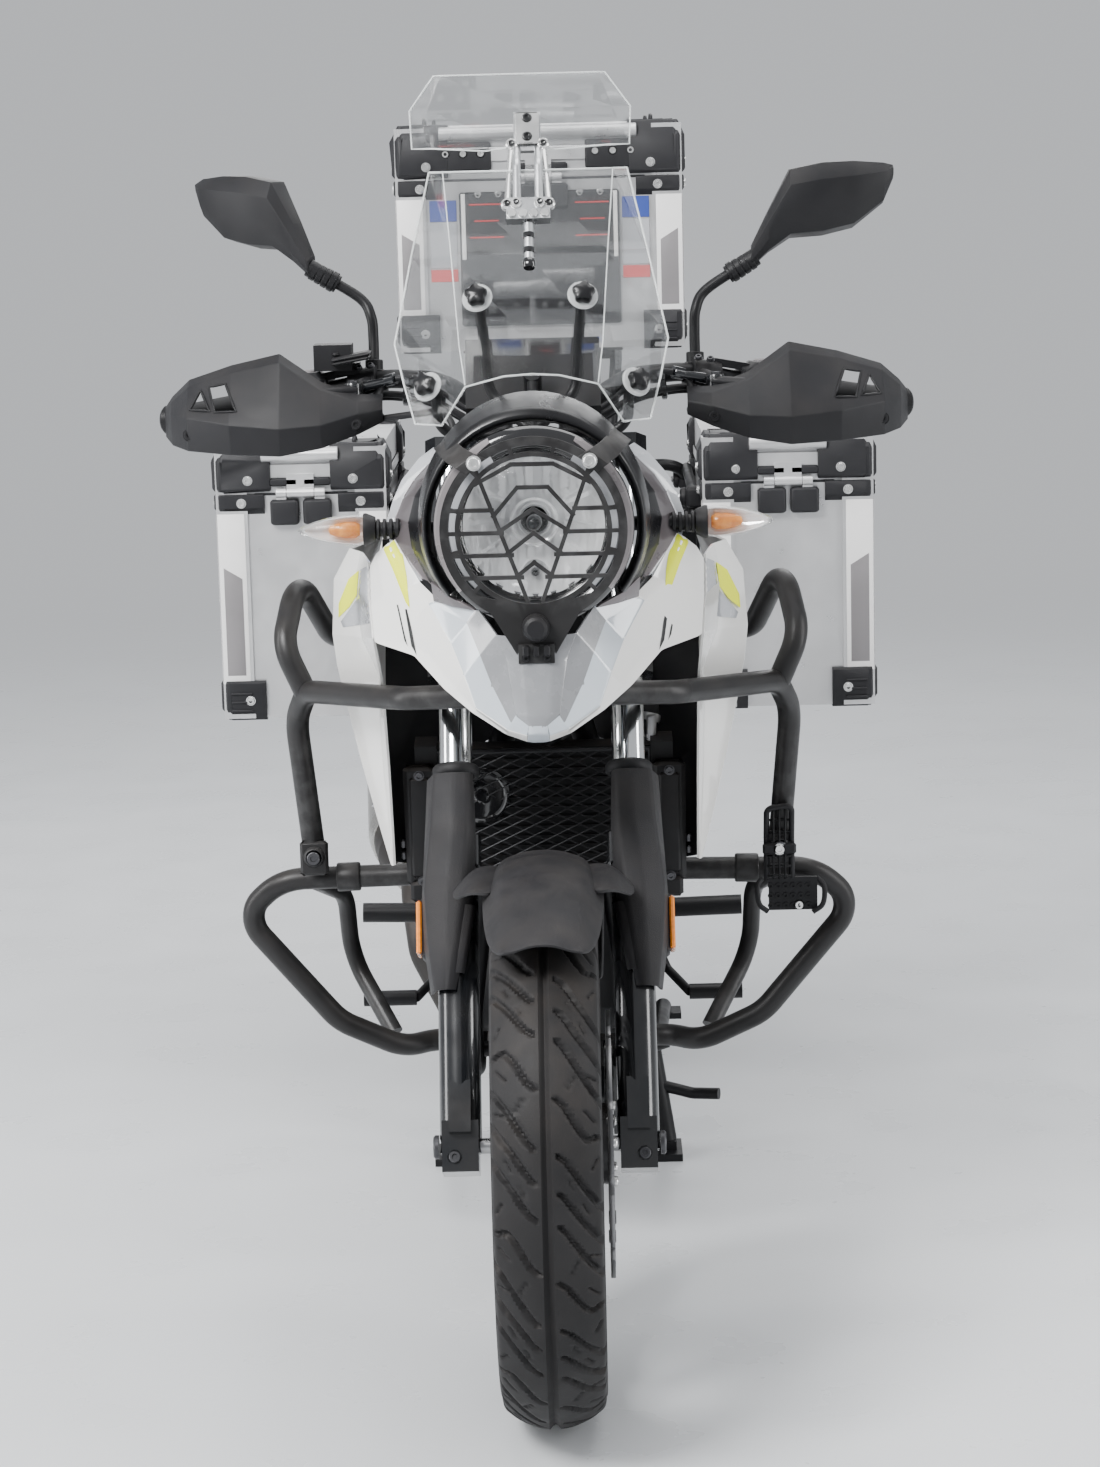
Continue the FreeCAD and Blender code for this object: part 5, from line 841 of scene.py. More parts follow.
SHOULDER = (
    # rows downwards: seam at the cheek, front edge, crease, rear edge
    ((187, 162, 928), (198, 210, 934), (214, 262, 932), (186, 400, 930)),
    ((186, 140, 890), (206, 206, 898), (234, 270, 896), (196, 420, 896)),
    ((182, 118, 848), (200, 214, 836), (239, 284, 830), (196, 440, 830)),
    ((180, 196, 792), (184, 232, 790), (236, 300, 790), (190, 440, 790)),
    ((180, 240, 738), (186, 262, 736), (227, 318, 736), (190, 410, 736)),
    ((180, 282, 672), (186, 296, 670), (214, 330, 670), (188, 378, 670)),
    ((180, 310, 602), (183, 318, 600), (198, 336, 600), (186, 360, 600)),
    ((180, 328, 547), (181, 330, 546), (184, 336, 546), (182, 344, 546)),
)
cowls = moulded("side_shrouds", both(SHOULDER), (1, 0, 0), "body_white", ("side_cowls",), bevel=3.0,
    smooth=20)
INNER_PANEL = (
    # rows downwards, behind the fork's sweep: edge at the cowl, middle, edge at the frame
    ((184, 396, 924), (120, 420, 930), (26, 436, 934)),
    ((190, 432, 860), (120, 436, 860), (24, 450, 860)),
    ((188, 438, 790), (120, 432, 780), (18, 456, 770)),
    ((187, 404, 730), (150, 420, 718), (18, 456, 696)),
    ((186, 374, 666), (172, 384, 664), (148, 402, 640)),
    ((183, 350, 600), (172, 360, 600), (150, 376, 590)),
    ((182, 338, 550), (168, 346, 546), (152, 356, 542)),
)
moulded("inner_panels", both(INNER_PANEL), (0, -1, 0), "trim_black", bevel=2.0)

HANDGUARD = (
    # rows outwards: lower rear edge, lower front edge, middle crease, brow, upper rear edge
    ((176, 388, 1070), (176, 356, 1066), (176, 350, 1082), (176, 356, 1092), (176, 364, 1098)),
    ((204, 390, 1058), (204, 334, 1054), (204, 328, 1078), (204, 342, 1092), (204, 354, 1099)),
    ((246, 394, 1043), (246, 322, 1040), (246, 315, 1067), (246, 340, 1106), (246, 356, 1114)),
    ((294, 404, 1032), (294, 320, 1032), (294, 312, 1064), (294, 352, 1138), (294, 366, 1147)),
    ((352, 418, 1034), (352, 332, 1034), (352, 324, 1069), (352, 370, 1126), (352, 384, 1134)),
    ((404, 436, 1037), (404, 362, 1037), (404, 355, 1076), (404, 388, 1110), (404, 404, 1117)),
    ((428, 452, 1042), (428, 410, 1040), (428, 404, 1078), (428, 416, 1090), (428, 432, 1096)),
    ((440, 470, 1048), (440, 450, 1046), (440, 446, 1070), (440, 452, 1078), (440, 460, 1082)),
)
WINDOWS = (
    # two openings near the tip, as (across, height)
    ((344, 1084), (370, 1083), (378, 1110), (358, 1114)),
    ((376, 1084), (400, 1085), (388, 1106)),
)


def handguards():
    """Hand shields with two vents, the end caps and the inner mounts."""
    openings = Shape()
    for side in (1, -1):
        for outline in WINDOWS:
            near = [at(side * x, 300, z) for x, z in outline]
            far = [at(side * x, 412, z) for x, z in outline]
            openings.rings([near, far])
    moulded("hand_shields", both(HANDGUARD), (0, -1, 0.3), "trim_black", ("handguards",), body="steering",
        bevel=1.6, wall=3.6, cut=openings, smooth=14)
    frames = Shape()
    for outline in WINDOWS:
        loop = []
        for (x0, z0), (x1, z1) in zip(outline, outline[1:] + outline[:1]):
            loop += [(x0 + (x1 - x0) * k / 4, z0 + (z1 - z0) * k / 4) for k in range(4)]
        line = []
        for x, z in loop:
            row = np.interp(x, [r[0][0] for r in HANDGUARD], range(len(HANDGUARD)))
            here, there = HANDGUARD[int(row)], HANDGUARD[min(int(row) + 1, len(HANDGUARD) - 1)]
            share = row - int(row)
            backs = [a[1] * (1 - share) + b[1] * share for a, b in zip(here[2:], there[2:])]
            levels = [a[2] * (1 - share) + b[2] * share for a, b in zip(here[2:], there[2:])]
            line.append(at(x, np.interp(z, levels, backs) - 0.4, z))
        frames.hose(line, 1.5, 8, closed=True)
    piece("hand_shield_vents", frames.mirrored(), "bar_black", body="steering", smooth=60)
    fittings = Shape()
    fittings.turned([(0, 0), (15, 0.5), (17, 3), (17, 13), (14, 16), (6, 16), (5, 13.5), (0, 13.5)],
        at(428, 463, 1066), (0.95, 0.32, -0.02), 32)
    fittings.bent([at(176, 405, 1100), at(180, 384, 1098), at(186, 362, 1092), at(214, 344, 1086)], 5, 14)
    fittings.bent([at(424, 458, 1064), at(414, 430, 1062), at(398, 400, 1060)], 5, 14)
    for x, back, z in ((206, 330, 1066), (402, 361, 1056)):
        fittings.bolt(at(x, back, z), (0, -1, 0.1), 6, 3)
    piece("hand_shield_mounts", fittings.mirrored(), "bar_black", body="steering")


handguards()

TAIL = (
    # rows backwards: upper edge, crease, lower edge
    ((112, 800, 772), (130, 800, 740), (122, 800, 640)),
    ((136, 930, 772), (146, 930, 742), (130, 930, 664)),
    ((144, 1110, 802), (148, 1110, 776), (130, 1110, 744)),
    ((138, 1300, 846), (140, 1300, 828), (124, 1300, 800)),
    ((120, 1486, 884), (123, 1486, 870), (115, 1486, 846)),
)
moulded("tail_panels", both(TAIL), (1, 0, 0), "body_white", ("tail_cowls",), bevel=8)


def rake_frame():
    """The steered fork's own frame, read from the joint: along is up the leg, behind is square to it."""
    axis = next(Vector(j["axis"]) for j in frame["joints"] if j["name"] == "steering").normalized()
    behind = Vector((0, axis.z, -axis.y)).normalized()
    return Matrix((Vector((1, 0, 0)), behind, axis)).transposed()


RAKE = rake_frame()
HUB = middle_of("front_tyre")


def leg_point(x, behind, along):
    """A point by the fork leg: across, behind its centre line and up from the axle."""
    return HUB + RAKE @ Vector((x, behind, along)) * MM


LEG_X = 97.0
FORK_SHIELD = (
    # along the leg, then (across, behind) from its centre line, from the inner to the outer edge
    (412, (-20, -24), (-14, -34), (2, -36), (24, -30), (33, 4)),
    (352, (-22, -28), (-14, -40), (4, -42), (28, -32), (36, 6)),
    (280, (-20, -28), (-8, -42), (12, -42), (36, -28), (40, 4)),
    (220, (-10, -32), (0, -40), (14, -39), (32, -28), (38, 2)),
    (168, (2, -31), (8, -34), (16, -34), (26, -26), (31, 0)),
)
shield_rows = [[leg_point(LEG_X + across, behind, along) for across, behind in points]
    for along, *points in FORK_SHIELD]
moulded("fork_shields", shield_rows, (0, -1, 0), "fender_grey", ("fork_guards",), body="steering", bevel=4.5)


def wheel_point(x, radius, angle):
    """Round the front axle: angle 0 is straight up and positive angles go forward."""
    turn = math.radians(angle)
    return HUB + mm(x, -radius * math.sin(turn), radius * math.cos(turn))


FENDER = (
    # angle round the axle, extra radius, half width of the crown, drop and half width of the skirt
    (38, 26, 30, 14, 44),
    (32, 14, 40, 26, 58),
    (18, 6, 46, 34, 64),
    (0, 2, 46, 38, 66),
    (-20, 0, 44, 40, 66),
    (-42, 0, 40, 40, 66),
    (-66, 0, 34, 40, 64),
)
FENDER_CLEAR = 304 + 18


def front_fender():
    """The mudguard's arch, its side wings and the struts down to the fork."""
    rows = []
    for angle, extra, crown, drop, skirt in FENDER:
        top = FENDER_CLEAR + extra
        half = [(skirt, top - drop), (skirt - 3, top - drop + 8), (crown + 2, top - 6), (crown - 6, top - 2),
            (crown * 0.45, top + 4.4)]
        line = [wheel_point(-x, r, angle) for x, r in half] + [wheel_point(0, top + 6, angle)]
        line += [wheel_point(x, r, angle) for x, r in reversed(half)]
        rows.append(line)
    arch = sheet_shape(rows, (0, 0, 1))
    piece("mudguard_arch", arch, "fender_grey", ("front_fender",), body="steering", levels=2, wall=3,
        smooth=40)
    wing = []
    for x, level, near, far in (
            (50, 308, 13, -21), (64, 309, 12.5, -20), (80, 304, 10, -17), (98, 281, 2, -12)):
        wing.append([wheel_point(x, level - 3 * (k in (0, 3)), near + (far - near) * k / 3)
            for k in range(4)])
    moulded("mudguard_wings", wing, (0, 0, 1), "fender_grey", body="steering", levels=2)
    struts = [[leg_point(LEG_X + across, behind, along) for across, behind in points]
        for along, *points in ((262, (-22, -26), (-17, -33), (-8, -38)),
                               (224, (-15, -31), (-11, -36), (-3, -38)),
                               (186, (-8, -30), (-5, -34), (2, -35)))]
    moulded("mudguard_struts", struts, (0, -1, 0), "fender_grey", body="steering", bevel=1.5)


front_fender()


# Headlamp

LAMP = at(0, -12, 983)
FORWARD = Vector((0, -1, 0))


def lamp_disc(radius, out, angle):
    """A point in front of the lamp's glass plane by out millimetres."""
    turn = math.radians(angle)
    return LAMP + mm(radius * math.cos(turn), -out, radius * math.sin(turn))


def headlamp():
    """Housing, faceted bowl, bulbs, glass, trims and the shroud round the lamp."""
    housing = Shape()
    housing.turned([(0, -92), (30, -91), (50, -84), (84, -54), (103, -22), (106, -14), (106, -2), (104, 1),
        (99, 4), (93, 5), (88, 2), (86, -4), (77.3, -8), (73, -14), (73, -20), (86, -24), (86, -60),
        (40, -80), (0, -84)], LAMP, FORWARD, 96)
    piece("lamp_housing", housing, "gloss", ("headlamp",), smooth=32)
    bowl = Shape()
    steps, rings = 96, 15
    rows = []
    for ring in range(rings):
        share = ring / (rings - 1)
        row = []
        for step in range(steps):
            angle = math.tau * step / steps
            radius = 15 + 60 * share
            depth = 62 * (1 - share ** 1.7)
            flute = math.cos(radius * math.cos(angle) * math.tau / 19)
            ripple = 2.4 * flute * min(1, share * 2) * (1 if abs(math.sin(angle)) > 0.45 else 0.3)
            sign = 1 if int(step / 8) % 2 else -1
            block = 3.0 * sign * (0.35 < share < 0.8) * (abs(math.sin(angle)) < 0.6)
            row.append(LAMP + mm(radius * math.cos(angle), depth + 10 + ripple + block,
                radius * math.sin(angle)))
        rows.append(row)
    bowl.rings(rows, caps=False)
    # the bowl's near-white finish is partly painted reflection
    piece("lamp_reflector", bowl, "reflector", smooth=18)
    fittings = Shape()
    for radius, depth in ((17, 66), (24, 46)):
        fittings.turned([(radius - 2.2, 0), (radius - 2.2, 3), (radius, 4), (radius + 2, 0)],
            LAMP + mm(0, depth, 0), FORWARD, 40, closed=True)
    piece("lamp_collars", fittings, "reflector", smooth=40)
    bulb = Shape()
    bulb.turned([(0, 40), (5, 39), (8, 35), (8.5, 22), (8, 0), (0, 0)], LAMP + mm(0, 66, 0), FORWARD, 28)
    bulb.turned([(0, 10), (3.5, 9), (5, 5), (5, 0), (0, 0)], LAMP + mm(0, 34, -52), FORWARD, 24)
    piece("lamp_bulbs", bulb, "panel", smooth=45)
    pocket = Shape()
    pocket.turned([(16, 4), (14, 6), (11, -2), (7, -8), (13, -10)], LAMP + mm(0, 34, -52), FORWARD, 36,
        closed=True)
    piece("lamp_pilot_cup", pocket, "reflector", smooth=45)
    glass = Shape()
    glass.turned([(0, 10), (20, 9.4), (40, 7), (58, 3), (68, -1.5), (75, -6.5), (77, -9), (77, -12),
        (73, -12), (66, -5), (56, 0), (38, 4), (18, 6), (0, 6.6)], LAMP, FORWARD, 96)
    piece("lamp_lens", glass, "clear_glass", ("headlamp_glass",), smooth=60)
    trim = Shape()
    for start, end in ((-40, 64), (116, 220)):
        rows = []
        for step in range(25):
            turn = start + (end - start) * step / 24
            width = 4.0 + 9.0 * math.sin(math.pi * step / 24)
            rows.append([lamp_disc(103 - width, 4.2, turn), lamp_disc(103 - width + 1, 6.6, turn),
                lamp_disc(103, 5.6, turn), lamp_disc(105, 1.5, turn)])
        trim.rings(rows)
    piece("lamp_side_trims", trim, "bezel_grey", smooth=40)
    inner = Shape()
    for start, end in ((-46, 60), (120, 226)):
        inner.rings([[lamp_disc(r, out, start + (end - start) * step / 24) for r, out in ((80, 2.6), (81, 6),
            (88.5, 6.4), (90, 3))] for step in range(25)])
    piece("lamp_inner_trims", inner, "pale_grey", slot="trim_black", smooth=40)
    shroud = []
    for step in range(41):
        turn = math.radians(-38 + 256 * step / 40)
        top = max(0.0, math.sin(turn)) ** 2
        row = []
        for radius, back in ((109, 20), (112, 8), (116, 4), (119 + 6 * top, 10),
                             (124 + 14 * top, 44 + 20 * top), (120 + 12 * top, 118)):
            row.append(LAMP + mm(radius * math.cos(turn), back, radius * math.sin(turn)))
        shroud.append(row)
    moulded("lamp_shroud", shroud, (0, -1, 0), "brow", mirror=False, smooth=40)


headlamp()


def lamp_guard_fittings():
    """Straps, screws and foot of the grille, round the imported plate."""
    guard = Shape()
    for side in (1, -1):
        top = seen(617 if side > 0 else 444, 432 if side > 0 else 440, 60)
        top.x = side * 0.096
        low = LAMP + mm(side * 58, -36, 68)
        across = Vector((0.80, 0, -0.60)).normalized() * 13 * MM
        across.x *= side
        rows = []
        for share, back in ((0, -48), (0.3, -46), (0.62, -30), (1, 34)):
            middle = low.lerp(top, share)
            middle.y = (AXLE_Y + back) * MM
            wide = across * (1 - 0.15 * share)
            rows.append([middle - wide, middle + wide, middle + wide + mm(0, 3.5, 0),
                middle - wide + mm(0, 3.5, 0)])
        guard.rings(rows if side > 0 else [list(reversed(r)) for r in rows])
    piece("guard_straps", guard, "guard_black", smooth=30, bevel=0.8)
    screws = Shape()
    for side in (1, -1):
        screws.bolt(LAMP + mm(side * 60, -41, 72), FORWARD, 6.5, 4)
    piece("guard_screws", screws, "rivet")
    knob = Shape()
    knob.turned([(0, 22), (9, 21.5), (12.5, 19), (14.6, 14), (14.6, 5), (12, 1), (0, 0)], at(0, -46, 882),
        FORWARD, 20)
    for x in (-11, 0, 11):
        knob.block(at(x, -56, 858), (7, 8, 12))
    for x in (-11, 11):
        knob.bolt(at(x, -53, 850), FORWARD, 3.6, 3)
    piece("guard_foot_knob", knob, "trim_black", smooth=30)


lamp_guard_fittings()


# Screen

SCREEN_EDGE = (
    # the side, the foot and the upper edge
    ((110, 252, 1350), (130, 216, 1262), (150, 172, 1166), (140, 150, 1124), (128, 128, 1082)),
    ((128, 128, 1082), (98, 100, 1082), (72, 111, 1122), (30, 101, 1133), (0, 100, 1135)),
    ((0, 226, 1350), (94, 236, 1350), (110, 252, 1350)),
)
SCREEN_FOLD = ((94, 235, 1349), (86, 189, 1262), (78, 133, 1166), (72, 109, 1124))
SPOILER_EDGE = ((0, 300, 1456), (88, 304, 1456), (96, 306, 1456), (124, 302, 1418), (122, 292, 1376),
    (100, 280, 1376), (40, 271, 1372), (0, 268, 1376))
SPOILER_SHIFT = -8


def screen_trim():
    """Painted highlights along the polished edges and the fold of the clear sheets, as whitish see-through
    bars, and the washers and knobs.
    """
    edge_highlights = Shape()
    # painted highlight along the screen's polished edges and its fold
    for line in SCREEN_EDGE:
        edge_highlights.hose([at(*p) for p in line], 1.2, 8)
    edge_highlights.hose([at(*p) for p in SCREEN_FOLD], 0.8, 8)
    piece("screen_edge_highlights", edge_highlights.mirrored(), "edge", smooth=60)
    # painted highlight along the spoiler's polished edge
    rim = Shape()
    rim.hose([at(*p) for p in SPOILER_EDGE], 1.0, 8)
    rim.mirrored()
    rim.points = [p + Vector((SPOILER_SHIFT * MM, 0, 0)) for p in rim.points]
    piece("spoiler_edge_highlight", rim, "edge", smooth=60)
    washers, knobs = shapes(2)
    for x, back, z, slope in (
            (112, 128, 1121, (0.454, -0.772, 0.441)), (57, 153, 1214, (0.156, -0.851, 0.502))):
        point, out = at(x, back, z), Vector(slope)
        washers.turned([(4, 0), (16, 0), (17, 1.2), (15.5, 3.2), (5, 3.2)], point + out * 1.5 * MM, out, 32,
            closed=True)
        first = out.orthogonal().normalized()
        second = out.cross(first)
        rings = []
        for along, reach in ((3, 8), (5, 11), (11, 12), (15.5, 10.4), (17.5, 6)):
            ring = []
            for a in turns(40):
                r = reach * (1 + 0.11 * math.cos(5 * a))
                ring.append(point + (first * math.cos(a) * r + second * math.sin(a) * r + out * along) * MM)
            rings.append(ring)
        knobs.rings(rings)
    piece("screen_washers", washers.mirrored(), "washer", smooth=40)
    piece("screen_knobs", knobs.mirrored(), "brow", smooth=40)


screen_trim()


# Mirrors

MIRROR = (
    # across, low, high, thickness
    (256, 1229, 1255, 18),
    (276, 1246, 1294, 28),
    (302, 1262, 1342, 38),
    (340, 1264, 1349, 38),
    (376, 1272, 1350, 34),
    (412, 1300, 1347, 22),
    (424, 1328, 1344, 10),
)


def mirrors():
    """Mirror heads with their glass, the right one swung inwards, and the stems."""
    head = Shape()
    rings, glass = [], []
    for x, low, high, thick in MIRROR:
        shift = (x - 256) * 0.1
        front, rear = 430 - thick * 0.7 + shift, 430 + thick * 0.3 + shift
        height = high - low
        rings.append([at(x, rear, low), at(x, front + 7, low + height * 0.08),
            at(x, front, low + height * 0.34), at(x, front - 1, high - height * 0.22), at(x, front + 9, high),
            at(x, rear, high)])
        glass.append([at(x, rear + 0.8, low + height * 0.08 + 1),
            at(x, rear + 0.8, high - height * 0.06 - 1)])
    head.rings(rings)
    pivot = at(259, 430, 1242)
    swing = Matrix.Translation(pivot) @ Matrix.Rotation(math.radians(28), 4, "Z") @ Matrix.Translation(-pivot)
    for side, turn in (("left", Matrix.Identity(4)), ("right", swing)):
        for part, base, finish, options in (("shell", head, "trim_black", {"bevel": 2.2, "smooth": 26}),
                                            ("glass", sheet_shape(glass[1:-1], (0, 1, 0)), "mirror",
                                             {"wall": 0.6, "bevel": 0.2})):
            made = Shape()
            made.faces = [list(face) for face in base.faces]
            made.points = [turn @ p for p in base.points]
            if side == "right":
                made.points = [Vector((-p.x, p.y, p.z)) for p in made.points]
                made.faces = [face[::-1] for face in made.faces]
            piece(side + "_mirror_" + part, made, finish, body="steering",
                slot="chrome" if finish == "mirror" else finish, **options)
    stem = Shape()
    line = smooth_row([at(188, 414, 1128), at(188, 419, 1160), at(190, 421, 1184), at(202, 428, 1205),
        at(244, 430, 1232)], 8)
    stem.hose(line, 6.2, 16)
    for k, (x, z) in enumerate(((231, 1224), (238, 1228), (245, 1232), (252, 1236))):
        stem.rod(at(x, 430, z), at(x + 6, 430, z + 3.6), 12.5 - k * 0.4)
    stem.rod(at(228, 430, 1222), at(262, 430, 1243), 10.8)
    stem.rod(at(188, 413.6, 1112), at(188, 417, 1134), 10.5)
    stem.rod(at(188, 413.9, 1113.5), at(188, 414.8, 1123), 13, 6)
    piece("mirror_stems", stem.mirrored(), "bar_black", ("mirrors",), body="steering", smooth=35)


mirrors()


# Seat

SADDLE = (
    # back, half width, low, high, rounding of the upper edge
    (782, 74, 788, 872, 26), (850, 100, 778, 840, 26), (960, 138, 780, 826, 20), (1060, 146, 796, 840, 20),
    (1118, 146, 814, 888, 24), (1250, 138, 840, 908, 26), (1440, 108, 884, 922, 18),
)

SEAT_VOXEL, SEAT_SWELL = 0.006, 9 * MM
SEAT_PRESSURE, SEAT_FRAMES = 3.0, 16
PINNED_HEIGHT = 8


def saddle_value(back, column):
    """A column of the saddle's table at a distance behind the front axle."""
    return np.interp(back, [row[0] for row in SADDLE], [row[column] for row in SADDLE])


def saddle():
    """The stuffed cover: a closed pad that cloth pressure crowns, with piping laid on afterwards."""
    shape = Shape()
    rings = []
    for back, half, low, high, roll in SADDLE:
        half, high = half - 3, high - 4
        ring = [(half * 0.97, low + 3), (half, low + 16), (half, high - roll), (half - roll * 0.35,
            high - roll * 0.3), (half - roll, high), (half * 0.4, high + 1)]
        ring += [(-x, z) for x, z in reversed(ring)]
        rings.append([at(x, back, z) for x, z in ring])
    shape.rings(rings)
    item = piece("saddle_cover", shape, "seat_black", ("seat",), smooth=180)
    remesh = item.modifiers.new("Voxels", "REMESH")
    remesh.mode = "VOXEL"
    remesh.voxel_size = SEAT_VOXEL
    item.data = evaluated_mesh(item)
    item.modifiers.clear()
    rest = [v.co.copy() for v in item.data.vertices]
    pins = item.vertex_groups.new(name="base")
    for vertex in item.data.vertices:
        x, y, z = vertex.co
        if z / MM < saddle_value(y / MM - AXLE_Y, 2) + PINNED_HEIGHT:
            pins.add([vertex.index], 1.0, "REPLACE")
    cloth = item.modifiers.new("Cloth", "CLOTH")
    cloth.settings.use_pressure = True
    cloth.settings.uniform_pressure_force = SEAT_PRESSURE
    cloth.settings.effector_weights.gravity = 0
    cloth.settings.vertex_group_mass = "base"
    cloth.settings.quality = 5
    for number in range(1, SEAT_FRAMES + 1):
        bpy.context.scene.frame_set(number)
    graph = bpy.context.evaluated_depsgraph_get()
    blown = bpy.data.meshes.new_from_object(item.evaluated_get(graph))
    item.modifiers.clear()
    for vertex, before, after in zip(item.data.vertices, rest, blown.vertices):
        move = after.co - before
        if move.length > SEAT_SWELL:
            move *= SEAT_SWELL / move.length
        vertex.co = before + move
    bpy.context.scene.frame_set(1)
    item.data.materials.clear()
    item.data.materials.append(FINISH["seat_black"])
    item.data.polygons.foreach_set("use_smooth", [True] * len(item.data.polygons))
    return item


seat_cover = saddle()


# Turn signals

def signal(x_lamp, back, height, stem_from, name, ahead):
    """A teardrop lamp on a ribbed stalk: clear faceted cover, bright bowl behind, orange bulb inside."""
    root = at(x_lamp, back, height)
    lens, bulb, stem = shapes(3)
    profile = [(0, 1), (14, 1), (16.6, 5), (17.4, 12), (17, 24), (14.4, 42), (9.4, 60), (4, 73), (0, 77)]
    lens.turned(profile, root, (1, 0, 0), 12)
    rows = []
    for radius, along in ((14.5, 3), (15.8, 12), (15.2, 24), (12.6, 42), (7.6, 60), (2.5, 70)):
        rows.append([root + mm(along, ahead * radius * math.cos(turn), radius * math.sin(turn))
            for turn in (math.pi * (0.42 + 1.16 * k / 12) for k in range(13))])
    bowl = sheet_shape(rows, (0, -ahead, 0))
    bulb.turned([(0, 8), (6, 8), (9, 13), (9, 24), (7.6, 33), (4.4, 41), (0, 43)], root, (1, 0, 0), 10)
    stem.rod(at(stem_from, back, height), root, 8)
    for step in range(5):
        x = stem_from + 7 + step * 7
        stem.rod(at(x, back, height), at(x + 4, back, height), 11.5)
    stem.turned([(0, -6), (11, -6), (15, -2), (16.4, 4), (17.8, 4), (18.2, 1), (14, -9), (0, -10)], root,
        (1, 0, 0), 24)
    replaced = ("indicators",) if name.startswith("front") else ()
    piece(name + "_lenses", lens.mirrored(), "lens_clear", replaced, smooth=16, bevel=0.8)
    piece(name + "_bowls", bowl.mirrored(), "reflector", slot="lens_clear", wall=0.6, smooth=12)
    piece(name + "_bulbs", bulb.mirrored(), "amber", smooth=40)
    piece(name + "_stems", stem.mirrored(), "trim_black", smooth=40)


signal(184, 128, 968, 142, "front_signal", -1)
signal(120, 1636, 840, 60.5, "rear_signal", 1)


# Luggage cases

def case_corner(shape, x, y, z_low, z_high, sx, sy, reach, flare, chamfer_top, chamfer_low, plate=None):
    """A chamfered cap of plates over an upright edge: (x, y) is the edge, sx and sy point outwards."""
    def spot(out, back, z):
        return Vector(((x + sx * out) * MM, (y + sy * back) * MM, z * MM))

    cut = 15
    for side in (0, 1):
        points = []
        for z, inset in ((z_low, chamfer_low), (z_low + chamfer_low, 0), (z_high - chamfer_top, 0),
                         (z_high, chamfer_top)):
            o = flare - inset * 0.8
            outline = ((-reach, o), (o - cut, o), (o, o - cut), (o, -1), (-reach, -1))
            points += [spot(b, a, z) if side else spot(a, b, z) for a, b in outline]
        shape.hull(points)
    if plate:
        points = []
        for z, o in plate:
            points += [spot(a, b, z) for a, b in ((-reach, o), (o - cut, o), (o, o - cut), (o, -reach),
                (-reach, -reach))]
        shape.hull(points)


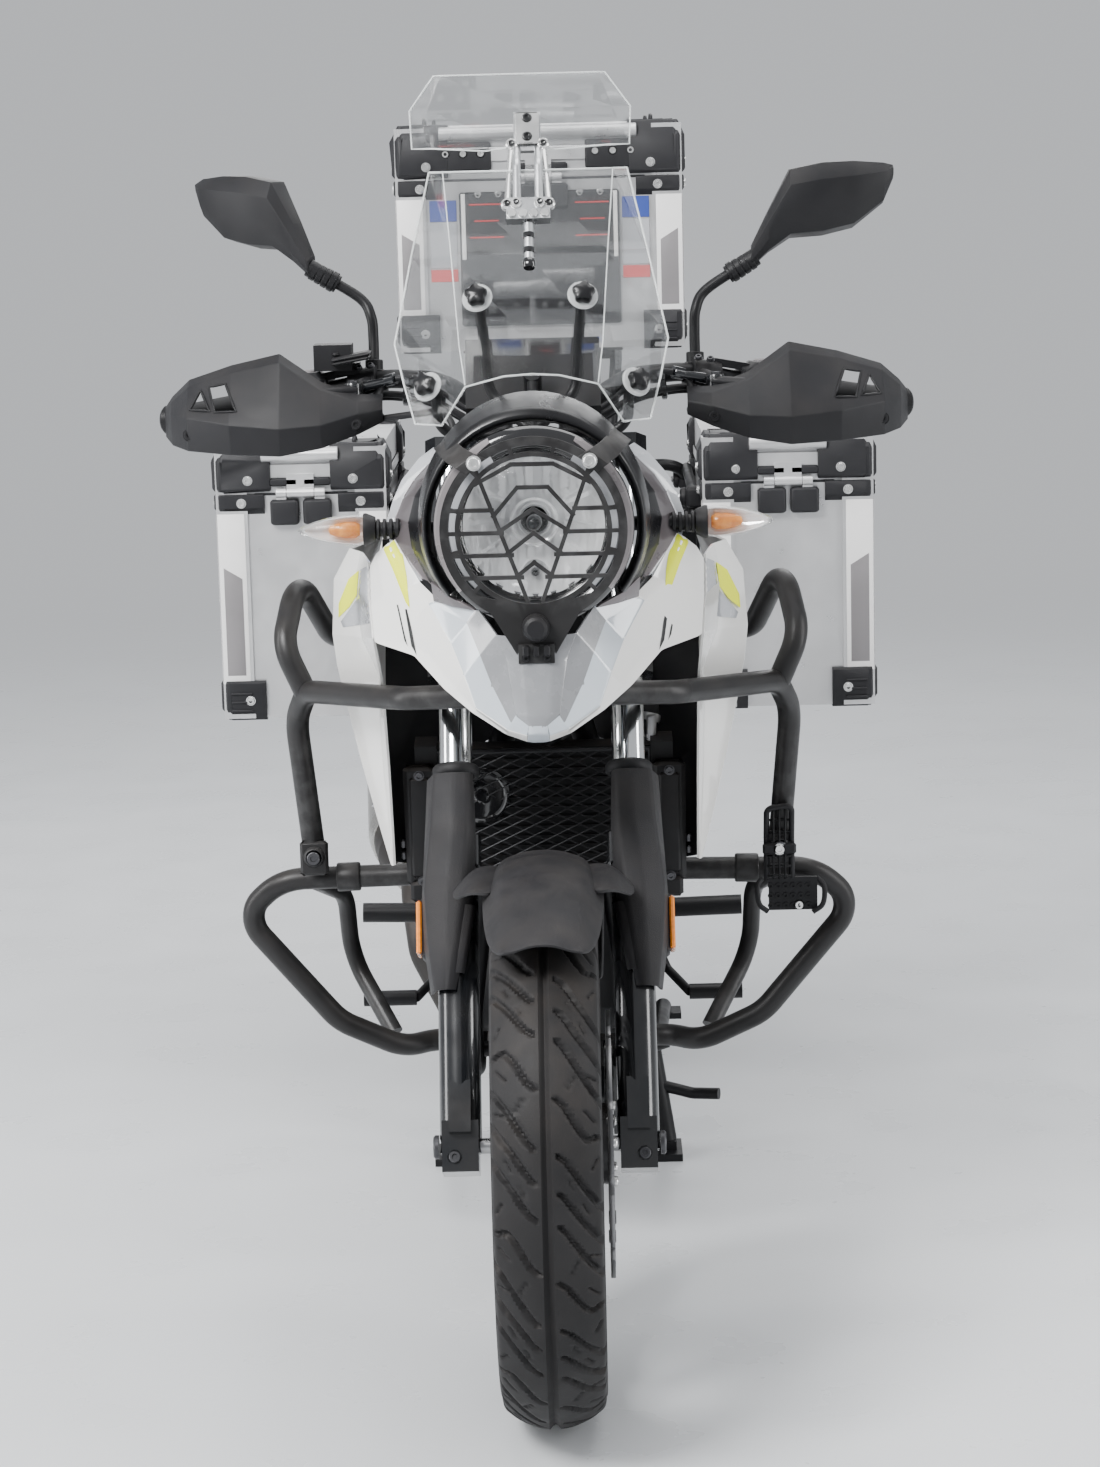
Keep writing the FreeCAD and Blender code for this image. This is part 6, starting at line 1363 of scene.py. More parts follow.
def dress_case(name, x_low, x_high, back_low, back_high, low, seam, top, lid_body):
    """Corners, strips, swages, seal, hinge, bar, latch and lashing loops of one case."""
    y0, y1 = AXLE_Y + back_low, AXLE_Y + back_high
    corners = [(x, y, sx, sy) for x, sx in ((x_low, -1), (x_high, 1)) for y, sy in ((y0, -1), (y1, 1))]
    foot, band, cap, rivets, lid_rivets = shapes(5)
    for x, y, sx, sy in corners:
        case_corner(foot, x, y, low - 3, low + 54, sx, sy, 56, 8, 3, 17, ((low - 3, -5.6), (low + 1, -3)))
        case_corner(band, x, y, seam - 30, seam - 1.5, sx, sy, 64, 7, 2, 9)
        case_corner(cap, x, y, seam + 2, top + 5, sx, sy, 74, 9, 22, 5, ((top - 1, -3.8), (top + 5, -8.6)))
        for z, group, reach in ((low + 26, rivets, 34), (seam - 14, rivets, 32), (seam + 18, lid_rivets, 42)):
            proud = 8.2 if group is rivets else 9.2
            group.bolt(mm(x - sx * reach, y + sy * proud, z), (0, sy, 0), 5.5, 2.5)
            group.bolt(mm(x + sx * proud, y - sy * reach, z), (sx, 0, 0), 5.5, 2.5)
    for x, y, sx, sy in corners:
        for rib in (12, 24, 36):
            foot.block(mm(x - sx * 22, y + sy * 8, low + rib), (30, 4, 3), cut=0.8)
    piece(name + "_foot_corners", foot, "case_black", bevel=1.5, smooth=30)
    piece(name + "_rim_corners", band, "case_black", bevel=1.2, smooth=30)
    piece(name + "_lid_corners", cap, "case_black", body=lid_body, bevel=2.0, smooth=30)
    piece(name + "_rivets", rivets, "rivet")
    piece(name + "_lid_rivets", lid_rivets, "rivet", body=lid_body)
    white, grey = shapes(2)
    z0, z1 = low + 50, seam - 29
    for x, y, sx, sy in corners:
        outer_y, outer_x = y + sy * 4.6, x + sx * 4.6
        for inset, wide, z_a, z_b, group, proud, peak in (
                (0, 38, z0, z1, white, 0.0, 0), (6, 26, z0 + 12, z0 + (z1 - z0) * 0.62, grey, 0.3, 16)):
            levels = (z_a, z_a, z_b, z_b + peak)
            near, far = 3 - inset, 3 - inset - wide
            faces = [(0, 1, 2, 3), (3, 2, 1, 0)]
            if sx * sy < 0:
                faces.reverse()
            spots = (near, far, far, near)
            group.add([mm(x + sx * a, outer_y + sy * proud, z) for a, z in zip(spots, levels)], faces[:1])
            group.add([mm(outer_x + sx * proud, y + sy * a, z) for a, z in zip(spots, levels)], faces[1:])
    piece(name + "_corner_strips", white, "sticker_white", wall=0.3)
    piece(name + "_strip_fields", grey, "sticker_grey", slot="case_alloy", wall=0.3)
    middle, centre = (x_low + x_high) / 2, (y0 + y1) / 2
    wide, deep = x_high - x_low, y1 - y0
    sides, ends = ((-1, x_low), (1, x_high)), ((-1, y0), (1, y1))
    swages, lid, seal, box_hinge, lid_hinge, bar, keeper, latch, loops = shapes(9)
    for sx, x in sides:
        for share in (0.34, 0.66):
            swages.block(mm(x + sx * 0.6, centre, low + (seam - low) * share), (3.2, deep - 150, 46))
    swages.block(mm(middle, y1 + 0.6, (low + seam) / 2), (wide - 130, 3.2, seam - low - 120))
    lid.block(mm(middle, centre, top + 1.2), (wide - 130, deep - 130, 5), cut=2)
    for sx, x in sides:
        lid.block(mm(x + sx * 1.0, centre, seam + 12), (4, deep - 128, 14), cut=1.2)
    for sy, y in ends:
        seal.block(mm(middle, y + sy * 0.4, seam - 2.2), (wide - 100, 3, 3.4), cut=1)
    for sx, x in sides:
        seal.block(mm(x + sx * 0.4, centre, seam - 2.2), (3, deep - 100, 3.4), cut=1)
    for dx in (-23, 23):
        box_hinge.block(mm(middle + dx, y0 - 9.5, seam - 27), (40, 15, 36), cut=3)
        lid_hinge.block(mm(middle + dx, y0 - 5.5, seam + 15), (40, 9, 12), cut=2.5)
    span = wide / 2 - 62
    bar.rod(mm(middle - span, y0 - 5, top - 9), mm(middle + span, y0 - 5, top - 9), 10)
    bar.block(mm(middle, y0 - 2, seam + (top - seam) * 0.5 - 2), (2 * span, 4, 22), cut=1)
    keeper.block(mm(middle, y1 + 6, seam - 34), (64, 12, 50), cut=3)
    keeper.turned([(0, 7), (8, 7), (9.5, 5), (9.5, 0), (0, 0)], mm(middle, y1 + 12, seam - 42), (0, 1, 0), 24)
    latch.block(mm(middle, y1 + 7, seam + 14), (58, 12, 26), cut=3)
    for x, y, sx, sy in corners:
        base = Vector((x - sx * 40, y - sy * 30, top + 2))
        arch = [(base + Vector((0, *spot))) * MM for spot in ((-13, 0), (-12, 7), (0, 10), (12, 7), (13, 0))]
        loops.bent(arch, 3, 10, fine=5)
    for part, shape, look, options in (
            ("_swages", swages, "case_alloy", {"bevel": 0.8}),
            ("_lid_swages", lid, "case_alloy", {"bevel": 0.8, "body": lid_body}),
            ("_seal", seal, "case_black", {}),
            ("_hinge_blocks", box_hinge, "case_black", {"bevel": 1}),
            ("_hinge_leaves", lid_hinge, "case_black", {"bevel": 1, "body": lid_body}),
            ("_lid_bar", bar, "case_alloy", {"smooth": 35, "body": lid_body}),
            ("_latch_base", keeper, "case_black", {"bevel": 1}),
            ("_latch_hook", latch, "case_black", {"bevel": 1, "body": lid_body}),
            ("_lid_loops", loops, "case_black", {"body": lid_body})):
        piece(name + part, shape, look, **options)


dress_case("left_case", 226, 458, 1150, 1590, 584, 905, 967, "left_case_lid")
dress_case("right_case", -458, -226, 1150, 1590, 584, 905, 967, "right_case_lid")
dress_case("top_case", -207, 207, 1450, 1860, 1078, 1330, 1404, "top_case_lid_body")


def top_case_front():
    """Black facing of the top case with thin red lines, and plain colour fields beside it."""
    panel, lines, strips, rivets = shapes(4)
    face = AXLE_Y + 1450
    panel.block(mm(0, face - 3, 1212), (236, 8, 196), cut=3)
    for sx in (1, -1):
        for z, wide in ((1292, 50), (1268, 36), (1244, 50)):
            lines.block(mm(sx * 78, face - 7.3, z), (wide, 0.8, 2.2), cut=0.3)
        strips.block(mm(sx * 112, face - 7.6, 1260), (6, 1.6, 96), cut=0.5)
        for x in (60, 90):
            rivets.bolt(mm(sx * x, face - 7, 1306), (0, -1, 0), 4.5, 2)
    piece("top_case_facing", panel, "case_black", bevel=1.5)
    piece("top_case_lines", lines, "red")
    piece("top_case_edges", strips, "sticker_white")
    piece("top_case_studs", rivets, "rivet")
    fields = (("blue", 1268, 1299), ("pale_grey", 1200, 1266), ("red", 1180, 1198))
    for finish, z0, z1 in fields:
        shape = Shape()
        for sx in (1, -1):
            shape.block(mm(sx * 142, face - 0.6, (z0 + z1) / 2), (40, 1.4, z1 - z0), cut=0.4)
        piece("top_case_field_" + finish, shape, finish, slot="case_alloy")
    plates, studs = shapes(2)
    for sx in (1, -1):
        plates.block(mm(sx * 112, face - 4, 1362), (86, 8, 42), cut=2.5)
        for k in range(3):
            studs.bolt(mm(sx * (84 + 26 * k), face - 8, 1366), (0, -1, 0), 5, 2.4)
    piece("top_lid_plates", plates, "case_black", body="top_case_lid_body", bevel=1)
    piece("top_lid_studs", studs, "rivet", body="top_case_lid_body")


top_case_front()


# Markings on the painted panels

def markings():
    """Yellow bands, dark lines and colour fields, laid from the photograph's view and mirrored."""
    tree = skin_tree(cheeks)
    bands = (
        # finish, then picture outlines on the left cheek as the camera sees it, on the machine's left
        ("yellow", ((671, 536), (684, 531), (691, 536), (680, 562), (668, 596), (664, 602), (666, 570))),
        ("line", ((667, 603), (669, 603), (664, 640), (659, 650), (663, 622))),
        ("line", ((676, 598), (677.4, 598), (671, 634), (668, 640), (672, 620))),
    )
    for number, (finish, outline) in enumerate(bands):
        shape = film(outline, tree).mirrored()
        piece("cheek_band_" + str(number), shape, finish, slot="body_white", wall=FILM_WALL)
    tree = skin_tree(cowls)
    fields = (
        ("yellow", ((716, 562), (727, 570), (739, 594), (740, 608), (728, 598), (719, 586))),
        ("pale_grey", ((702, 556), (714, 561), (718, 588), (738, 612), (736, 618), (702, 615))),
    )
    for number, (finish, outline) in enumerate(fields):
        shape = film(outline, tree, lift=0.5 if finish == "yellow" else 0.3).mirrored()
        piece("cowl_field_" + str(number), shape, finish, slot="body_white", wall=FILM_WALL)


markings()


# Front brake

DISC_X = 66.0
DISC_RADIUS = 145.0
FACING_LEFT = Matrix(((0, 0, 1, 0), (1, 0, 0, 0), (0, 1, 0, 0), (0, 0, 0, 1)))


def disc_outline():
    """A scalloped edge: ten shallow bites out of a circle."""
    bite, away = 14.0, DISC_RADIUS + 9
    line = []
    for step in range(240):
        angle = math.tau * step / 240
        off = (angle + math.pi / 10) % (math.pi / 5) - math.pi / 10
        reach = DISC_RADIUS
        if abs(away * math.sin(off)) < bite:
            reach = min(reach, away * math.cos(off) - math.sqrt(bite ** 2 - (away * math.sin(off)) ** 2))
        line.append(polar(reach, angle))
    return line


def front_brake():
    """Drilled petal disc on its black carrier, and the bosses and bolts of the caliper."""
    to_wheel = Matrix.Translation((DISC_X * MM, HUB.y, HUB.z)) @ FACING_LEFT
    holes = [circle(3.6, 12, *polar((116, 125, 134)[k % 3], angle)) for k, angle in enumerate(turns(45))]
    ring = flat_plate([disc_outline(), circle(108, 96)] + holes, 5, to_wheel)
    piece("front_disc_ring", ring, "disc_steel", ("front_disc",), body="front_wheel_set", smooth=30)
    windows = []
    for k in range(6):
        corners = []
        for reach, low, high in ((48, -15, 11), (96, -25, 15)):
            spread = [low + (high - low) * i / 5 for i in range(6)]
            corners += [(reach, a) for a in (spread if reach < 60 else reversed(spread))]
        windows.append([polar(r, math.radians(a + 60 * k)) for r, a in corners])
    carrier = flat_plate([circle(106, 96), circle(35, 48)] + windows, 6, to_wheel)
    for angle in turns(6, 0.5):
        spot = to_wheel @ mm(*polar(106, angle), -4)
        carrier.turned([(0, 0), (7, 0), (7.6, 1), (7.6, 7), (7, 8), (0, 8)], spot, (1, 0, 0), 20)
    piece("front_disc_carrier", carrier, "wheel_black", body="front_wheel_set", smooth=30)
    heads = Shape()
    for angle in turns(5, 0.25):
        heads.bolt(to_wheel @ mm(*polar(43, angle), 3), (1, 0, 0), 5.5, 4)
    piece("front_disc_bolts", heads, "rivet", body="front_wheel_set")
    caliper, pins = shapes(2)
    outward = Vector((1, 0, 0))
    for behind, along in ((88, 97), (116, 62)):
        caliper.turned([(0, 6), (12, 6), (13, 7.5), (16, 7.5), (18, 5), (19, 0), (19, -3), (0, -3)],
            leg_point(DISC_X + 23, behind, along), outward, 36)
    caliper.block(leg_point(DISC_X + 20, 102, 80), (14, 26, 66), RAKE @ tilted(38), 4)
    for behind, along in ((124, 92), (78, 70)):
        pins.bolt(leg_point(DISC_X + 23, behind, along), outward, 5.5, 4)
    for along in (58, 102):
        pins.bolt(leg_point(DISC_X + 30, 66, along), outward, 7, 5)
    piece("caliper_bosses", caliper, "leg_black", body="steering", smooth=32, bevel=0.6)
    piece("caliper_bolts", pins, "dark_bolt", body="steering")


def rear_hub_plates():
    """The rear disc with its holes on the right and the toothed sprocket on the left, with their bosses."""
    hub = middle_of("rear_tyre")
    bore = 12.0

    def plane(x):
        return Matrix.Translation((x * MM, hub.y, hub.z)) @ FACING_LEFT

    def spread(reach, start, count, radius):
        return [circle(radius, 14, *polar(reach, math.radians(start + 360 * k / count)))
            for k in range(count)]

    holes = spread(84, 0, 18, 4) + spread(96, 7, 18, 4) + spread(108, 14, 18, 4) + spread(60, 20, 6, 11)
    disc = flat_plate([circle(120, 120), circle(bore, 32)] + holes, 5, plane(-86))
    piece("rear_disc_plate", disc, "disc_steel", ("rear_disc_and_sprocket",), body="rear_wheel_set",
        smooth=30)
    teeth = []
    count = 40
    for k in range(count):
        for share, reach in ((0.0, 85.5), (0.18, 86), (0.38, 91.4), (0.5, 91.8), (0.62, 91.4), (0.82, 86)):
            teeth.append(polar(reach, math.tau * (k + share) / count))
    sprocket = flat_plate([teeth, circle(bore, 32)] + spread(66, 0, 6, 9) + spread(74, 30, 6, 5), 6.6,
        plane(86))
    piece("rear_sprocket", sprocket, "chain_steel", body="rear_wheel_set", slot="disc_steel", smooth=30)
    bosses, bolts = shapes(2)
    for side, radius in ((-1, 42), (1, 50)):
        bosses.turned([(bore, 62), (radius - 2, 62), (radius, 64), (radius, 80), (radius - 3, 83.4),
            (bore, 83.4)], Vector((0, hub.y, hub.z)), (side, 0, 0), 60, closed=True)
        for k in range(5):
            out, up = polar(radius - 9, math.radians(72 * k + 10))
            bolts.bolt(Vector((side * 89 * MM, hub.y + out * MM, hub.z + up * MM)), (side, 0, 0), 5.5, 3)
    piece("rear_hub_bosses", bosses, "engine_alloy", body="rear_wheel_set", slot="disc_steel", smooth=35)
    piece("rear_hub_bolts", bolts, "dark_bolt", body="rear_wheel_set")


def fork_details():
    """Pinch bolts at the axle, amber side reflectors, dust seals and the clamp's bolts."""
    bolts, plates, holders, seals = shapes(4)
    ahead = RAKE @ Vector((0, -1, 0))
    bolts.bolt(leg_point(103, -23, -14), ahead, 6.5, 3)
    bolts.turned([(0, 4), (7, 4), (8, 6), (11, 6), (13, 4), (13, 0), (0, 0)], leg_point(121, 0, 0), (1, 0, 0),
        24)
    holders.block(leg_point(129, 24, 246), (18, 34, 70), RAKE, 3)
    plates.block(leg_point(141, 22, 246), (6, 30, 60), RAKE, 1.8)
    seals.turned([(21, 0), (25.5, 0), (26.5, 2), (26.5, 9), (24, 12), (21, 13)], leg_point(97, 0, 415),
        RAKE @ Vector((0, 0, 1)), 40, closed=True)
    piece("axle_bolts", bolts.mirrored(), "dark_bolt", body="steering")
    piece("fork_reflector_holders", holders.mirrored(), "trim_black", body="steering")
    piece("fork_reflectors", plates.mirrored(), "amber_plate", body="steering", smooth=20)
    piece("fork_seals", seals.mirrored(), "trim_black", body="steering", slot="leg_black", smooth=50)


# Radiator and what shows round it

COOLER_TILT = tilted(9)


def cooler(x, y, z):
    """A point of the radiator's own frame."""
    return at(0, 354, 498) + COOLER_TILT @ Vector((x, y, z)) * MM


def radiator_details():
    """Diamond mesh in a rim, side covers with bolts, hoses with clips, and a horn."""
    mesh = Shape()
    half, low, high = 123.0, 12.0, 186.0
    pitch = 13.0
    for slope in (0.5, -0.5):
        start = -half * 0.5 - 6
        while start < (high - low) + half:
            ends = [(x, low + start + slope * x) for x in (-half, half)]
            (x0, z0), (x1, z1) = ends
            if max(z0, z1) > low and min(z0, z1) < high:
                cut = []
                for x, z in ends:
                    inside = min(max(z, low), high)
                    cut.append((x if z == inside else x0 + (inside - z0) * (x1 - x0) / (z1 - z0), inside))
                mesh.hose([cooler(x, -3 - (slope > 0), z) for x, z in cut], 0.9, 5)
            start += pitch
    rim = [(-half, low), (half, low), (half, high), (-half, high)]
    mesh.hose([cooler(x, -3, z) for x, z in rim], 2.6, 8, closed=True)
    piece("radiator_guard", mesh, "mesh", smooth=60)
    covers, bolts = shapes(2)
    covers.block(cooler(146, -8, 98), (38, 14, 150), COOLER_TILT, 5)
    covers.block(cooler(146, -16, 98), (24, 6, 124), COOLER_TILT, 3)
    covers.block(cooler(146, -14, 18), (30, 12, 26), COOLER_TILT, 4)
    for z in (32, 164):
        bolts.bolt(cooler(146, -19.5, z), COOLER_TILT @ FORWARD, 5, 3)
    for z in (60, 74):
        bolts.block(cooler(168, -4, z), (6, 8, 10), COOLER_TILT, 1.5)
    piece("radiator_side_covers", covers.mirrored(), "radiator_black", bevel=1.5, smooth=30)
    piece("radiator_cover_bolts", bolts.mirrored(), "dark_bolt")
    hoses, clips = shapes(2)
    upper = smooth_row([at(118, 362, 690), at(122, 374, 720), at(112, 402, 748), at(82, 440, 760)], 6)
    lower = smooth_row([at(-118, 372, 506), at(-124, 388, 480), at(-112, 430, 462), at(-92, 490, 452)], 6)
    hoses.hose(upper, 15, 18)
    hoses.hose(lower, 15, 18)
    hoses.bent([at(38, 338, 715), at(4, 337, 682), at(-22, 337, 655), at(-52, 340, 622)], 4.5, 12)
    hoses.bent([at(40, 345, 716), at(10, 343, 700), at(0, 342, 668), at(20, 343, 648), at(30, 345, 625)], 2.6,
        10)
    hoses.bent([at(-60, 352, 640), at(-76, 356, 668), at(-104, 380, 712), at(-120, 420, 740)], 3.2, 10)
    piece("cooling_hoses", hoses, "trim_black", smooth=60)
    for line in (upper, lower):
        for place in (3, len(line) - 4):
            along = (line[place + 1] - line[place - 1]).normalized()
            clips.turned([(15.2, 0), (16.8, 0), (16.8, 9), (15.2, 9)], line[place], along, 28, closed=True)
    clips.turned([(0, 0), (9, 0), (10, 2), (10, 34), (8, 38), (0, 38)], at(96, 352, 676), (0.1, 0, 1), 28)
    clips.turned([(0, 0), (6, 0), (6, 30), (5, 32), (0, 32)], at(126, 348, 684), (0.05, 0, 1), 24)
    piece("hose_clips", clips, "plain_steel", smooth=40)
    horn = Shape()
    horn.turned([(0, 26), (6, 26), (8, 22), (12, 21), (22, 23), (33, 20), (35.5, 14), (35.5, 8), (30, 4),
        (14, 0), (0, 0)], at(-74, 352, 628), FORWARD, 48)
    horn.turned([(26, 22.6), (28, 24), (30, 22.6), (28, 21)], at(-74, 352, 628), FORWARD, 48, closed=True)
    piece("horn", horn, "gloss", smooth=35)


# Handlebar controls

BAR_END = Vector((node_end("handlebar", 0), 466, 1064))


def bar_spot(x, dx=0.0, back=0.0, up=0.0):
    """A point by the handlebar's straight end, x millimetres from the centre plane."""
    low = Vector((170, 400, 1113))
    point = low + (BAR_END - low) * ((x - low.x) / (BAR_END.x - low.x))
    return at(point.x + dx, point.y + back, point.z + up)


def bar_details():
    """Switches, lever joints, cable adjusters, clamps and the cables that are tied along the bar."""
    along = (bar_spot(300) - bar_spot(200)).normalized()
    turn = Matrix((along, Vector((0, 1, 0)), along.cross(Vector((0, 1, 0))).normalized())).transposed()
    boxes, keys, bolts, cables, joints = shapes(5)
    boxes.block(bar_spot(262, 0, 2, 2), (46, 46, 44), turn, 8)
    boxes.block(bar_spot(262, 0, 24, -2), (38, 12, 40), turn, 5)
    boxes.block(bar_spot(262, 0, -14, -20), (24, 22, 18), turn, 5)
    for dx, up, size in ((-10, 14, (11, 7, 9)), (6, 14, (13, 7, 8)), (-10, 0, (11, 6, 8)),
                         (6, -2, (14, 6, 10)), (-2, -15, (16, 8, 8))):
        keys.block(bar_spot(262, dx, 31, up - 3), size, turn, 1.8)
    keys.turned([(0, 4), (6, 4), (7.5, 2.5), (7.5, 0), (0, 0)], bar_spot(264, 0, 2, 24), (0, 0.1, 1), 20)
    joints.turned([(0, 8), (5, 8), (6, 10), (9, 10), (10, 8), (10, -10), (0, -10)], bar_spot(210, 0, -46, -4),
        (0, 0.05, 1), 28)
    joints.rod(bar_spot(200, 0, -34, -2), bar_spot(168, 0, -40, 0), 6.5, 18, 4.5)
    joints.rod(bar_spot(172, 0, -39, 0), bar_spot(160, 0, -42, 1), 7.5, 10)
    for x in (191, 205):
        bolts.bolt(bar_spot(x, 0, -16, 20), (0, -0.5, 0.85), 4, 3)
        bolts.bolt(bar_spot(x, 0, -22, -16), (0, -0.8, -0.6), 4, 3)
    bolts.bolt(bar_spot(210, 0, -46, 6), (0, 0.05, 1), 6, 3)
    for up, ahead in ((-15, -12), (-20, -2)):
        line = [bar_spot(250, 0, ahead - 6, up - 2), bar_spot(215, 0, ahead - 8, up - 4),
            bar_spot(180, 0, ahead - 8, up), at(140, 388 + ahead, 1108 + up), at(112, 384 + ahead, 1100 + up),
            at(80, 382 + ahead, 1082 + up), at(50, 382 + ahead, 1068 + up), at(22, 384 + ahead, 1060 + up)]
        cables.bent(line, 4.2 if up == -15 else 3.4, 12)
    cables.bent([bar_spot(160, 0, -42, 1), at(138, 352, 1117), at(112, 350, 1104), at(86, 358, 1082),
        at(58, 370, 1066), at(36, 380, 1056)], 3.4, 12)
    for x, level, back in ((146, 1100, 392), (104, 1094, 388)):
        joints.turned([(17, 0), (19, 1), (19, 6), (17, 7)], at(x, back, level), (1, 0, 0.1), 24, closed=True)
    piece("switch_boxes", boxes.mirrored(), "trim_black", body="steering", bevel=1.2, smooth=32)
    piece("switch_keys", keys.mirrored(), "sticker_grey", body="steering", smooth=32)
    piece("lever_joints", joints.mirrored(), "leg_black", body="steering", slot="trim_black", smooth=40)
    piece("control_bolts", bolts.mirrored(), "dark_bolt", body="steering")
    piece("control_cables", cables.mirrored(), "trim_black", body="steering", smooth=60)
    lid = Shape()
    lid.block(bar_spot(226, -14, -34, 38.5), (48, 44, 5), turn, 2)
    lid.block(bar_spot(226, -14, -34, 34), (46, 42, 4), turn, 1.5)
    lid.points = [Vector((-p.x, p.y, p.z)) for p in lid.points]
    lid.faces = [face[::-1] for face in lid.faces]
    for dx in (-32, 4):
        spot = bar_spot(226, dx, -34, 41)
        lid.bolt((-spot.x, spot.y, spot.z), (0, 0, 1), 3.6, 2)
    piece("brake_cup_lid", lid, "trim_black", body="steering", bevel=0.8)


# Crash bars and the small holder

def guard_fittings():
    """Clamps, bolts and end caps on the crash bars, and the mesh pouch in the holder."""
    clamps, bolts = shapes(2)
    ends = at(278, 401, 541)
    clamps.block(ends + mm(0, -14, 4), (34, 8, 42), cut=5)
    clamps.turned([(0, 5), (10, 5), (12, 3), (13, 0), (0, 0)], ends + mm(0, -18, 6), FORWARD, 28)
    bolts.bolt(ends + mm(0, -23, 6), FORWARD, 8, 5)
    for x, back, z in ((115, 424, 516), (115, 481, 292)):
        clamps.block(at(x, back, z), (26, 36, 36), cut=5)
        bolts.bolt(at(x + 2, back - 18, z), FORWARD, 7, 5)
    clamps.turned([(13.5, -14), (16.5, -14), (17.5, -12), (17.5, 12), (16.5, 14), (13.5, 14)],
        at(240, 421.6, 513.6), (1, 0, -0.02), 28, closed=True)
    piece("guard_clamps", clamps.mirrored(), "guard_black", bevel=0.8, smooth=35)
    piece("guard_bolts", bolts.mirrored(), "dark_bolt")
    pouch, straps = shapes(2)
    for z in (476, 488, 500):
        for x in range(266, 320, 9):
            pouch.turned([(1.8, 0), (3.4, 0), (3.4, 1.4), (1.8, 1.4)], at(x, 379.8, z), FORWARD, 14,
                closed=True)
    for z in (512, 524, 536, 552, 566, 580):
        pouch.rod(at(263, 380, z), at(291, 380, z), 1.6, 8)
    for x in (270, 277, 284):
        pouch.rod(at(x, 380, 508), at(x, 372, 596), 1.4, 8)
    straps.bent([at(256, 384, 508), at(250, 376, 500), at(252, 372, 480), at(262, 374, 470)], 3.2, 10, fine=5)
    straps.bent([at(322, 384, 508), at(330, 378, 498), at(328, 374, 478), at(316, 375, 468)], 3.2, 10, fine=5)
    straps.block(at(277, 376, 546), (40, 8, 14), cut=2.5)
    piece("holder_mesh", pouch, "bar_black", smooth=50)
    piece("holder_straps", straps, "trim_black", smooth=40)
    knob = Shape()
    knob.bolt(at(277, 372, 546), FORWARD, 5.5, 4)
    knob.bolt(at(300, 380, 476), FORWARD, 5, 3.5)
    piece("holder_bolts", knob, "rivet")


# Arm of the small upper screen

def arm_details():
    """Side link, joint bolts, clamp lobes and the end knob of the folding arm."""
    upper = at(0, 275.3, 1393)
    lower = at(0, 199.3, 1303)
    tilt_up = tilted(-23.2)
    tilt_low = tilted(-29.6)

    def high(x, y, z):
        return upper + tilt_up @ Vector((x, y, z)) * MM

    def low(x, y, z):
        return lower + tilt_low @ Vector((x, y, z)) * MM

    arm, dark = shapes(2)
    out_up, out_low = tilt_up @ FORWARD, tilt_low @ FORWARD
    arm.block(high(0, -11, -2), (27, 4, 38), tilt_up, 2)
    for z in (10, -12):
        dark.bolt(high(0, -13, z), out_up, 4.6, 3)
    for x in (-22, 22):
        arm.rod(high(x * 0.8, -6, -20), low(x * 1.05, -8, 4), 3.4, 12)
        for spot, out in ((high(x * 0.8, -9, -20), out_up), (low(x * 1.05, -11, 6), out_low)):
            arm.turned([(0, 4), (5, 4), (6.5, 2.5), (6.5, -4), (0, -4)], spot, out, 22)
            dark.bolt(spot + out * 4 * MM, out, 3.4, 2)
    for x in (-18, -6, 6, 18):
        arm.turned([(0, 3), (4.2, 3), (5.2, 1.5), (5.2, -2), (0, -2)], low(x, -14.6, -7), out_low, 18)
    for x in (-13, 13):
        arm.turned([(0, 3), (5.4, 3), (6.4, 1.5), (6.4, -2), (0, -2)], low(x, -14.6, 6), out_low, 20)
        dark.bolt(low(x, -17.4, 6), out_low, 3.4, 2)
    for z in (-16, -34, -52):
        dark.turned([(5.2, 0), (6.6, 1), (6.6, 6), (5.2, 7)], low(0, -7, z), tilt_low @ Vector((0, 0, 1)), 20,
            closed=True)
    dark.turned([(0, 0), (6, 0), (7.4, 2), (7.4, 9), (6, 11), (0, 11)], low(0, -7, -70),
        tilt_low @ Vector((0, 0, 1)), 22)
    piece("arm_links", arm, "rivet", slot="arm_metal", smooth=35)
    piece("arm_bolts", dark, "gloss", smooth=35)


# Engine, tank, seat and tail

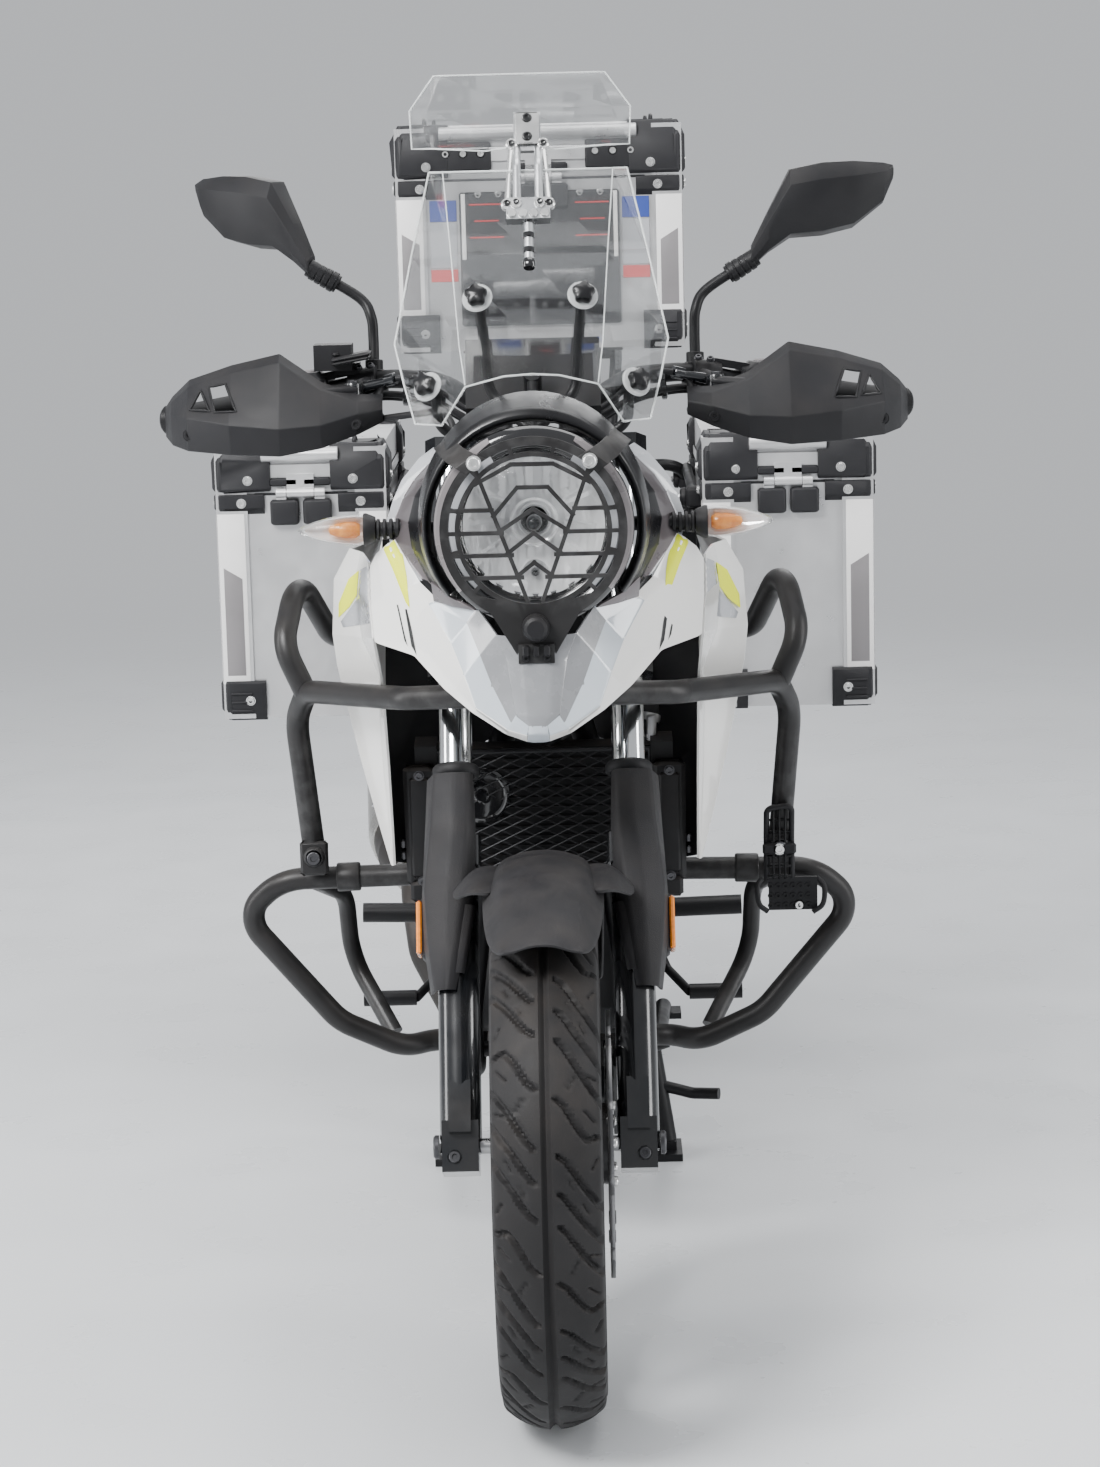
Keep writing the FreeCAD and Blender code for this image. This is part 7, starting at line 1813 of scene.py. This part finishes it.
def engine_details():
    """Cover bolts, plug leads, throttle bodies, oil filter and filler cap."""
    bolts = Shape()
    for side, back, z, radius, reach, count in ((1, 600, 336, 58, 112, 8), (1, 706, 340, 54, 78, 7),
                                                (1, 756, 356, 38, 74, 5), (-1, 600, 336, 58, 104, 8),
                                                (-1, 706, 340, 54, 118, 7), (-1, 756, 356, 38, 70, 5)):
        for turn in turns(count, 0.3):
            out, up = polar(radius, turn)
            bolts.bolt(at(side * reach, back + out, z + up), (side, 0, 0), 4.6, 3.5)
    tilt = tilted(14)

    def head(x, y, z):
        return at(0, 560, 446.5) + tilt @ Vector((x, y, z)) * MM

    for x in (-74, -26, 26, 74):
        bolts.bolt(head(x, -62, 160), tilt @ FORWARD, 4.4, 3.5)
        bolts.bolt(head(x, -74, 96), tilt @ FORWARD, 4.8, 3.5)
    piece("engine_bolts", bolts, "dark_bolt")
    soft = Shape()
    for x in (-46, 46):
        soft.turned([(0, 0), (15, 0), (17, 3), (17, 10), (12, 13), (9, 30), (7, 32), (0, 32)],
            head(x, -6, 178), tilt @ Vector((0, 0, 1)), 28)
        soft.bent([head(x, -6, 206), head(x, 8, 214), head(x * 0.9, 34, 200), head(x * 0.8, 50, 172)], 4, 12)
        soft.turned([(0, 0), (25, 0), (27, 3), (27, 26), (24, 30), (24, 58), (30, 62), (30, 92), (0, 92)],
            head(x, 60, 118), tilt @ Vector((0, 1, 0.25)), 36)
    for side in (1, -1):
        soft.bent([head(side * 46, 146, 150), at(side * 46, 742, 620), at(side * 40, 756, 660)], 22, 20)
    piece("engine_hoses", soft, "trim_black", smooth=50)
    metal = Shape()
    metal.turned([(0, 0), (34, 0), (36, 3), (36, 58), (33, 62), (12, 64), (0, 64)], at(0, 486, 300), FORWARD,
        40)
    metal.turned([(0, 14), (11, 14), (13, 12), (14, 8), (14, 0), (0, 0)], at(112, 640, 400), (1, 0, 0.1), 8)
    for x in (-70, 70):
        metal.turned([(0, 6), (20, 6), (24, 3), (24, 0), (0, 0)], head(x * 0.6, -74, 112), tilt @ FORWARD, 32)
    for x in (-46, 46):
        metal.turned([(30.5, 0), (32, 1), (32, 8), (30.5, 9)], head(x, 136, 142), tilt @ Vector((0, 1, 0.25)),
            32, closed=True)
    piece("engine_fittings", metal, "engine_alloy", smooth=35)


def tank_and_seat():
    """Fuel cap with its ring and bolts, knee-side seams, and the piping and seams of the seat."""
    tank = skin_tree(NODES["fuel_tank"])
    down = Vector((0, 0, -1))

    def laid(tree, points, way, lift=0.6):
        line = []
        for point in points:
            hit, normal, _, _ = tree.ray_cast(Vector(point), way)
            if hit is not None:
                line.append(hit + (normal if normal.dot(way) < 0 else -normal) * lift * MM)
        return line

    ridge, seams, cap, studs = shapes(4)
    side = [at(300, back, 800 + 26 * math.sin((back - 430) / 350 * math.pi)) for back in range(430, 780, 10)]
    ridge.hose(laid(tank, side, Vector((-1, 0, 0)), 0.4), 1.6, 8)
    piece("tank_side_seams", ridge.mirrored(), "gloss", slot="tank_black", smooth=60)
    for first, last in ((430, 500), (640, 760)):
        seams.hose(laid(tank, [at(0, back, 1300) for back in range(first, last, 8)], down), 1.1, 6)
    piece("tank_top_seams", seams, "gloss", slot="tank_black", smooth=60)
    hit, normal, _, _ = tank.ray_cast(at(0, 560, 1300), down)
    cap.turned([(0, 7), (20, 7), (23, 9), (38, 9), (42, 6), (43, 1), (43, -6), (0, -6)], hit, normal, 48)
    first = normal.orthogonal().normalized()
    second = normal.cross(first)
    cap.block(hit + normal * 9.5 * MM, (10, 26, 3), Matrix((first, second, normal)).transposed(), 1)
    for turn in turns(6):
        out = first * math.cos(turn) + second * math.sin(turn)
        studs.bolt(hit + out * 34 * MM + normal * 9 * MM, normal, 3.2, 1.6)
    piece("fuel_cap", cap, "brow", slot="tank_black", smooth=35)
    piece("fuel_cap_screws", studs, "plain_steel")
    cover = skin_tree(seat_cover)
    thread = Shape()
    spots = [at(saddle_value(back, 1) * 0.8, back, 1100) for back in range(806, 1420, 12)]
    thread.hose(laid(cover, spots, down, 0.8), 1.9, 8)
    for back in (1078, 1300):
        spots = [at(x, back, 1100) for x in np.linspace(0, saddle_value(back, 1) * 0.8, 16)]
        thread.hose(laid(cover, spots, down), 1.3, 6)
    piece("seat_piping", thread.mirrored(), "thread", smooth=60)


def exhaust_details():
    """Heat shield, end cap ring, clamps and hanger of the silencer."""
    start, end = at(-192, 1010, 380), at(-222, 1480, 504)
    axis = (end - start).normalized()
    side = Vector((-1, 0, 0))
    side = (side - axis * side.dot(axis)).normalized()
    up = axis.cross(side)
    if up.z < 0:
        up = -up
    rows = []
    for along, reach in ((116, 58.5), (130, 63), (260, 63), (390, 63), (404, 58.5)):
        rows.append([start + (axis * along + (side * math.cos(turn) + up * math.sin(turn)) * reach) * MM
            for turn in (math.radians(-62 + 124 * k / 14) for k in range(15))])
    shield = sheet_shape(rows, side)
    piece("silencer_shield", shield, "silver", wall=1.5, smooth=40, bevel=1.0)
    bands, bolts = shapes(2)
    for along, radius in ((448, 51), (112, 57), (4, 27)):
        bands.turned([(radius - 3, -6), (radius + 1.2, -6), (radius + 2, -4), (radius + 2, 4),
            (radius + 1.2, 6), (radius - 3, 6)], start + axis * along * MM, axis, 56, closed=True)
    bands.turned([(16.5, 0), (24, 0), (25, 2), (25, 8), (16.5, 8)], start + axis * 496 * MM, axis, 40,
        closed=True)
    bands.block(start + (axis * 4 + up * 32) * MM, (16, 14, 14), cut=2)
    for along in (160, 360):
        for turn in (-0.6, 0.6):
            way = side * math.cos(turn) + up * math.sin(turn)
            bolts.bolt(start + (axis * along + way * 63) * MM, way, 5, 3)
    piece("silencer_bands", bands, "silver", smooth=35)
    piece("silencer_bolts", bolts, "plain_steel")


def tail_details():
    """Ribbed lens of the stop lamp in a black surround, and the rack locks with their pins."""
    lens, surround, ribs = shapes(3)
    low, high = 870.5, 904.5
    rings = []
    for z, inset in ((low, 5), (low + 5, 0.5), (high - 5, 0.5), (high, 5)):
        ring = [(60 - inset, 1567), (63 - inset, 1580), (47 - inset * 0.6, 1634 - inset),
            (42 - inset, 1639.5 - inset)]
        ring += [(-x, b) for x, b in reversed(ring)]
        rings.append([at(x, b, z) for x, b in ring])
    lens.rings(rings)
    piece("stop_lamp_lens", lens, "lens_red", ("tail_lamp",), smooth=30, bevel=1.2)
    for k in range(5):
        z = low + 6 + k * 5.4
        ribs.rod(at(-40, 1637.5, z), at(40, 1637.5, z), 1.5, 8)
    piece("stop_lamp_ribs", ribs, "red", slot="lens_red", smooth=50)
    surround.block(at(0, 1594, 908), (134, 66, 7), cut=3)
    surround.block(at(0, 1594, 867), (128, 60, 7), cut=3)
    piece("stop_lamp_surround", surround, "gloss", bevel=1.2)
    locks, pins = shapes(2)
    inner = node_end("luggage_racks", 0)
    for back, z in ((1200, 655), (1556, 655), (1232, 876), (1540, 870)):
        locks.block(at(inner - 9, back, z), (24, 34, 30), cut=4)
        locks.turned([(0, 8), (10, 8), (13, 6), (14, 0), (0, 0)], at(inner - 21, back, z), (-1, 0, 0), 24)
        pins.bolt(at(inner - 29, back, z), (-1, 0, 0), 5, 3)
    piece("rack_locks", locks.mirrored(), "trim_black", slot="bar_black", bevel=0.8, smooth=32)
    piece("rack_lock_pins", pins.mirrored(), "plain_steel")


def display_details():
    """Dark glass of the display, its rim and two keys, facing the rider."""
    tilt = tilted(-38)

    def spot(x, y, z):
        return at(0, 196, 1092) + tilt @ Vector((x, y, z)) * MM

    glass, rim, keys = shapes(3)
    glass.block(spot(0, 34.6, 50), (126, 3, 68), tilt, 1.2)
    rim.hose([spot(x, 36, z) for x, z in ((-68, 12), (68, 12), (72, 20), (72, 80), (64, 88), (-64, 88),
        (-72, 80), (-72, 20))], 3, 10, closed=True)
    for x in (-24, 24):
        keys.block(spot(x, 36, 9), (16, 5, 7), tilt, 1.6)
    piece("display_glass", glass, "panel", slot="trim_black")
    piece("display_rim", rim, "trim_black", smooth=50)
    piece("display_keys", keys, "sticker_grey")


for build in (front_brake, rear_hub_plates, fork_details, radiator_details, bar_details, guard_fittings,
              arm_details, engine_details, tank_and_seat, exhaust_details, tail_details, display_details):
    build()


# Stage

BACKDROP = (0.80, 0.82, 0.85, 1)
BACKDROP_LIGHT = 0.75
FLOOR_FADE = (2.2, 7.0)
FLOOR_HALF, FLOOR_DROP = 60, 0.0004


def floor_material():
    """Pale polished floor that passes into the backdrop's even light with distance from the middle."""
    made = material("pale_floor", (0.66, 0.675, 0.69), 0.3, vary=0.025, patch=1.5)
    tree = made.node_tree
    place = add_node(tree, "NewGeometry")
    distance = add_node(tree, "VectorMath", operation="LENGTH")
    share = add_node(tree, "MapRange", interpolation_type="SMOOTHSTEP")
    share.inputs["From Min"].default_value, share.inputs["From Max"].default_value = FLOOR_FADE
    glow = add_node(tree, "Emission")
    glow.inputs["Color"].default_value = BACKDROP
    glow.inputs["Strength"].default_value = BACKDROP_LIGHT
    blend = add_node(tree, "MixShader")
    for source, socket in (
            (place.outputs["Position"], distance.inputs[0]),
            (distance.outputs["Value"], share.inputs["Value"]),
            (share.outputs["Result"], blend.inputs[0]),
            (tree.nodes["Principled BSDF"].outputs[0], blend.inputs[1]),
            (glow.outputs[0], blend.inputs[2]),
            (blend.outputs[0], tree.nodes["Material Output"].inputs["Surface"])):
        tree.links.new(source, socket)
    return made


def stage():
    """Floor, even backdrop and the lamps."""
    data = bpy.data.meshes.new("floor")
    corners = [(x * FLOOR_HALF, y * FLOOR_HALF, -FLOOR_DROP) for x, y in ((-1, -1), (1, -1), (1, 1), (-1, 1))]
    data.from_pydata(corners, [], [(0, 1, 2, 3)])
    floor = bpy.data.objects.new("floor", data)
    link_object(floor)
    floor.data.materials.append(floor_material())
    world = bpy.data.worlds.new("studio")
    bpy.context.scene.world = world
    world.use_nodes = True
    sky = world.node_tree.nodes["Background"]
    sky.inputs[0].default_value = BACKDROP
    sky.inputs[1].default_value = BACKDROP_LIGHT
    lamps = (
        # name, place, aim, size across and high, power
        ("key", (-1.9, -3.0, 3.4), (0, -0.3, 0.7), 1.6, 1.2, 270),
        ("top", (0.4, 0.2, 4.2), (0, 0.1, 0.5), 3.0, 3.0, 120),
        ("left_strip", (3.4, -1.2, 1.6), (0, -0.2, 0.7), 0.7, 3.0, 75),
        ("right_strip", (-3.4, -0.9, 1.6), (0, -0.2, 0.7), 0.7, 3.0, 75),
        ("back", (0.5, 4.0, 3.0), (0, 0.2, 0.8), 3.0, 1.6, 60),
    )
    for name, place, aim, wide, high, power in lamps:
        lamp = bpy.data.lights.new(name, "AREA")
        lamp.shape = "RECTANGLE"
        lamp.size, lamp.size_y, lamp.energy = wide, high, power
        item = bpy.data.objects.new(name, lamp)
        link_object(item)
        item.location = place
        item.rotation_euler = (Vector(aim) - Vector(place)).to_track_quat("-Z", "Y").to_euler()


stage()
